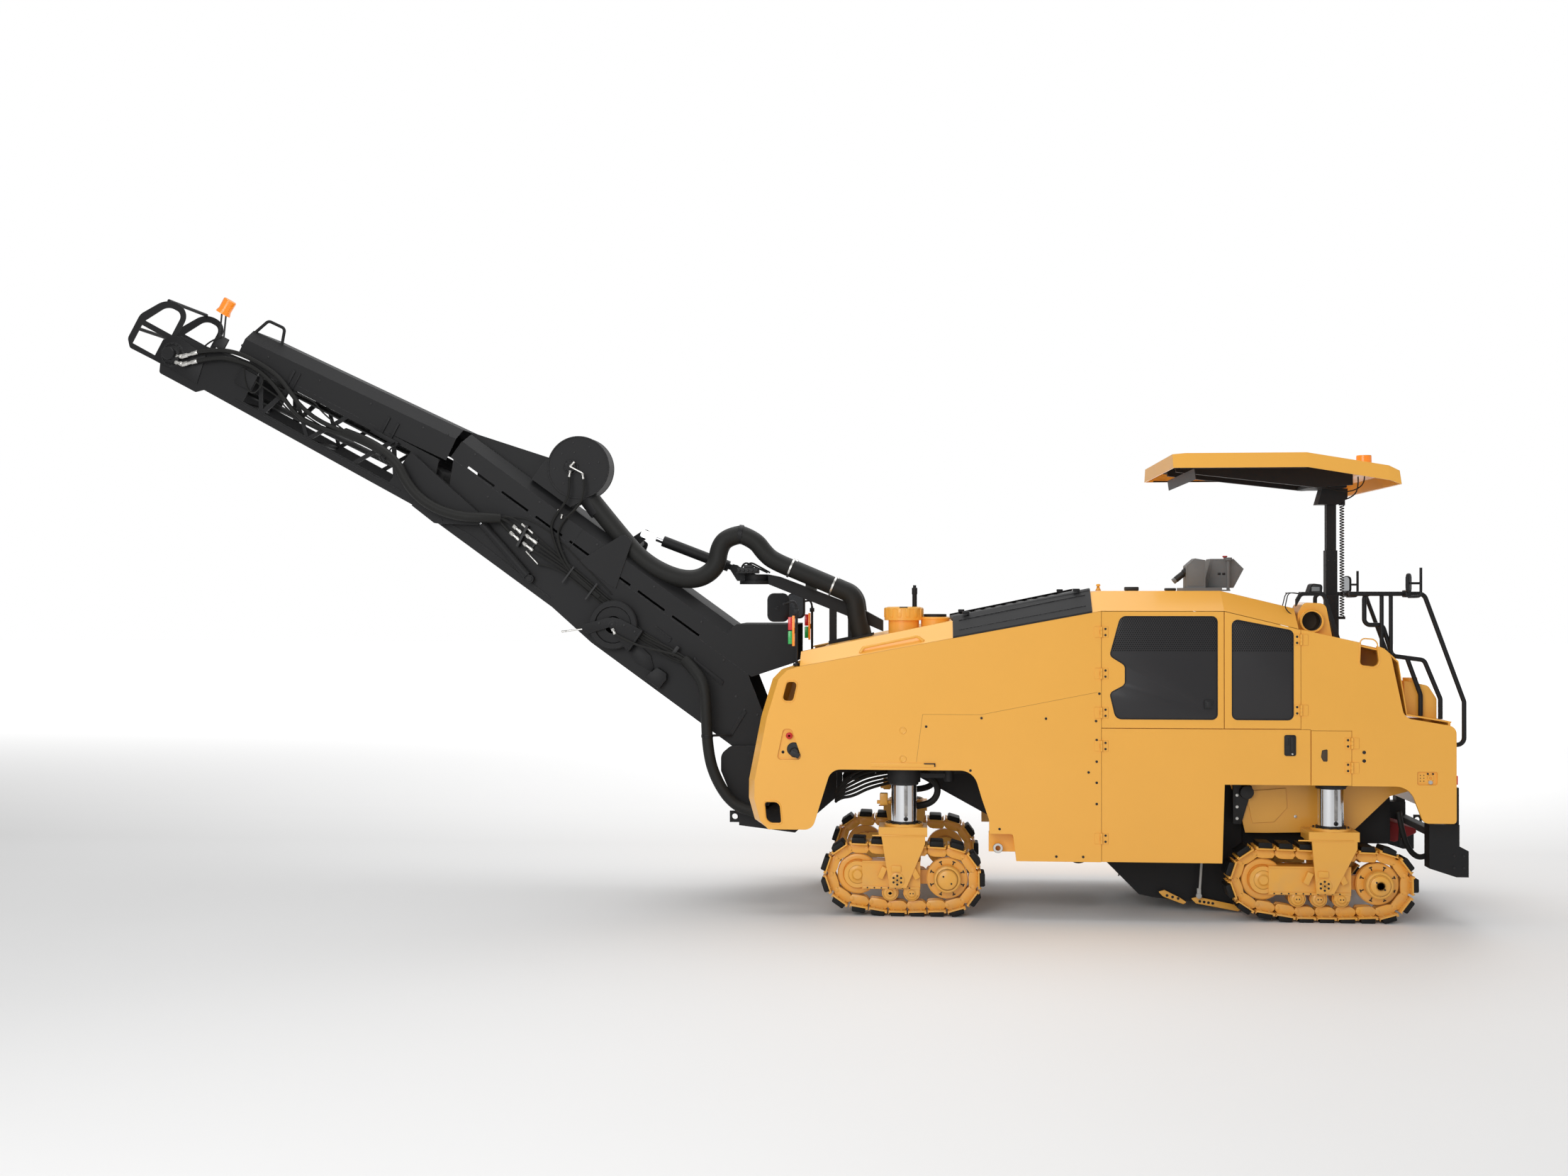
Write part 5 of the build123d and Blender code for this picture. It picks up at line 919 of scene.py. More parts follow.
        # the red finish glows faintly: painted light on a reflector, which is no lamp
        reflector = block(f"reflector_{name}", (2.3405, side * 0.978, 1.178),
                          (2.3560, side * 1.063, 1.252), 0.003)
        dress(reflector, "machine", "red")
        # tube end in the skirt's pocket
        collar = turned(f"pocket_collar_{name}", ((0.022, 0.0), (0.022, 0.012), (0.040, 0.012),
                                                  (0.043, 0.008), (0.043, 0.0)),
                        (-1.431, side * 1.012, 0.600), (0, side, 0), 32)
        dress(collar, "machine", "zinc")

    def execute(self, context):
        for name, side in SIDES:
            self.doors(name, side)
            self.fittings(name, side)
        return {"FINISHED"}


# ------------------------------------------------------------------ running gear
SLEEVE_FOOT, YOKE_TOP = 1.143, 0.790
COLUMN_R = 0.108
PIN_Z = 0.318


def ring_of(place, axis, radius, count, phase=0.0):
    """Places round a circle about an axis."""
    turn = Vector(axis).to_track_quat("Z", "X").to_matrix()
    return [Vector(place) + turn @ Vector((radius * cos(2 * pi * (k + phase) / count),
                                           radius * sin(2 * pi * (k + phase) / count), 0))
            for k in range(count)]


class PLANER_OT_gear(bpy.types.Operator):
    """Dress the columns, yokes, sprockets, idlers and rollers of the four corners."""

    bl_idname = "planer.gear"
    bl_label = "Running gear"

    def column(self, end, name, side, x):
        body = f"corner_{end}_{name}"
        y = side * TRACK_Y
        skin = turned(f"column_skin_{end}_{name}", ((COLUMN_R - 0.001, 0.0), (COLUMN_R + 0.0006, 0.0),
                      (COLUMN_R + 0.0006, SLEEVE_FOOT - YOKE_TOP - 0.002),
                      (COLUMN_R - 0.001, SLEEVE_FOOT - YOKE_TOP - 0.002)),
                      (x, y, YOKE_TOP), (0, 0, 1), 64)
        dress(skin, body, "chrome")
        foot = turned("foot", ((0.109, 0.0), (0.125, 0.0), (0.125, 0.012), (0.112, 0.018),
                               (0.109, 0.018)), (x, y, YOKE_TOP), (0, 0, 1), 48)
        screws = bolts("screws", ring_of((x, y, YOKE_TOP), (0, 0, 1), 0.145, 14), (0, 0, 1), 0.0095)
        wiper = turned("wiper", ((0.109, 0.0), (0.122, 0.0), (0.126, 0.010), (0.126, 0.022),
                                 (0.109, 0.022)), (x, y, SLEEVE_FOOT - 0.024), (0, 0, 1), 48)
        dress(joined(f"column_foot_{end}_{name}", [foot, screws]), body, "black")
        dress(joined(f"column_wiper_{end}_{name}", [wiper]), body, "black")
        # groove down the outside of the column, with the port at its foot
        reach = side * (TRACK_Y + COLUMN_R)
        groove = plate("groove", oblong(x + 0.018, 0.985, 0.030, 0.270, 0.0145),
                       reach - side * 0.010, reach + side * 0.0012, 0.0012)
        dress(joined(f"column_groove_{end}_{name}", [groove]), body, "steel")
        port = turned(f"column_port_{end}_{name}", ((0.0, 0.006), (0.012, 0.006), (0.019, 0.004),
                      (0.019, -0.010)), (x + 0.018, reach, 0.832), (0, side, 0), 24)
        dress(port, body, "black")

    def yoke(self, end, name, side, pin_x):
        body = f"corner_{end}_{name}"
        face = side * (TRACK_Y + 0.157)
        flange = turned("flange", ((0.0, 0.012), (0.014, 0.012), (0.014, 0.008), (0.050, 0.008),
                                   (0.062, 0.004), (0.062, 0.0)), (pin_x, face, PIN_Z),
                        (0, side, 0), 40)
        boss = plate("boss", oblong(pin_x - 0.010, PIN_Z + 0.096, 0.084, 0.052, 0.006), face,
                     face + side * 0.014, 0.004)
        lugs = []
        for dx, lean in ((-0.128, 0.42), (0.150, -0.52)):
            lug = plate("lug", oblong(0, 0, 0.050, 0.104, 0.007), side * (TRACK_Y + 0.100),
                        side * (TRACK_Y + 0.150), 0.005)
            lug.data.transform(Matrix.Translation((pin_x + dx, 0, PIN_Z + 0.058))
                               @ Matrix.Rotation(lean, 4, "Y"))
            lugs.append(lug)
        rib = plate("rib", ((pin_x - 0.215, 0.690), (pin_x + 0.240, 0.690), (pin_x + 0.240, 0.702),
                            (pin_x - 0.215, 0.702)), face, face + side * 0.006, 0.002)
        screws = bolts("screws", ring_of((pin_x, face + side * 0.008, PIN_Z), (0, side, 0), 0.037, 6),
                       (0, side, 0), 0.0085)
        core = bar("core", (pin_x, face, PIN_Z), (pin_x, face + side * 0.015, PIN_Z), 0.009, 16)
        dress(joined(f"yoke_boss_{end}_{name}", [flange, boss, *lugs, rib]), body, "gear_paint")
        dress(joined(f"yoke_screws_{end}_{name}", [screws, core]), body, "black")

    def wheels(self, end, name, side):
        body = f"corner_{end}_{name}"
        (ix, iz), (sx, sz), rollers = ENDS[end][:3]
        metal, dark = [], []
        y = side * TRACK_Y
        # sprocket: rim with slots, and the drive's cap
        rim = turned("rim", ((0.116, 0.0), (0.116, 0.010), (0.150, 0.012), (0.171, 0.008),
                             (0.174, 0.0)), (sx, y + side * 0.030, sz), (0, side, 0), 56)
        cap = turned("cap", ((0.0, 0.026), (0.070, 0.026), (0.080, 0.020), (0.082, 0.006),
                             (0.104, 0.004), (0.113, 0.0)), (sx, y + side * 0.122, sz),
                     (0, side, 0), 48)
        metal += [rim, cap]
        dark += [bolts("cap_screws", [(sx - 0.034, y + side * 0.148, sz + 0.030),
                                      (sx + 0.034, y + side * 0.148, sz - 0.030)],
                       (0, side, 0), 0.007, 12)]
        # the slots are thin black plates: painted shade of the openings in the rim
        slot = joined("slot", [block("stem", (-0.005, -0.0015, 0.122), (0.005, 0.0015, 0.150)),
                               block("head", (-0.014, -0.0015, 0.146), (0.014, 0.0015, 0.156))])
        dark.append(copies(slot, "slots", [Matrix.Translation((sx, y + side * 0.0425, sz))
                                           @ Matrix.Rotation(2 * pi * (k + 0.5) / 8, 4, "Y")
                                           for k in range(8)]))
        metal.append(bolts("drive_bolts", ring_of((sx, y + side * 0.122, sz), (0, side, 0),
                                                  0.098, 12), (0, side, 0), 0.006))
        # idler
        metal.append(turned("idler_rim", ((0.118, 0.0), (0.128, 0.010), (0.150, 0.012),
                                          (0.168, 0.006), (0.172, 0.0)),
                            (ix, y + side * 0.030, iz), (0, side, 0), 56))
        metal.append(turned("idler_hub", ((0.0, 0.022), (0.034, 0.022), (0.042, 0.014),
                                          (0.042, 0.004), (0.080, 0.0)),
                            (ix, y + side * 0.090, iz), (0, side, 0), 40))
        for x in rollers:
            metal.append(turned("roller_cap", ((0.0, 0.016), (0.024, 0.016), (0.032, 0.010),
                                               (0.034, 0.003), (0.060, 0.0)),
                                (x, y + side * 0.098, ROLLER_Z), (0, side, 0), 36))
            metal.append(turned("roller_flange", ((0.040, 0.0), (0.040, 0.004), (0.072, 0.004),
                                                  (0.074, 0.0)),
                                (x, y + side * 0.060, ROLLER_Z), (0, side, 0), 36))
            dark.append(bolts("roller_screw", [(x - 0.012, y + side * 0.114, ROLLER_Z),
                                               (x + 0.012, y + side * 0.114, ROLLER_Z)],
                              (0, side, 0), 0.005, 12))
        # seams, brackets and bolts of the frame's box
        face = y + side * 0.100
        x0, x1 = ix + 0.040, sx - 0.230
        metal.append(plate("box_lip", oblong((x0 + x1) / 2, 0.462, x1 - x0 - 0.010, 0.014, 0.003),
                           face, face + side * 0.006, 0.002))
        metal.append(plate("box_sole", oblong((x0 + x1) / 2, 0.242, x1 - x0 - 0.010, 0.022, 0.003),
                           face, face + side * 0.010, 0.003))
        for dx in (0.03, 0.115):
            metal.append(plate("roller_hanger", rounded(((x1 - dx - 0.020, 0.180, 0.01),
                                                         (x1 - dx + 0.020, 0.180, 0.01),
                                                         (x1 - dx + 0.028, 0.250, 0.004),
                                                         (x1 - dx - 0.028, 0.250, 0.004))),
                               face - side * 0.006, face + side * 0.004, 0.002))
        dark.append(bolts("box_bolts", [(x0 + 0.045 + k * 0.060, face + side * 0.010, 0.242)
                                        for k in range(int((x1 - x0 - 0.06) / 0.060))],
                          (0, side, 0), 0.006))
        dress(joined(f"wheel_rims_{end}_{name}", metal), body, "gear_paint")
        dress(joined(f"wheel_screws_{end}_{name}", dark), body, "black")

    def execute(self, context):
        for end, (_, _, _, pin_x, leg_x) in ENDS.items():
            for name, side in SIDES:
                self.column(end, name, side, leg_x)
                self.yoke(end, name, side, pin_x)
                self.wheels(end, name, side)
        return {"FINISHED"}


# ------------------------------------------------------------------ conveyors
SIDE_DISC = (1.679, 0.211)
FAN = (2.790, 1.165)
HUB = (2.847, 1.131)
COVER_BOLTS = {                                    # along and above each conveyor
    "lower": ((3.938, 0.712), (3.622, 0.712), (2.883, 0.708), (2.230, 0.704), (1.586, 0.700),
              (1.053, 0.694), (0.689, 0.533), (0.410, 0.336), (0.157, 0.316), (0.278, 0.283),
              (0.273, 0.198), (3.300, 0.470), (2.450, 0.470)),
    "upper": ((2.197, 0.655), (1.927, 0.660), (1.395, 0.668), (0.867, 0.676), (0.330, 0.684),
              (2.125, 0.580), (2.027, 0.585)),
}
FAN_BOLTS = ((2.959, 1.321), (2.815, 1.377), (2.899, 1.255), (2.664, 1.311), (2.728, 1.254),
             (2.963, 1.029), (2.818, 0.970), (2.604, 1.169), (2.657, 1.073), (2.985, 1.180))
DISC_BRACKET = ((1.902, 0.047), (1.769, 0.220), (1.718, 0.269), (1.651, 0.296), (1.445, 0.327),
                (1.441, 0.100), (1.691, 0.177), (1.814, 0.013), (1.871, 0.006))
COUPLERS = (                                       # start, end, radius
    ((2.939, 0.334), (2.825, 0.323), 0.019), ((2.948, 0.397), (2.848, 0.388), 0.019),
    ((2.819, 0.397), (2.676, 0.395), 0.018), ((2.790, 0.325), (2.669, 0.320), 0.018),
    ((2.897, 0.456), (2.760, 0.447), 0.010), ((2.720, 0.278), (2.560, 0.248), 0.009),
)


def shape(name, where, rows, y0, y1, edge=0.002):
    """Plate with an outline given along and above a conveyor."""
    return plate(name, [where(u, v) for u, v in rows], y0, y1, edge)


def nut(name, start, end, radius):
    """Hydraulic fitting: a hexagon, a collar and a round crimp."""
    a, b = Vector(start), Vector(end)
    return joined(name, [bar("hex", a, a.lerp(b, 0.38), radius, 6, 0.001),
                         bar("collar", a.lerp(b, 0.34), a.lerp(b, 0.66), radius * 0.72, 16),
                         bar("crimp", a.lerp(b, 0.62), b, radius * 0.94, 16, 0.002)])


class PLANER_OT_conveyor(bpy.types.Operator):
    """Fit the conveyors' bolts, fan, guide disc, couplers, motor and beacon."""

    bl_idname = "planer.conveyor"
    bl_label = "Conveyor fittings"

    def bolt_rows(self):
        for end, where in (("lower", lower), ("upper", droop)):
            places = [at(where(u, v), side * SIDE_Y) for u, v in COVER_BOLTS[end]
                      for side in (-1, 1)]
            pieces = [bolts("row", [p for p in places if p[1] * side > 0], (0, side, 0), 0.0105, 12)
                      for side in (-1, 1)]
            dress(joined(f"cover_bolts_{end}", pieces), f"conveyor_{end}", "black")

    def fan(self):
        face = -0.390
        x, z = lower(*FAN)
        rim = turned("rim", ((0.272, 0.0), (0.272, 0.006), (0.283, 0.007), (0.286, 0.002),
                             (0.286, -0.004)), (x, face, z), (0, -1, 0), 72)
        lip = turned("lip", ((0.272, 0.0), (0.286, 0.0), (0.288, -0.004), (0.288, -0.012),
                             (0.284, -0.012)), (x, -0.170, z), (0, -1, 0), 72)
        x, z = lower(*HUB)
        boss = turned("boss", ((0.0, 0.050), (0.022, 0.050), (0.026, 0.040), (0.048, 0.038),
                               (0.052, 0.012), (0.070, 0.006), (0.070, 0.0)), (x, face, z),
                      (0, -1, 0), 32)
        dress(joined("fan_rims", [rim, lip, boss]), "conveyor_lower", "dark_paint")
        dress(bolts("fan_bolts", [at(lower(u, v), face) for u, v in FAN_BOLTS], (0, -1, 0), 0.0085,
                    12), "conveyor_lower", "black")
        y = face - 0.045
        fits = [nut("fit", at(lower(2.847, 1.131), y), at(lower(2.838, 1.190), y), 0.013),
                nut("fit", at(lower(2.820, 1.105), y - 0.02), at(lower(2.794, 1.050), y - 0.02), 0.013),
                nut("fit", at(lower(2.715, 1.150), y - 0.02), at(lower(2.677, 1.110), y - 0.02), 0.013),
                bar("arm", at(lower(2.847, 1.131), y - 0.012), at(lower(2.715, 1.150), y - 0.018),
                    0.008, 12),
                nut("fit", at(lower(2.700, 0.760), -0.462), at(lower(2.690, 0.722), -0.462), 0.011),
                nut("fit", at(lower(2.650, 0.742), -0.462), at(lower(2.632, 0.705), -0.462), 0.011)]
        dress(joined("fan_fittings", fits), "conveyor_lower", "zinc")

    def guide_disc(self):
        x, z = lower(*SIDE_DISC)
        drum = turned("drum", ((0.0, 0.018), (0.158, 0.018), (0.168, 0.036), (0.208, 0.036),
                               (0.219, 0.028), (0.220, 0.0), (0.150, 0.0)), (x, -0.492, z),
                      (0, -1, 0), 72)
        axle = bar("axle", (x, -0.440, z), (x, -0.545, z), 0.034, 28, 0.003)
        arms = shape("arms", lower, DISC_BRACKET, -0.531, -0.543, 0.003)
        foot = shape("foot", lower, ((1.441, 0.100), (1.445, 0.327), (1.425, 0.327),
                                     (1.421, 0.100)), -0.440, -0.543, 0.003)
        dress(joined("guide_disc", [drum, axle, arms, foot]), "conveyor_lower", "dark_paint")
        heads = [at(lower(u, v), -0.543) for u, v in ((1.786, 0.153), (1.684, 0.213),
                                                      (1.592, 0.270), (1.480, 0.280))]
        dress(bolts("disc_bolts", heads, (0, -1, 0), 0.010, 12), "conveyor_lower", "black")
        feeler = [bar("stem", at(lower(1.880, 0.020), -0.520), at(lower(1.992, -0.085), -0.520), 0.007),
                  nut("tip", at(lower(1.985, -0.078), -0.520), at(lower(2.022, -0.112), -0.520), 0.010),
                  nut("elbow", at(lower(1.660, 0.185), -0.552), at(lower(1.610, 0.158), -0.552), 0.017)]
        dress(joined("disc_fittings", feeler), "conveyor_lower", "zinc")
        parts = [shape("box", lower, ((1.165, -0.010), (1.165, 0.045), (1.130, 0.137),
                                      (1.032, 0.141), (1.000, 0.096), (1.008, -0.012)),
                       -0.440, -0.515, 0.006),
                 shape("tab", lower, ((0.916, 0.411), (0.890, 0.392), (0.580, 0.383),
                                      (0.568, 0.340), (0.918, 0.362)), -0.440, -0.452),
                 shape("box", lower, ((1.440, 0.090), (1.401, 0.200), (1.246, 0.180),
                                      (1.159, 0.105), (1.159, 0.070), (1.327, 0.050)),
                       -0.440, -0.456, 0.003)]
        dress(joined("hose_boxes", parts), "conveyor_lower", "rail_paint")
        frames = [strip("strip", [lower(u, v) for u, v in rows], width, -0.440, y)
                  for rows, width, y in (
                      (((0.267, 0.279), (0.250, 0.020)), 0.032, -0.453),
                      (((1.370, 0.418), (1.185, 0.412), (1.190, 0.372)), 0.012, -0.449),
                      (((3.790, 0.560), (3.790, 0.738)), 0.006, -0.4415),
                      (((2.420, 0.500), (2.420, 0.738)), 0.006, -0.4415),
                      (((3.480, 0.060), (3.220, 0.090), (2.300, 0.060)), 0.016, -0.446))]
        dress(joined("lower_strips", frames), "conveyor_lower", "dark_paint")

    def couplers(self):
        y = -0.478
        made = [nut("coupler", at(lower(*a), y), at(lower(*b), y), r) for a, b, r in COUPLERS]
        dress(joined("couplers", made), "conveyor_lower", "zinc")
        rack = [strip("rack", [lower(2.838, 0.480), lower(2.806, 0.270)], 0.022, -0.440, -0.512),
                strip("rack", [lower(2.700, 0.440), lower(2.690, 0.260)], 0.014, -0.440, -0.462)]
        dress(joined("coupler_rack", rack), "conveyor_lower", "black")

    def head(self):
        x, z = upper(2.976, 0.146)
        motor = turned("motor", ((0.0, 0.108), (0.052, 0.108), (0.058, 0.100), (0.058, 0.052),
                                 (0.078, 0.046), (0.078, 0.016), (0.112, 0.012), (0.112, 0.0)),
                       (x, -0.440, z), (0, -1, 0), 36)
        cheek = shape("cheek", upper, ((3.120, 0.020), (3.120, 0.230), (3.020, 0.320),
                                       (2.690, 0.290), (2.640, 0.020)), -0.440, -0.450)
        port = [bar("port", at(upper(2.930, 0.120), -0.500), at(upper(2.870, 0.150), -0.500), 0.030,
                    20, 0.003)]
        dress(joined("head_motor", [motor, cheek, *port]), "conveyor_upper", "rail_paint")
        ring = ring_of((x, -0.452, z), (0, -1, 0), 0.098, 8)
        dress(bolts("motor_bolts", ring, (0, -1, 0), 0.008, 12), "conveyor_upper", "black")
        fits = [nut("fit", at(upper(2.905, 0.150), -0.505), at(upper(2.862, 0.178), -0.505), 0.024),
                nut("fit", at(upper(2.862, 0.175), -0.500), at(upper(2.747, 0.283), -0.500), 0.023),
                nut("fit", at(upper(2.890, 0.110), -0.505), at(upper(2.822, 0.118), -0.505), 0.024),
                nut("fit", at(upper(2.825, 0.112), -0.500), at(upper(2.712, 0.210), -0.500), 0.023)]
        dress(joined("head_fittings", fits), "conveyor_upper", "zinc")
        # small brackets and the wiring box on the side of the truss
        parts = [shape("box", upper, ((2.330, 0.200), (2.330, 0.355), (2.150, 0.355),
                                      (2.150, 0.200)), -0.440, -0.478, 0.004),
                 shape("tab", upper, ((1.900, 0.395), (1.900, 0.560), (1.868, 0.560),
                                      (1.868, 0.395)), -0.440, -0.452),
                 shape("tab", upper, ((1.830, 0.395), (1.830, 0.560), (1.812, 0.560),
                                      (1.812, 0.395)), -0.440, -0.452),
                 shape("tab", upper, ((0.900, 0.420), (0.900, 0.600), (0.876, 0.600),
                                      (0.876, 0.420)), -0.440, -0.456),
                 shape("tab", upper, ((0.800, 0.420), (0.800, 0.590), (0.776, 0.590),
                                      (0.776, 0.420)), -0.440, -0.456),
                 shape("tab", upper, ((0.980, 0.400), (0.980, 0.440), (0.700, 0.440),
                                      (0.700, 0.400)), -0.440, -0.470, 0.003),
                 strip("strip", [upper(2.260, 0.060), upper(0.480, 0.060)], 0.012, -0.440, -0.446)]
        dress(joined("truss_brackets", parts), "conveyor_upper", "dark_paint")

    def beacon(self):
        start, end = at(upper(2.727, 0.700), -0.454), at(upper(2.722, 0.844), -0.454)
        way = Vector(end) - Vector(start)
        tall = way.length
        shell = turned("beacon_lens", ((0.0, tall), (0.052, tall), (0.060, tall - 0.008),
                                       (0.057, 0.040), (0.066, 0.014), (0.068, 0.0), (0.0, 0.0)),
                       start, way, 40)
        dress(shell, "conveyor_upper", "amber")
        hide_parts("conveyor_beacon")
        posts = [bar("post", at(upper(2.600 + du, 0.420), -0.446), at(upper(2.717 + du, 0.705), -0.454),
                     0.008, 12) for du in (-0.022, 0.022)]
        clamp = shape("clamp", upper, ((2.660, 0.400), (2.660, 0.520), (2.560, 0.520),
                                       (2.560, 0.400)), -0.440, -0.462, 0.003)
        dress(joined("beacon_posts", posts + [clamp]), "conveyor_upper", "black")

    def execute(self, context):
        self.bolt_rows()
        self.fan()
        self.guide_disc()
        self.couplers()
        self.head()
        self.beacon()
        return {"FINISHED"}


# ------------------------------------------------------------------ hoses
def across_of(points):
    """Place rows from a conveyor's side view: where, along, above, Y."""
    return [at(where(u, v), y) for where, u, v, y in points]


SUCTION_LOW = ((-5.069, -0.300, 3.608), (-4.835, -0.320, 3.323), (-4.601, -0.350, 3.057),
               (-4.315, -0.350, 2.906), (-4.092, -0.320, 2.887), (-3.930, -0.280, 3.001),
               (-3.915, -0.240, 3.180), (-3.840, -0.215, 3.280), (-3.720, -0.200, 3.302))
SUCTION_HIGH = ((-3.720, -0.200, 3.302), (-3.590, -0.200, 3.255), (-3.500, -0.200, 3.130),
                (-3.410, -0.200, 3.055), (-3.264, -0.200, 2.996))
SLEEVE_HEAD = [(upper, 1.170, 0.285, -0.500), (upper, 0.963, 0.318, -0.560),
               (upper, 0.722, 0.314, -0.600), (upper, 0.560, 0.270, -0.606),
               (upper, 0.427, 0.174, -0.606), (upper, 0.254, 0.100, -0.606),
               (upper, 0.035, 0.086, -0.606), (lower, 3.330, 0.215, -0.604),
               (lower, 3.185, 0.318, -0.570), (lower, 3.080, 0.383, -0.512)]
SLEEVE_NOSE = ((-4.190, -0.500, 2.170), (-4.090, -0.560, 2.080), (-4.005, -0.600, 1.960),
               (-3.985, -0.610, 1.760), (-3.975, -0.610, 1.500))
SLEEVE_FOOT_LINE = ((-3.975, -0.610, 1.500), (-3.962, -0.610, 1.325), (-3.900, -0.610, 1.130),
                    (-3.790, -0.610, 0.950), (-3.660, -0.620, 0.855), (-3.500, -0.640, 0.830))
TWINS = (((2.747, 0.283), (2.595, 0.392), (2.407, 0.459), (2.188, 0.467), (1.977, 0.449),
          (1.801, 0.371), (1.651, 0.300), (1.406, 0.258), (1.160, 0.292)),
         ((2.712, 0.210), (2.563, 0.334), (2.370, 0.392), (2.204, 0.415), (2.002, 0.372),
          (1.826, 0.293), (1.676, 0.222), (1.483, 0.195), (1.160, 0.268)))
FAN_HOSES = (((2.794, 1.050, -0.455), (2.720, 0.960, -0.470), (2.683, 0.860, -0.470),
              (2.694, 0.648, -0.466), (2.636, 0.551, -0.470), (2.405, 0.394, -0.482),
              (2.182, 0.346, -0.486), (1.930, 0.330, -0.480)),
             ((2.677, 1.110, -0.455), (2.611, 1.043, -0.470), (2.562, 0.900, -0.470),
              (2.613, 0.683, -0.466), (2.564, 0.533, -0.470), (2.299, 0.377, -0.490),
              (2.050, 0.352, -0.486), (1.930, 0.342, -0.480)))


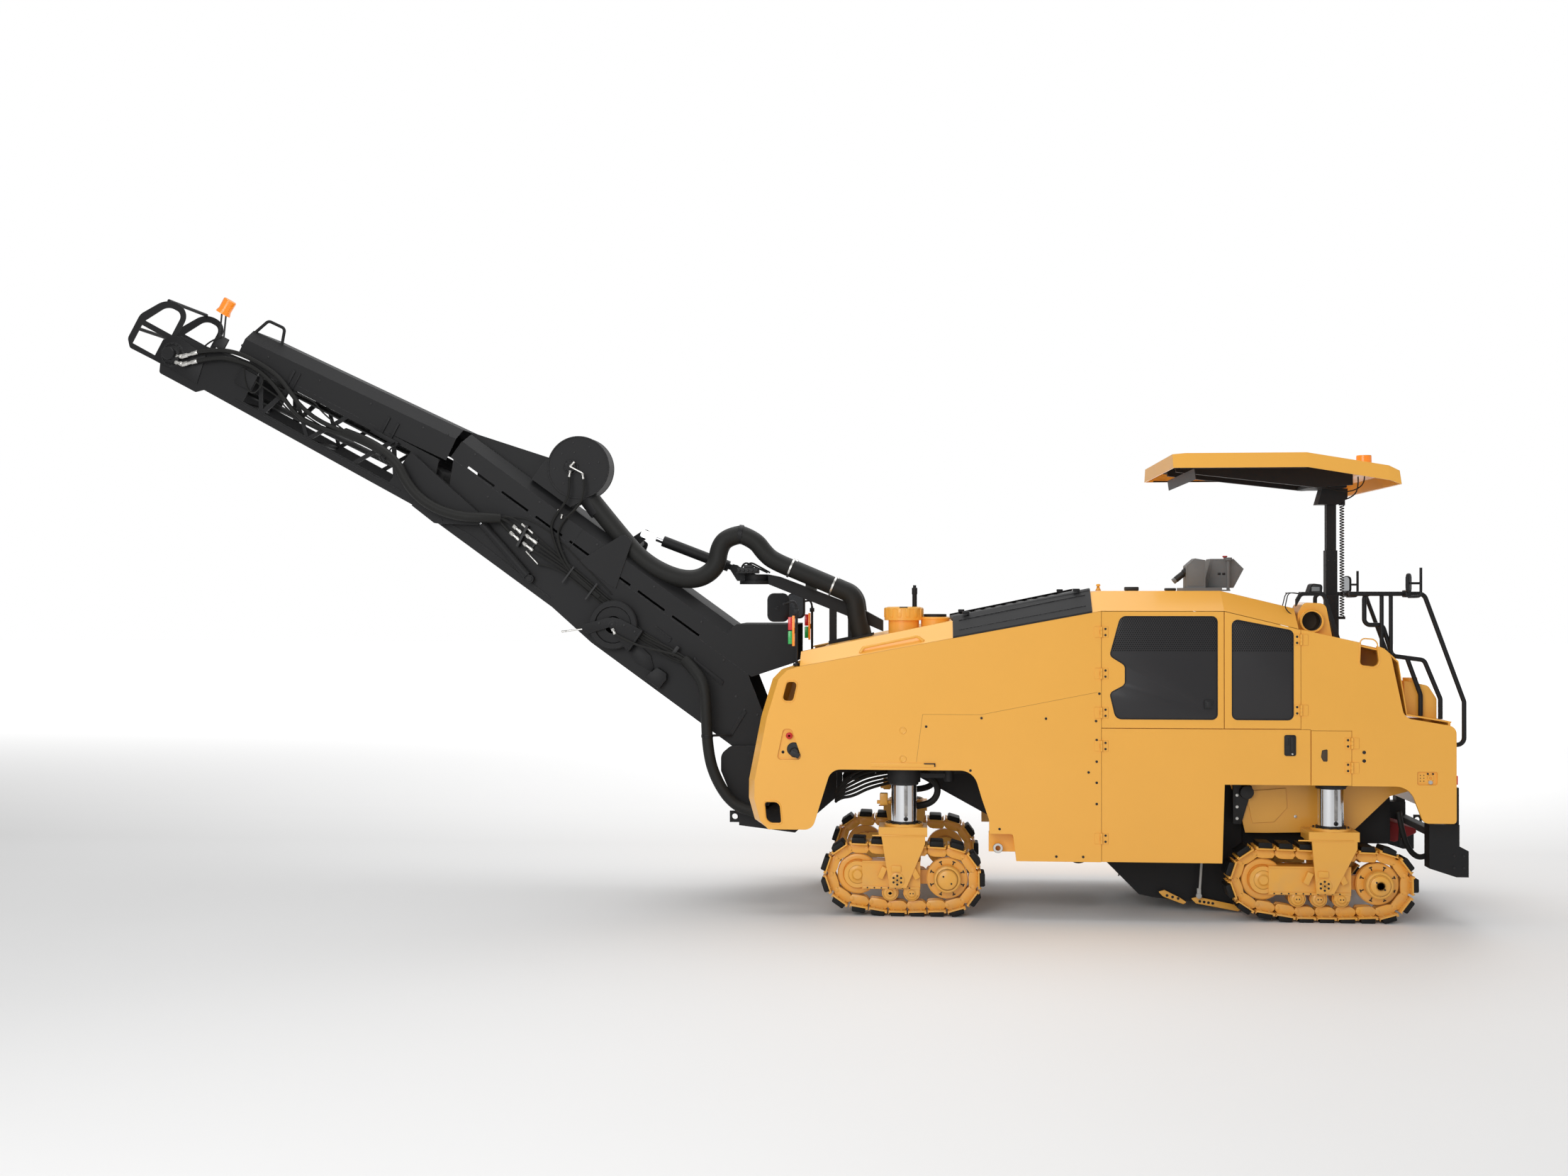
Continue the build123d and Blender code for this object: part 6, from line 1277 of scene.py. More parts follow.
class PLANER_OT_hoses(bpy.types.Operator):
    """Run the suction hose and the hydraulic hoses between the moving parts."""

    bl_idname = "planer.hoses"
    bl_label = "Hoses"

    def suction(self):
        first = hose("suction_hose_fan", SUCTION_LOW, 0.084, 24)
        first.data.materials.append(FINISHES["hose"])
        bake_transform(first)
        second = hose("suction_hose_duct", SUCTION_HIGH, 0.084, 24)
        second.data.materials.append(FINISHES["hose"])
        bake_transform(second)
        band = turned("suction_joint", ((0.084, -0.020), (0.0885, -0.018), (0.0885, 0.018),
                                        (0.084, 0.020)), (-3.720, -0.200, 3.302), (1, 0, -0.12), 36)
        dress(band, "conveyor_slew", "rail_paint")
        # bright clamps where the hoses meet the ducts
        rings = [turned("ring", ((0.084, -0.009), (0.0905, -0.008), (0.0905, 0.008),
                                 (0.084, 0.009)), place, (0.92, 0, -0.39), 36)
                 for y in (-0.2, 0.2) for place in ((-3.262, y, 2.995), (-2.880, y, 2.832))]
        dress(joined("duct_clamps", rings), "machine", "zinc")

    def sleeves(self):
        head = hose("sleeve_head", across_of(SLEEVE_HEAD), 0.046, 20)
        head.data.materials.append(FINISHES["hose"])
        at(upper(0.400, 0.150), -0.6)
        at(lower(3.300, 0.200), -0.6)
        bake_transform(head)
        nose = hose("sleeve_nose", SLEEVE_NOSE, 0.050, 20)
        nose.data.materials.append(FINISHES["hose"])
        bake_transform(nose)
        foot = hose("sleeve_foot", SLEEVE_FOOT_LINE, 0.050, 20)
        foot.data.materials.append(FINISHES["hose"])
        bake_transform(foot)
        cuff = [turned("cuff", ((0.050, -0.012), (0.0535, -0.012), (0.0535, 0.012),
                                (0.050, 0.012)), (-3.975, -0.610, 1.500), (0, 0, 1), 28),
                bar("stay", (-3.955, -0.565, 1.500), (-3.780, -0.470, 1.500), 0.011, 12)]
        dress(joined("sleeve_stay", cuff), "conveyor_slew", "rail_paint")
        guards = [bar("loop", at(upper(u, 0.430), -0.452), at(upper(u, 0.372), -0.600), 0.007, 10)
                  for u in (0.690, 0.730)]
        guards += [bar("loop", at(upper(u, 0.372), -0.600), at(upper(u, 0.255), -0.652), 0.007, 10)
                   for u in (0.690, 0.730)]
        guards += [bar("loop", at(upper(u, 0.255), -0.652), at(upper(u, 0.240), -0.600), 0.007, 10)
                   for u in (0.690, 0.730)]
        dress(joined("sleeve_loops", guards), "conveyor_upper", "rail_paint")

    def bundles(self):
        twins = [hose("twin", [at(upper(u, v), -0.500) for u, v in row], 0.0205, 14)
                 for row in TWINS]
        fine = [hose("fine", [at(upper(u, v), y) for u, v, y in row], 0.0075, 8) for row in (
            ((1.165, 0.300, -0.50), (1.420, 0.330, -0.49), (1.620, 0.420, -0.47), (1.850, 0.360, -0.46)),
            ((1.165, 0.280, -0.49), (1.400, 0.220, -0.48), (1.600, 0.160, -0.47), (1.860, 0.250, -0.46)),
            ((1.165, 0.270, -0.50), (1.330, 0.230, -0.49), (1.520, 0.240, -0.48), (2.150, 0.300, -0.47)),
            ((2.299, 0.360, -0.475), (2.200, 0.200, -0.485), (2.094, 0.190, -0.485),
             (2.075, 0.323, -0.470), (2.120, 0.390, -0.455)),
            ((2.735, 0.360, -0.455), (2.700, 0.450, -0.462), (2.629, 0.505, -0.464)))]
        dress(joined("head_hoses", twins + fine), "conveyor_upper", "hose")
        rows = []
        for index, (a, _, radius) in enumerate(COUPLERS[:2] + COUPLERS[4:5]):
            rows.append(hose("run", across_of([
                (lower, 3.090, 0.383 + 0.012 * (index - 1), -0.512), (lower, 3.020, a[1] + 0.012, -0.488),
                (lower, a[0], a[1], -0.478)]), 0.0135 if radius > 0.012 else 0.008, 10))
        lines = (((2.676, 0.395), 0.394, 0.366, 0.318, 0.012), ((2.669, 0.320), 0.345, 0.330, 0.296, 0.012),
                 ((2.760, 0.447), 0.412, 0.390, 0.336, 0.008), ((2.640, 0.360), 0.370, 0.349, 0.276, 0.010),
                 ((2.560, 0.248), 0.318, 0.308, 0.256, 0.009))
        for index, (start, mid, low, far, radius) in enumerate(lines):
            rows.append(hose("run", across_of([
                (lower, *start, -0.478), (lower, 2.430, mid, -0.478), (lower, 2.200, low + 0.016, -0.476),
                (lower, 1.930, low - 0.006, -0.468), (lower, 1.700, low - 0.022, -0.468),
                (lower, 1.430, far - 0.030, -0.468), (lower, 1.250, far, -0.480),
                (lower, 1.080, 0.350 - 0.022 * index, -0.495),
                (lower, 0.962, 0.352 - 0.012 * index, -0.505)]), radius, 10))
        thin = hose("run", across_of([(lower, 3.080, 0.392, -0.510), (lower, 2.990, 0.470, -0.475),
                                      (lower, 2.857, 0.531, -0.455), (lower, 2.609, 0.547, -0.452),
                                      (lower, 2.345, 0.506, -0.452), (lower, 1.859, 0.420, -0.452)]),
                    0.006, 8)
        fans = [hose("fan_hose", [at(lower(u, v), y) for u, v, y in row], 0.0115, 10)
                for row in FAN_HOSES]
        from_disc = hose("disc_hose", across_of([(lower, 1.612, 0.160, -0.552), (lower, 1.412, 0.185, -0.560),
                                                 (lower, 1.227, 0.262, -0.545), (lower, 1.040, 0.340, -0.530),
                                                 (lower, 0.900, 0.330, -0.525), (lower, 0.800, 0.280, -0.530)]),
                         0.011, 10)
        dress(joined("lower_hoses", rows + fans + [thin, from_disc]), "conveyor_lower", "hose")
        ties = [strip("tie", [lower(u, 0.245), lower(u - 0.004, 0.425)], 0.016, -0.496, -0.502)
                for u in (2.280, 2.020)]
        ties += [shape("tie", lower, ((1.105, 0.300), (1.105, 0.400), (1.070, 0.400), (1.070, 0.300)),
                       -0.480, -0.512, 0.003)]
        dress(joined("hose_ties", ties), "conveyor_lower", "black")

    def valves(self):
        body = [block("valve", (-3.760, -0.165, 2.948), (-3.560, -0.075, 3.000), 0.006),
                block("valve", (-3.700, -0.150, 2.998), (-3.610, -0.085, 3.026), 0.005)]
        ends = [bar("stud", (x, -0.165, 2.975), (x, -0.182, 2.975), 0.013, 6, 0.001)
                for x in (-3.740, -3.700, -3.660, -3.620, -3.580)]
        dress(joined("lift_valve", body + ends), "conveyor_slew", "black")
        loops = [hose("loop", ((-3.720 + d, -0.125, 2.998), (-3.700 + d, -0.130, 3.060),
                               (-3.600 + d, -0.140, 3.010), (-3.480 + d * 0.5, -0.150, 2.955)),
                      0.009, 8) for d in (0.0, 0.045)]
        dress(joined("valve_hoses", loops), "conveyor_slew", "hose")

    def execute(self, context):
        self.suction()
        self.sleeves()
        self.bundles()
        self.valves()
        return {"FINISHED"}


# ------------------------------------------------------------------ roof, station and canopy
DECK = ((-3.117, 2.141, 0.120, 0.150), (-0.568, 2.616, 0.170, 0.180))
RAIL_TOP, RAIL_Y = 2.762, 0.950
CORD_X, CORD_FOOT, CORD_HEAD = 1.673, 2.560, 3.555


def deck(x):
    """Height of the side's upper edge, and the bevel's rise and depth above it."""
    (x0, *low), (x1, *high) = DECK
    share = min(1.0, (x - x0) / (x1 - x0))
    return [a + (b - a) * share for a, b in zip(low, high)]


def skin(name, sections, thick):
    """Sheet through rows of points, given a thickness."""
    rest()
    bpy.ops.mesh.primitive_grid_add(x_subdivisions=len(sections[0]) - 1,
                                    y_subdivisions=len(sections) - 1)
    piece = newest(name)
    for vertex, place in zip(piece.data.vertices, [p for row in sections for p in row]):
        vertex.co = place
    solid = piece.modifiers.new("thickness", "SOLIDIFY")
    solid.thickness, solid.offset, solid.use_even_offset = thick, 0.0, True
    only(piece)
    bpy.ops.object.modifier_apply(modifier=solid.name)
    bpy.ops.object.mode_set(mode="EDIT")
    bpy.ops.mesh.select_all(action="SELECT")
    bpy.ops.mesh.normals_make_consistent(inside=False)
    return settle(piece)


def turned_about(piece, place, axis, angle):
    """Turns a settled piece about a place."""
    piece.data.transform(Matrix.Translation(place) @ Matrix.Rotation(angle, 4, axis)
                         @ Matrix.Translation(-Vector(place)))
    return piece


class PLANER_OT_roof(bpy.types.Operator):
    """Fit the hood's side panels, filler lids, roof fittings and the air intake."""

    bl_idname = "planer.roof"
    bl_label = "Roof"

    def hood(self):
        for name, side in SIDES:
            sections = []
            for x in (-1.812, -0.643):
                edge, rise, inward = deck(x)
                sections.append([(x, side * (HALF - 0.001), edge + 0.001),
                                 (x, side * (HALF - 0.004), edge + 0.014),
                                 (x, side * (HALF - inward), edge + rise + 0.010),
                                 (x, side * (HALF - inward - 0.030), edge + rise + 0.034),
                                 (x, side * (HALF - 0.300), edge + rise + 0.038)])
            cheek = skin("cheek", sections, 0.006)
            lines = []
            for share, width in ((0.30, 0.010), (0.86, 0.014)):
                row = []
                for x in (-1.760, -0.690):
                    edge, rise, inward = deck(x)
                    row.append(Vector((x, side * (HALF - 0.004 - (inward - 0.004) * share),
                                       edge + 0.018 + (rise - 0.004) * share)))
                lines.append(bar("line", row[0], row[1], width / 2, 8))
            tabs = []
            for x in (-1.700, -0.760):
                edge, rise, inward = deck(x)
                tabs.append(block("tab", (x - 0.030, side * (HALF - inward - 0.010) - 0.012,
                                          edge + rise + 0.034),
                                  (x + 0.030, side * (HALF - inward - 0.010) + 0.012,
                                   edge + rise + 0.060), 0.006))
            dress(joined(f"hood_cheek_{name}", [cheek, *lines, *tabs]), "machine", "rail_paint")

    def lids(self):
        x, y = -2.235, -0.560
        ribs = [block("rib", (0.165, -0.018, 2.556), (0.174, 0.018, 2.634), 0.004)
                for _ in range(1)]
        ring = copies(ribs[0], "ribs", [Matrix.Translation((x, y, 0)) @ Matrix.Rotation(
            2 * pi * k / 14, 4, "Z") for k in range(14)])
        crown = turned("crown", ((0.0, 0.008), (0.140, 0.008), (0.152, 0.003), (0.168, 0.0),
                                 (0.172, -0.006), (0.172, -0.010)), (x, y, 2.640), (0, 0, 1), 56)
        collar = turned("collar", ((0.136, 0.0), (0.142, 0.002), (0.142, 0.018), (0.136, 0.020)),
                        (x, y, 2.390), (0, 0, 1), 48)
        dress(joined("filler_lid", [ring, crown, collar]), "machine", "body_paint")
        # black block in the lid's slot: painted shade of the slot
        slot = block("lid_slot", (x - 0.035, y - 0.170, 2.6405), (x + 0.035, y - 0.120, 2.6495), 0.003)
        dress(slot, "machine", "black")
        x = -1.960
        rear = turned("rear_rim", ((0.124, 0.0), (0.132, 0.004), (0.132, 0.018), (0.124, 0.022)),
                      (x, y, 2.535), (0, 0, 1), 48)
        dress(rear, "machine", "body_paint")
        stub = [turned("stub", ((0.0, 0.196), (0.014, 0.196), (0.014, 0.176), (0.024, 0.172),
                                (0.024, 0.120), (0.0205, 0.112), (0.0205, 0.0)),
                       (-2.140, y, 2.642), (0, 0, 1), 24)]
        dress(joined("vent_stub", stub), "machine", "rail_paint")
        # small knob and flat boxes at the roof's edge
        knob = turned("roof_knob", ((0.0, 0.060), (0.014, 0.058), (0.020, 0.044), (0.010, 0.036),
                                    (0.010, 0.012), (0.024, 0.008), (0.024, 0.0)),
                      (-0.565, -0.800, 2.788), (0, 0, 1), 20)
        dress(knob, "machine", "body_paint")
        boxes = [block("box", (-0.335, -0.800, 2.787), (-0.220, -0.700, 2.822), 0.008),
                 block("box", (0.020, -0.700, 2.787), (0.110, -0.600, 2.812), 0.008)]
        dress(joined("roof_boxes", boxes), "machine", "black")

    def intake(self):
        x, y, z = 1.187, -1.000, 2.533
        lip = turned("lip", ((0.080, 0.0), (0.096, 0.0), (0.100, 0.006), (0.100, 0.020),
                             (0.096, 0.026)), (x, y + 0.016, z), (0, -1, 0), 48)
        dress(joined("intake_lip", [lip]), "machine", "body_paint")
        # dark brown lining: painted shade inside the intake
        lining = turned("intake_lining", ((0.080, 0.0), (0.0795, -0.002), (0.0795, -0.180),
                                          (0.0, -0.182), (0.0, -0.178), (0.0785, -0.176)),
                        (x, y + 0.002, z), (0, -1, 0), 40)
        dress(lining, "machine", "pocket")
        wires = [hose("wire", points, 0.0045, 8) for points in (
            ((1.129, -0.930, 2.757), (1.060, -0.940, 2.772), (1.002, -0.950, 2.768),
             (0.985, -0.955, 2.700), (0.971, -0.955, 2.627), (1.040, -0.955, 2.580)),
            ((1.129, -0.850, 2.757), (1.060, -0.850, 2.772), (1.002, -0.850, 2.768),
             (0.985, -0.850, 2.700), (0.971, -0.850, 2.640)))]
        wires.append(bar("wire", (1.002, -0.950, 2.768), (1.002, -0.850, 2.768), 0.0045, 8))
        dress(joined("intake_wires", wires), "machine", "rail_paint")
        lamp = [plate("lamp", rounded(((1.190, 2.778, 0.006), (1.272, 2.760, 0.006),
                                       (1.286, 2.832, 0.018), (1.208, 2.850, 0.020))),
                      -0.946, -0.790, 0.005)]
        dress(joined("work_lamp", lamp), "machine", "black")
        pane = block("lamp_pane", (1.196, -0.9475, 2.785), (1.262, -0.9440, 2.820), 0.001)
        dress(pane, "machine", "grey")

    def execute(self, context):
        self.hood()
        self.lids()
        self.intake()
        return {"FINISHED"}


class PLANER_OT_station(bpy.types.Operator):
    """Dress the console, mirrors, lamps, canopy and the coiled cord."""

    bl_idname = "planer.station"
    bl_label = "Station and canopy"

    def console(self):
        screen = plate("screen", rounded(((0.470, 2.828, 0.012), (0.690, 2.826, 0.012),
                                          (0.766, 2.975, 0.012), (0.694, 3.058, 0.012),
                                          (0.520, 3.058, 0.012))), -0.1125, -0.1085, 0.001)
        side_lid = plate("lid", rounded(((0.268, 2.830, 0.008), (0.408, 2.830, 0.008),
                                         (0.408, 3.046, 0.010), (0.332, 3.060, 0.010),
                                         (0.268, 3.002, 0.010))), -0.3225, -0.3185, 0.001)
        dress(joined("console_seams", [screen, side_lid]), "machine", "grey")
        grip = [turned("grip", ((0.0, 0.145), (0.020, 0.140), (0.028, 0.110), (0.0275, 0.030),
                                (0.034, 0.020), (0.034, 0.0)), (0.262, -0.240, 2.960),
                       (-0.78, 0, -0.63), 28),
                bar("base", (0.262, -0.240, 2.960), (0.300, -0.240, 2.990), 0.036, 24, 0.004)]
        keys = [block("key", (0.560 + 0.040 * k, -0.1165, 2.930), (0.586 + 0.040 * k, -0.112, 2.950),
                      0.0015) for k in range(3)]
        dress(joined("console_grip", grip + keys), "machine", "black")
        stop = turned("console_stop", ((0.0, 0.030), (0.020, 0.028), (0.024, 0.020), (0.012, 0.012),
                                       (0.012, 0.0)), (0.640, -0.020, 3.075), (0, 0, 1), 24)
        dress(stop, "machine", "button")

    def mirrors(self):
        dark, lights = [], {"red": [], "green": [], "amber": [], "glass": []}
        for _, side in SIDES:
            y = side * 1.000
            dark += [bar("post", (-3.150, y, 2.142), (-3.150, y, 2.640), 0.012, 16),
                     hose("arm", ((-3.150, y, 2.630), (-3.155, y, 2.690), (-3.200, y, 2.700),
                                  (-3.300, y * 0.985, 2.660)), 0.010, 12),
                     bar("foot", (-3.150, y, 2.142), (-3.150, y, 2.165), 0.030, 24, 0.004),
                     block("clamp", (-3.172, y - 0.022, 2.585), (-3.128, y + 0.022, 2.625), 0.006)]
            head = plate("head", oblong(-3.307, 2.644, 0.200, 0.248, 0.060), y - 0.016, y + 0.016, 0.012)
            dark.append(turned_about(head, (-3.307, y, 2.644), "Z", -side * 0.44))
            pane = plate("pane", oblong(-3.307, 2.644, 0.176, 0.224, 0.052), y - side * 0.0165,
                         y - side * 0.0185, 0.0)
            lights["glass"].append(turned_about(pane, (-3.307, y, 2.644), "Z", -side * 0.44))
            knob = bar("knob", (-3.324, y + side * 0.004, 2.638), (-3.324, y + side * 0.028, 2.638),
                       0.018, 6, 0.003)
            dark.append(turned_about(knob, (-3.307, y, 2.644), "Z", -side * 0.44))
            # strip of lamps: red over green on an orange plate
            # the orange plate takes the glowing amber finish: painted light on a plate that is no lamp
            lights["amber"].append(block("plate", (-3.186, y - 0.027, 2.313), (-3.166, y + 0.027, 2.574),
                                         0.003))
            for key, low, high in (("red", 2.450, 2.562), ("green", 2.330, 2.442)):
                lights[key].append(block(key, (-3.222, y - 0.024, low), (-3.187, y + 0.024, high), 0.005))
            dark.append(block("bracket", (-3.167, y - 0.010, 2.420), (-3.140, y + 0.010, 2.470), 0.003))
            dark.append(block("plinth", (2.3400, side * 1.020 - 0.040, 1.180),
                              (2.3410, side * 1.020 + 0.040, 1.250), 0.0))
            # rear mirror on its cranked post
            y = side * 1.032
            dark.append(block("clamp", (1.940, min(side * 0.928, side * 1.044), RAIL_TOP - 0.030),
                              (1.985, max(side * 0.928, side * 1.044), RAIL_TOP + 0.030), 0.008))
            dark.append(hose("post", ((1.962, y, 2.738), (2.030, y, 2.737), (2.067, y, 2.745),
                                      (2.067, y, 2.850), (2.067, y, 2.980)), 0.012, 12))
            dark.append(bar("stem", (1.990, y, 2.850), (2.067, y, 2.850), 0.010, 12))
            head = plate("head", oblong(1.968, 2.850, 0.100, 0.166, 0.040), y - 0.012, y + 0.012, 0.008)
            dark.append(turned_about(head, (1.968, y, 2.850), "Z", -side * 1.00))
            pane = plate("pane", oblong(1.968, 2.850, 0.084, 0.148, 0.034), y - side * 0.0125,
                         y - side * 0.0140, 0.0)
            lights["glass"].append(turned_about(pane, (1.968, y, 2.850), "Z", -side * 1.00))
        group = dress(joined("mirror_posts", dark), "machine", "rail_paint")
        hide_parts("mirrors_and_lamps")
        for key, pieces in lights.items():
            dress(joined(f"mirror_{key}", pieces), "machine", key)

    def canopy(self):
        shell = turned("canopy_beacon", ((0.0, 0.1275), (0.050, 0.1275), (0.064, 0.122), (0.066, 0.040),
                                         (0.074, 0.030), (0.075, 0.0), (0.0, 0.0)),
                       (1.790, -0.300, 3.849), (0, 0, 1), 40)
        dress(shell, "canopy", "amber")
        flap = skin("flap", [[(0.250, y, 3.835) for y in (-0.800, 0.800)],
                             [(0.262, y, 3.742) for y in (-0.800, 0.800)]], 0.006)
        seal = [bar("seal", (0.125, -0.878, 3.833), (1.170, -0.878, 3.833), 0.007, 8),
                bar("seal", (0.125, 0.878, 3.833), (1.170, 0.878, 3.833), 0.007, 8)]
        dress(joined("canopy_flap", [flap, *seal]), "canopy", "black")
        wires = [hose("wire", points, 0.006, 8) for points in (
            ((1.480, -0.230, 3.705), (1.600, -0.270, 3.655), (1.720, -0.300, 3.670),
             (1.800, -0.320, 3.740), (1.790, -0.310, 3.830)),
            ((1.673, -0.020, 3.600), (1.720, -0.120, 3.610), (1.760, -0.250, 3.680),
             (1.740, -0.300, 3.790)))]
        dress(joined("canopy_wires", wires), "canopy", "hose")
        top = bolts("canopy_bolts", [(x, y, 3.9605) for x in (0.300, 0.730, 1.130) for y in
                                     (-0.700, -0.260, 0.260, 0.700)], (0, 0, 1), 0.010, 14)
        dress(top, "canopy", "zinc")
        caps = [bolts("mast_bolts", [(1.522 + dx, side * 0.050, z) for dx in (0.022, 0.078)
                                     for z in (2.350, 2.700, 3.060)], (0, side, 0), 0.010, 14)
                for _, side in SIDES]
        dress(joined("mast_bolts", caps), "machine", "black")

    def cord(self):
        turns = 40
        points = [(CORD_X + 0.0185 * cos(2 * pi * k / 8), 0.0185 * sin(2 * pi * k / 8),
                   CORD_FOOT + 0.004 + (CORD_HEAD - CORD_FOOT - 0.008) * k / (8 * turns))
                  for k in range(8 * turns + 1)]
        coil = hose("coiled_cord", points, 0.0052, 8)
        coil.data.materials.append(FINISHES["black"])
        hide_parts("curly_cord")
        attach(coil, "machine")
        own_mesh(coil)

    def execute(self, context):
        self.console()
        self.mirrors()
        self.canopy()
        self.cord()
        return {"FINISHED"}


# ------------------------------------------------------------------ arches, skids and rear end
class PLANER_OT_under(bpy.types.Operator):
    """Fit the hoses and valves in the arches, the skids' plates and the rear step's fittings."""

    bl_idname = "planer.under"
    bl_label = "Arches and rear end"

    def front_arch(self, name, side):
        y = side * 0.640
        ends = [hose("arch_hose", ((-2.330, y, 1.260 - 0.030 * k), (-2.520, y * 1.06, 1.252 - 0.036 * k),
                                   (-2.680, y * 1.12, 1.190 - 0.040 * k),
                                   (-2.790, y * 1.14, 1.090 - 0.022 * k),
                                   (-2.830, y * 1.10, 1.010 - 0.014 * k)), 0.014, 10)
                for k in range(6)]
        duct = hose("arch_duct", ((-2.060, y, 1.200), (-1.990, y, 1.150), (-1.930, y, 1.060),
                                  (-1.960, y, 0.960), (-2.060, y, 0.905), (-2.180, y, 0.900)),
                    0.030, 16)
        dress(joined(f"arch_hoses_{name}", ends + [duct]), "machine", "hose")
        steps = [nut("fit", (-2.330, y, 1.260 - 0.030 * k), (-2.260, y, 1.262 - 0.030 * k), 0.016)
                 for k in range(6)]
        dress(joined(f"arch_fittings_{name}", steps), "machine", "black")
        holder = [block("holder", (-2.270, min(y, side * 0.560), 1.080),
                        (-2.240, max(y + side * 0.030, side * 0.560), 1.300), 0.004),
                  block("valve", (-2.445, side * 0.600 - 0.035, 0.905), (-2.375, side * 0.600 + 0.035, 1.010),
                        0.008),
                  bar("knob", (-2.470, side * 0.600, 0.930), (-2.350, side * 0.600, 0.930), 0.016, 20, 0.003)]
        dress(joined(f"arch_valve_{name}", holder), "machine", "body_paint")

    def rear_arch(self, name, side):
        face = side * 0.665
        motor = [bar("motor", (0.700, face, 1.060), (0.700, face + side * 0.080, 1.060), 0.058, 32, 0.006),
                 plate("bracket", rounded(((0.590, 0.780, 0.01), (0.660, 0.780, 0.01),
                                           (0.760, 1.110, 0.02), (0.590, 1.150, 0.02))),
                       face - side * 0.006, face + side * 0.020, 0.003)]
        dress(joined(f"arch_motor_{name}", motor), "machine", "black")
        dress(bolts(f"arch_bolts_{name}", [(0.625, face + side * 0.020, 0.830), (0.625, face + side * 0.020, 0.930),
                                           (0.625, face + side * 0.020, 1.030), (0.960, face, 1.150),
                                           (1.120, face, 0.850), (1.900, face, 1.150)],
                    (0, side, 0), 0.011, 12), "machine", "zinc")

    def skids(self):
        pieces, holes = [], []
        for toe, heel, z_toe, z_heel, count in ((-0.030, 0.215, 0.130, 0.066, 3),
                                                (0.250, 0.680, 0.075, 0.012, 4)):
            for _, side in SIDES:
                lean = (z_heel - z_toe) / (heel - toe)
                y0, y1 = side * 0.5785, side * 0.5900
                rows = ((toe, z_toe + 0.044, 0.006), (toe + 0.042, z_toe + 0.002, 0.006),
                        (heel - 0.030, z_heel + 0.002, 0.006), (heel - 0.002, z_heel + 0.020, 0.006),
                        (heel - 0.062, z_heel + 0.060, 0.010), (toe + 0.052, z_toe + 0.060, 0.010))
                pieces.append(plate("skid", rounded(rows), y0, y1, 0.002))
                for k in range(count):
                    x = toe + 0.075 + (min(heel - toe, 0.260) - 0.150) * k / (count - 1)
                    z = z_toe + 0.032 + lean * (x - toe)
                    # black discs: painted shade of the skid plates' holes
                    holes.append(bar("hole", (x, y1, z), (x, y1 + side * 0.0012, z), 0.012, 20))
        dress(joined("skid_plates", pieces), "machine", "body_paint")
        dress(joined("skid_holes", holes), "machine", "black")
        links = []
        for _, side in SIDES:
            y = side * 0.620
            links += [bar("link", (0.318, y, 0.170), (0.352, y, 0.700), 0.011, 16),
                      bar("eye", (0.312, y - 0.018, 0.150), (0.312, y + 0.018, 0.150), 0.024, 24, 0.003),
                      block("clevis", (0.296, y - 0.014, 0.150), (0.330, y + 0.014, 0.215), 0.005)]
        dress(joined("skid_links", links), "machine", "pale")

    def rear_end(self):
        red = plate("rear_plate", rounded(((1.903, 0.797, 0.03), (2.238, 0.705, 0.03),
                                           (2.238, 0.668, 0.02), (2.050, 0.586, 0.03),
                                           (1.890, 0.640, 0.03))), -0.290, 0.290, 0.006)
        dress(red, "machine", "maroon")
        hoops = []
        for _, side in SIDES:
            y = side * 0.640
            hoops.append(hose("hoop", ((1.990, y, 0.900), (2.020, y, 0.700), (2.100, y, 0.530),
                                       (2.200, y, 0.500), (2.270, y, 0.560)), 0.024, 14))
            hoops.append(bar("rod", (2.024, y - side * 0.05, 0.888), (2.010, y - side * 0.05, 0.600), 0.012, 14))
        dress(joined("rear_hoops", hoops), "machine", "hose")
        ends = [bolts("step_bolts", [(x, side * 0.875, z) for x in (2.380, 2.460) for z in (0.460, 0.560)]
                      + [(2.385, side * 0.860, z) for z in (0.760, 0.920, 1.080)],
                      (0, side, 0), 0.011, 12) for _, side in SIDES]
        dress(joined("step_bolts", ends), "machine", "black")
        treads = [block("tread", (2.350, -0.700, z), (2.425, 0.700, z + 0.0012), 0.0)
                  for z in (0.7002, 1.0902)]
        dress(joined("step_treads", treads), "machine", "pad")

    def execute(self, context):
        for name, side in SIDES:
            self.front_arch(name, side)
            self.rear_arch(name, side)
        self.skids()
        self.rear_end()
        return {"FINISHED"}


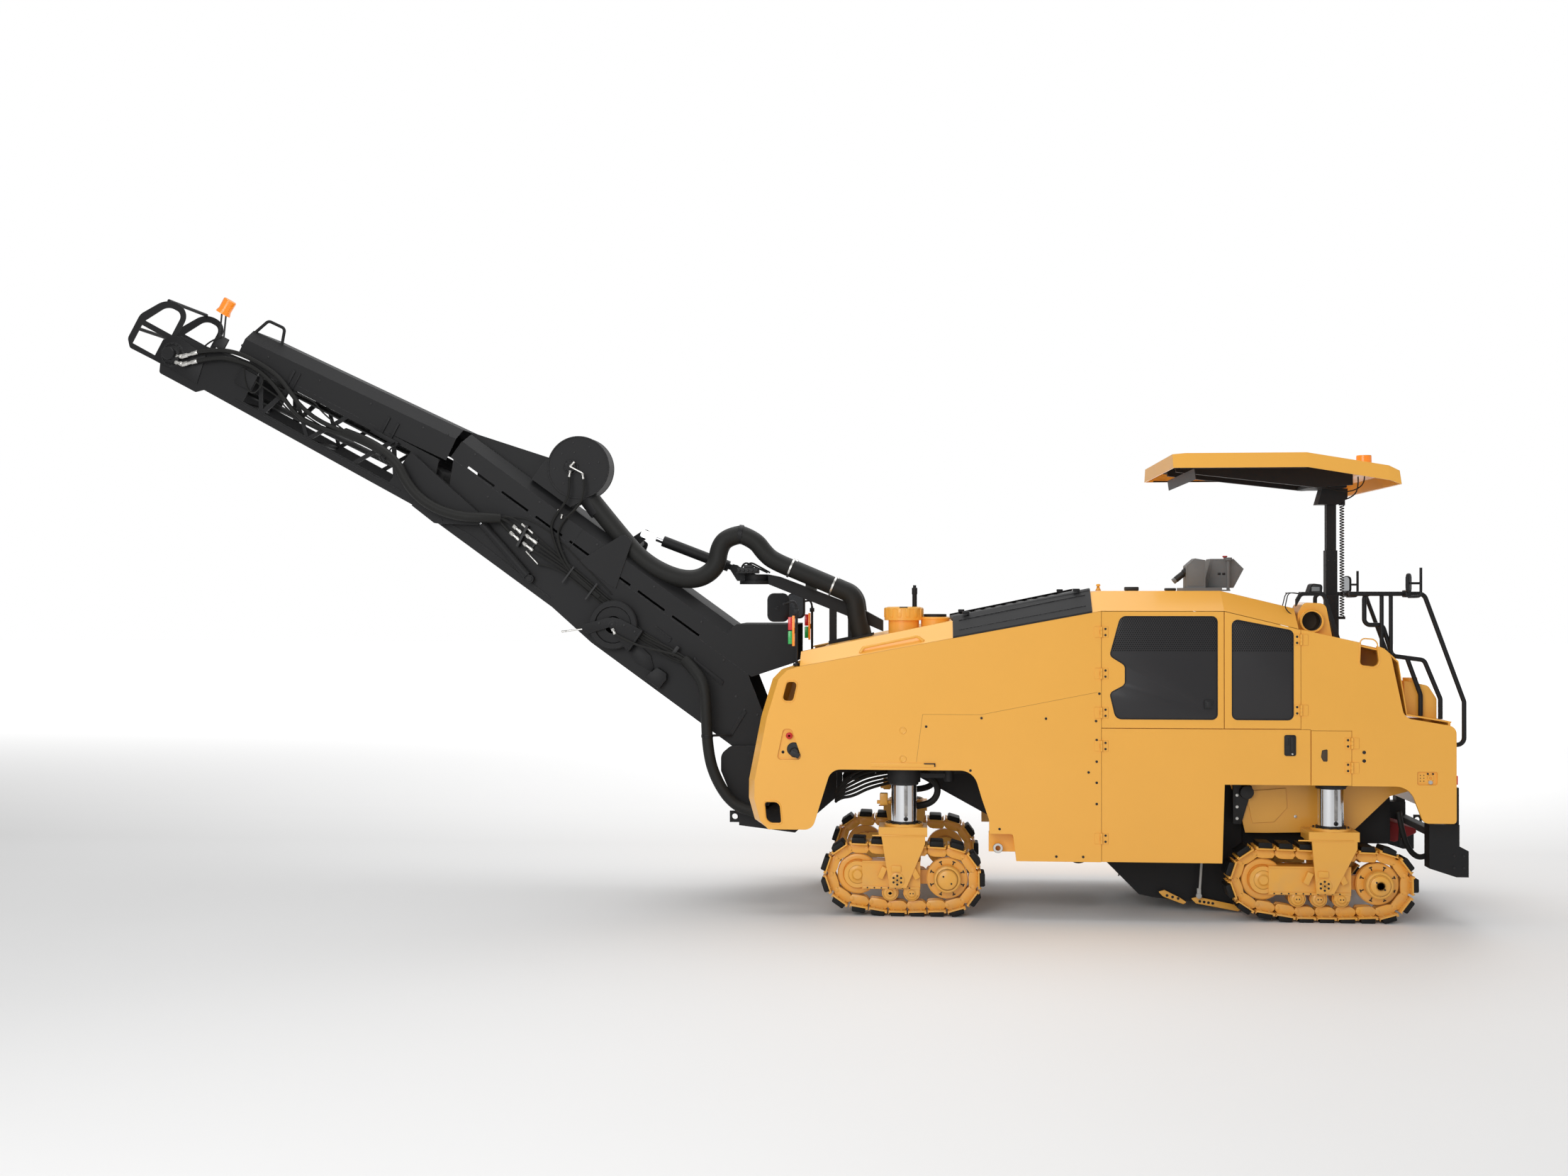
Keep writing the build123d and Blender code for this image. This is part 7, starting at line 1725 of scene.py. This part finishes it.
# ------------------------------------------------------------------ stage
class PLANER_OT_stage(bpy.types.Operator):
    """Set the floor, the lights, the surroundings and the camera."""

    bl_idname = "planer.stage"
    bl_label = "Stage"

    def execute(self, context):
        stage = context.scene.planer_stage
        rest()
        bpy.ops.mesh.primitive_plane_add(size=160, location=(0, 0, 0))
        floor = newest("floor")
        only(floor)
        bpy.ops.object.transform_apply(location=True, rotation=True, scale=True)
        floor.data.materials.append(FINISHES["floor"])
        lights = (("key", (-2.0, 3.0, 13.0), 14.0, stage.key),
                  ("fill", (-7.0, -15.0, 7.0), 9.0, stage.fill),
                  ("back", (4.0, 13.0, 9.0), 8.0, stage.key * 0.3))
        for name, place, size, strength in lights:
            bpy.ops.object.light_add(type="AREA", location=place)
            light = bpy.context.active_object
            light.name = f"{name}_light"
            light.data.size, light.data.energy = size, strength
            aim = Vector((-1.5, 0, 1.4)) - Vector(place)
            light.rotation_euler = aim.to_track_quat("-Z", "Y").to_euler()
        world = bpy.data.worlds.new("surroundings")
        world.use_nodes = True
        tree = world.node_tree
        seen = tree.nodes.new("ShaderNodeLightPath").outputs["Is Camera Ray"]
        bright = tree.nodes.new("ShaderNodeMapRange")
        bright.inputs["To Min"].default_value = stage.world
        bright.inputs["To Max"].default_value = 1.0
        tree.links.new(seen, bright.inputs["Value"])
        backing = tree.nodes["Background"]
        backing.inputs["Color"].default_value = (1.0, 1.0, 1.0, 1.0)
        tree.links.new(bright.outputs["Result"], backing.inputs["Strength"])
        context.scene.world = world
        context.scene.view_settings.view_transform = "Standard"
        bpy.ops.object.camera_add(location=(-2.048, -15.474, 2.760),
                                  rotation=(radians(90.205), 0, radians(4.78)))
        camera = bpy.context.active_object
        camera.data.lens = stage.lens
        context.scene.camera = camera
        return {"FINISHED"}


STEPS = (PLANER_OT_finishes, PLANER_OT_tracks, PLANER_OT_panels, PLANER_OT_gear,
         PLANER_OT_conveyor, PLANER_OT_hoses, PLANER_OT_roof, PLANER_OT_station,
         PLANER_OT_under, PLANER_OT_stage)


class PLANER_PT_panel(bpy.types.Panel):
    """The planer's pieces and their sizes."""

    bl_label = "Cold planer"
    bl_idname = "PLANER_PT_panel"
    bl_space_type = "VIEW_3D"
    bl_region_type = "UI"
    bl_category = "Planer"

    def draw(self, context):
        for settings in (context.scene.planer_paint, context.scene.planer_track,
                         context.scene.planer_stage):
            box = self.layout.box()
            for key in settings.bl_rna.properties.keys():
                if key not in ("rna_type", "name"):
                    box.prop(settings, key)
        for step in STEPS:
            self.layout.operator(step.bl_idname)


CLASSES = (PaintSettings, TrackSettings, StageSettings, *STEPS, PLANER_PT_panel)


def register():
    for cls in CLASSES:
        bpy.utils.register_class(cls)
    bpy.types.Scene.planer_paint = PointerProperty(type=PaintSettings)
    bpy.types.Scene.planer_track = PointerProperty(type=TrackSettings)
    bpy.types.Scene.planer_stage = PointerProperty(type=StageSettings)


def unregister():
    del bpy.types.Scene.planer_stage
    del bpy.types.Scene.planer_track
    del bpy.types.Scene.planer_paint
    for cls in reversed(CLASSES):
        bpy.utils.unregister_class(cls)


def main():
    register()
    for step in STEPS:
        group, _, operation = step.bl_idname.partition(".")
        getattr(getattr(bpy.ops, group), operation)()


if __name__ == "__main__":
    main()
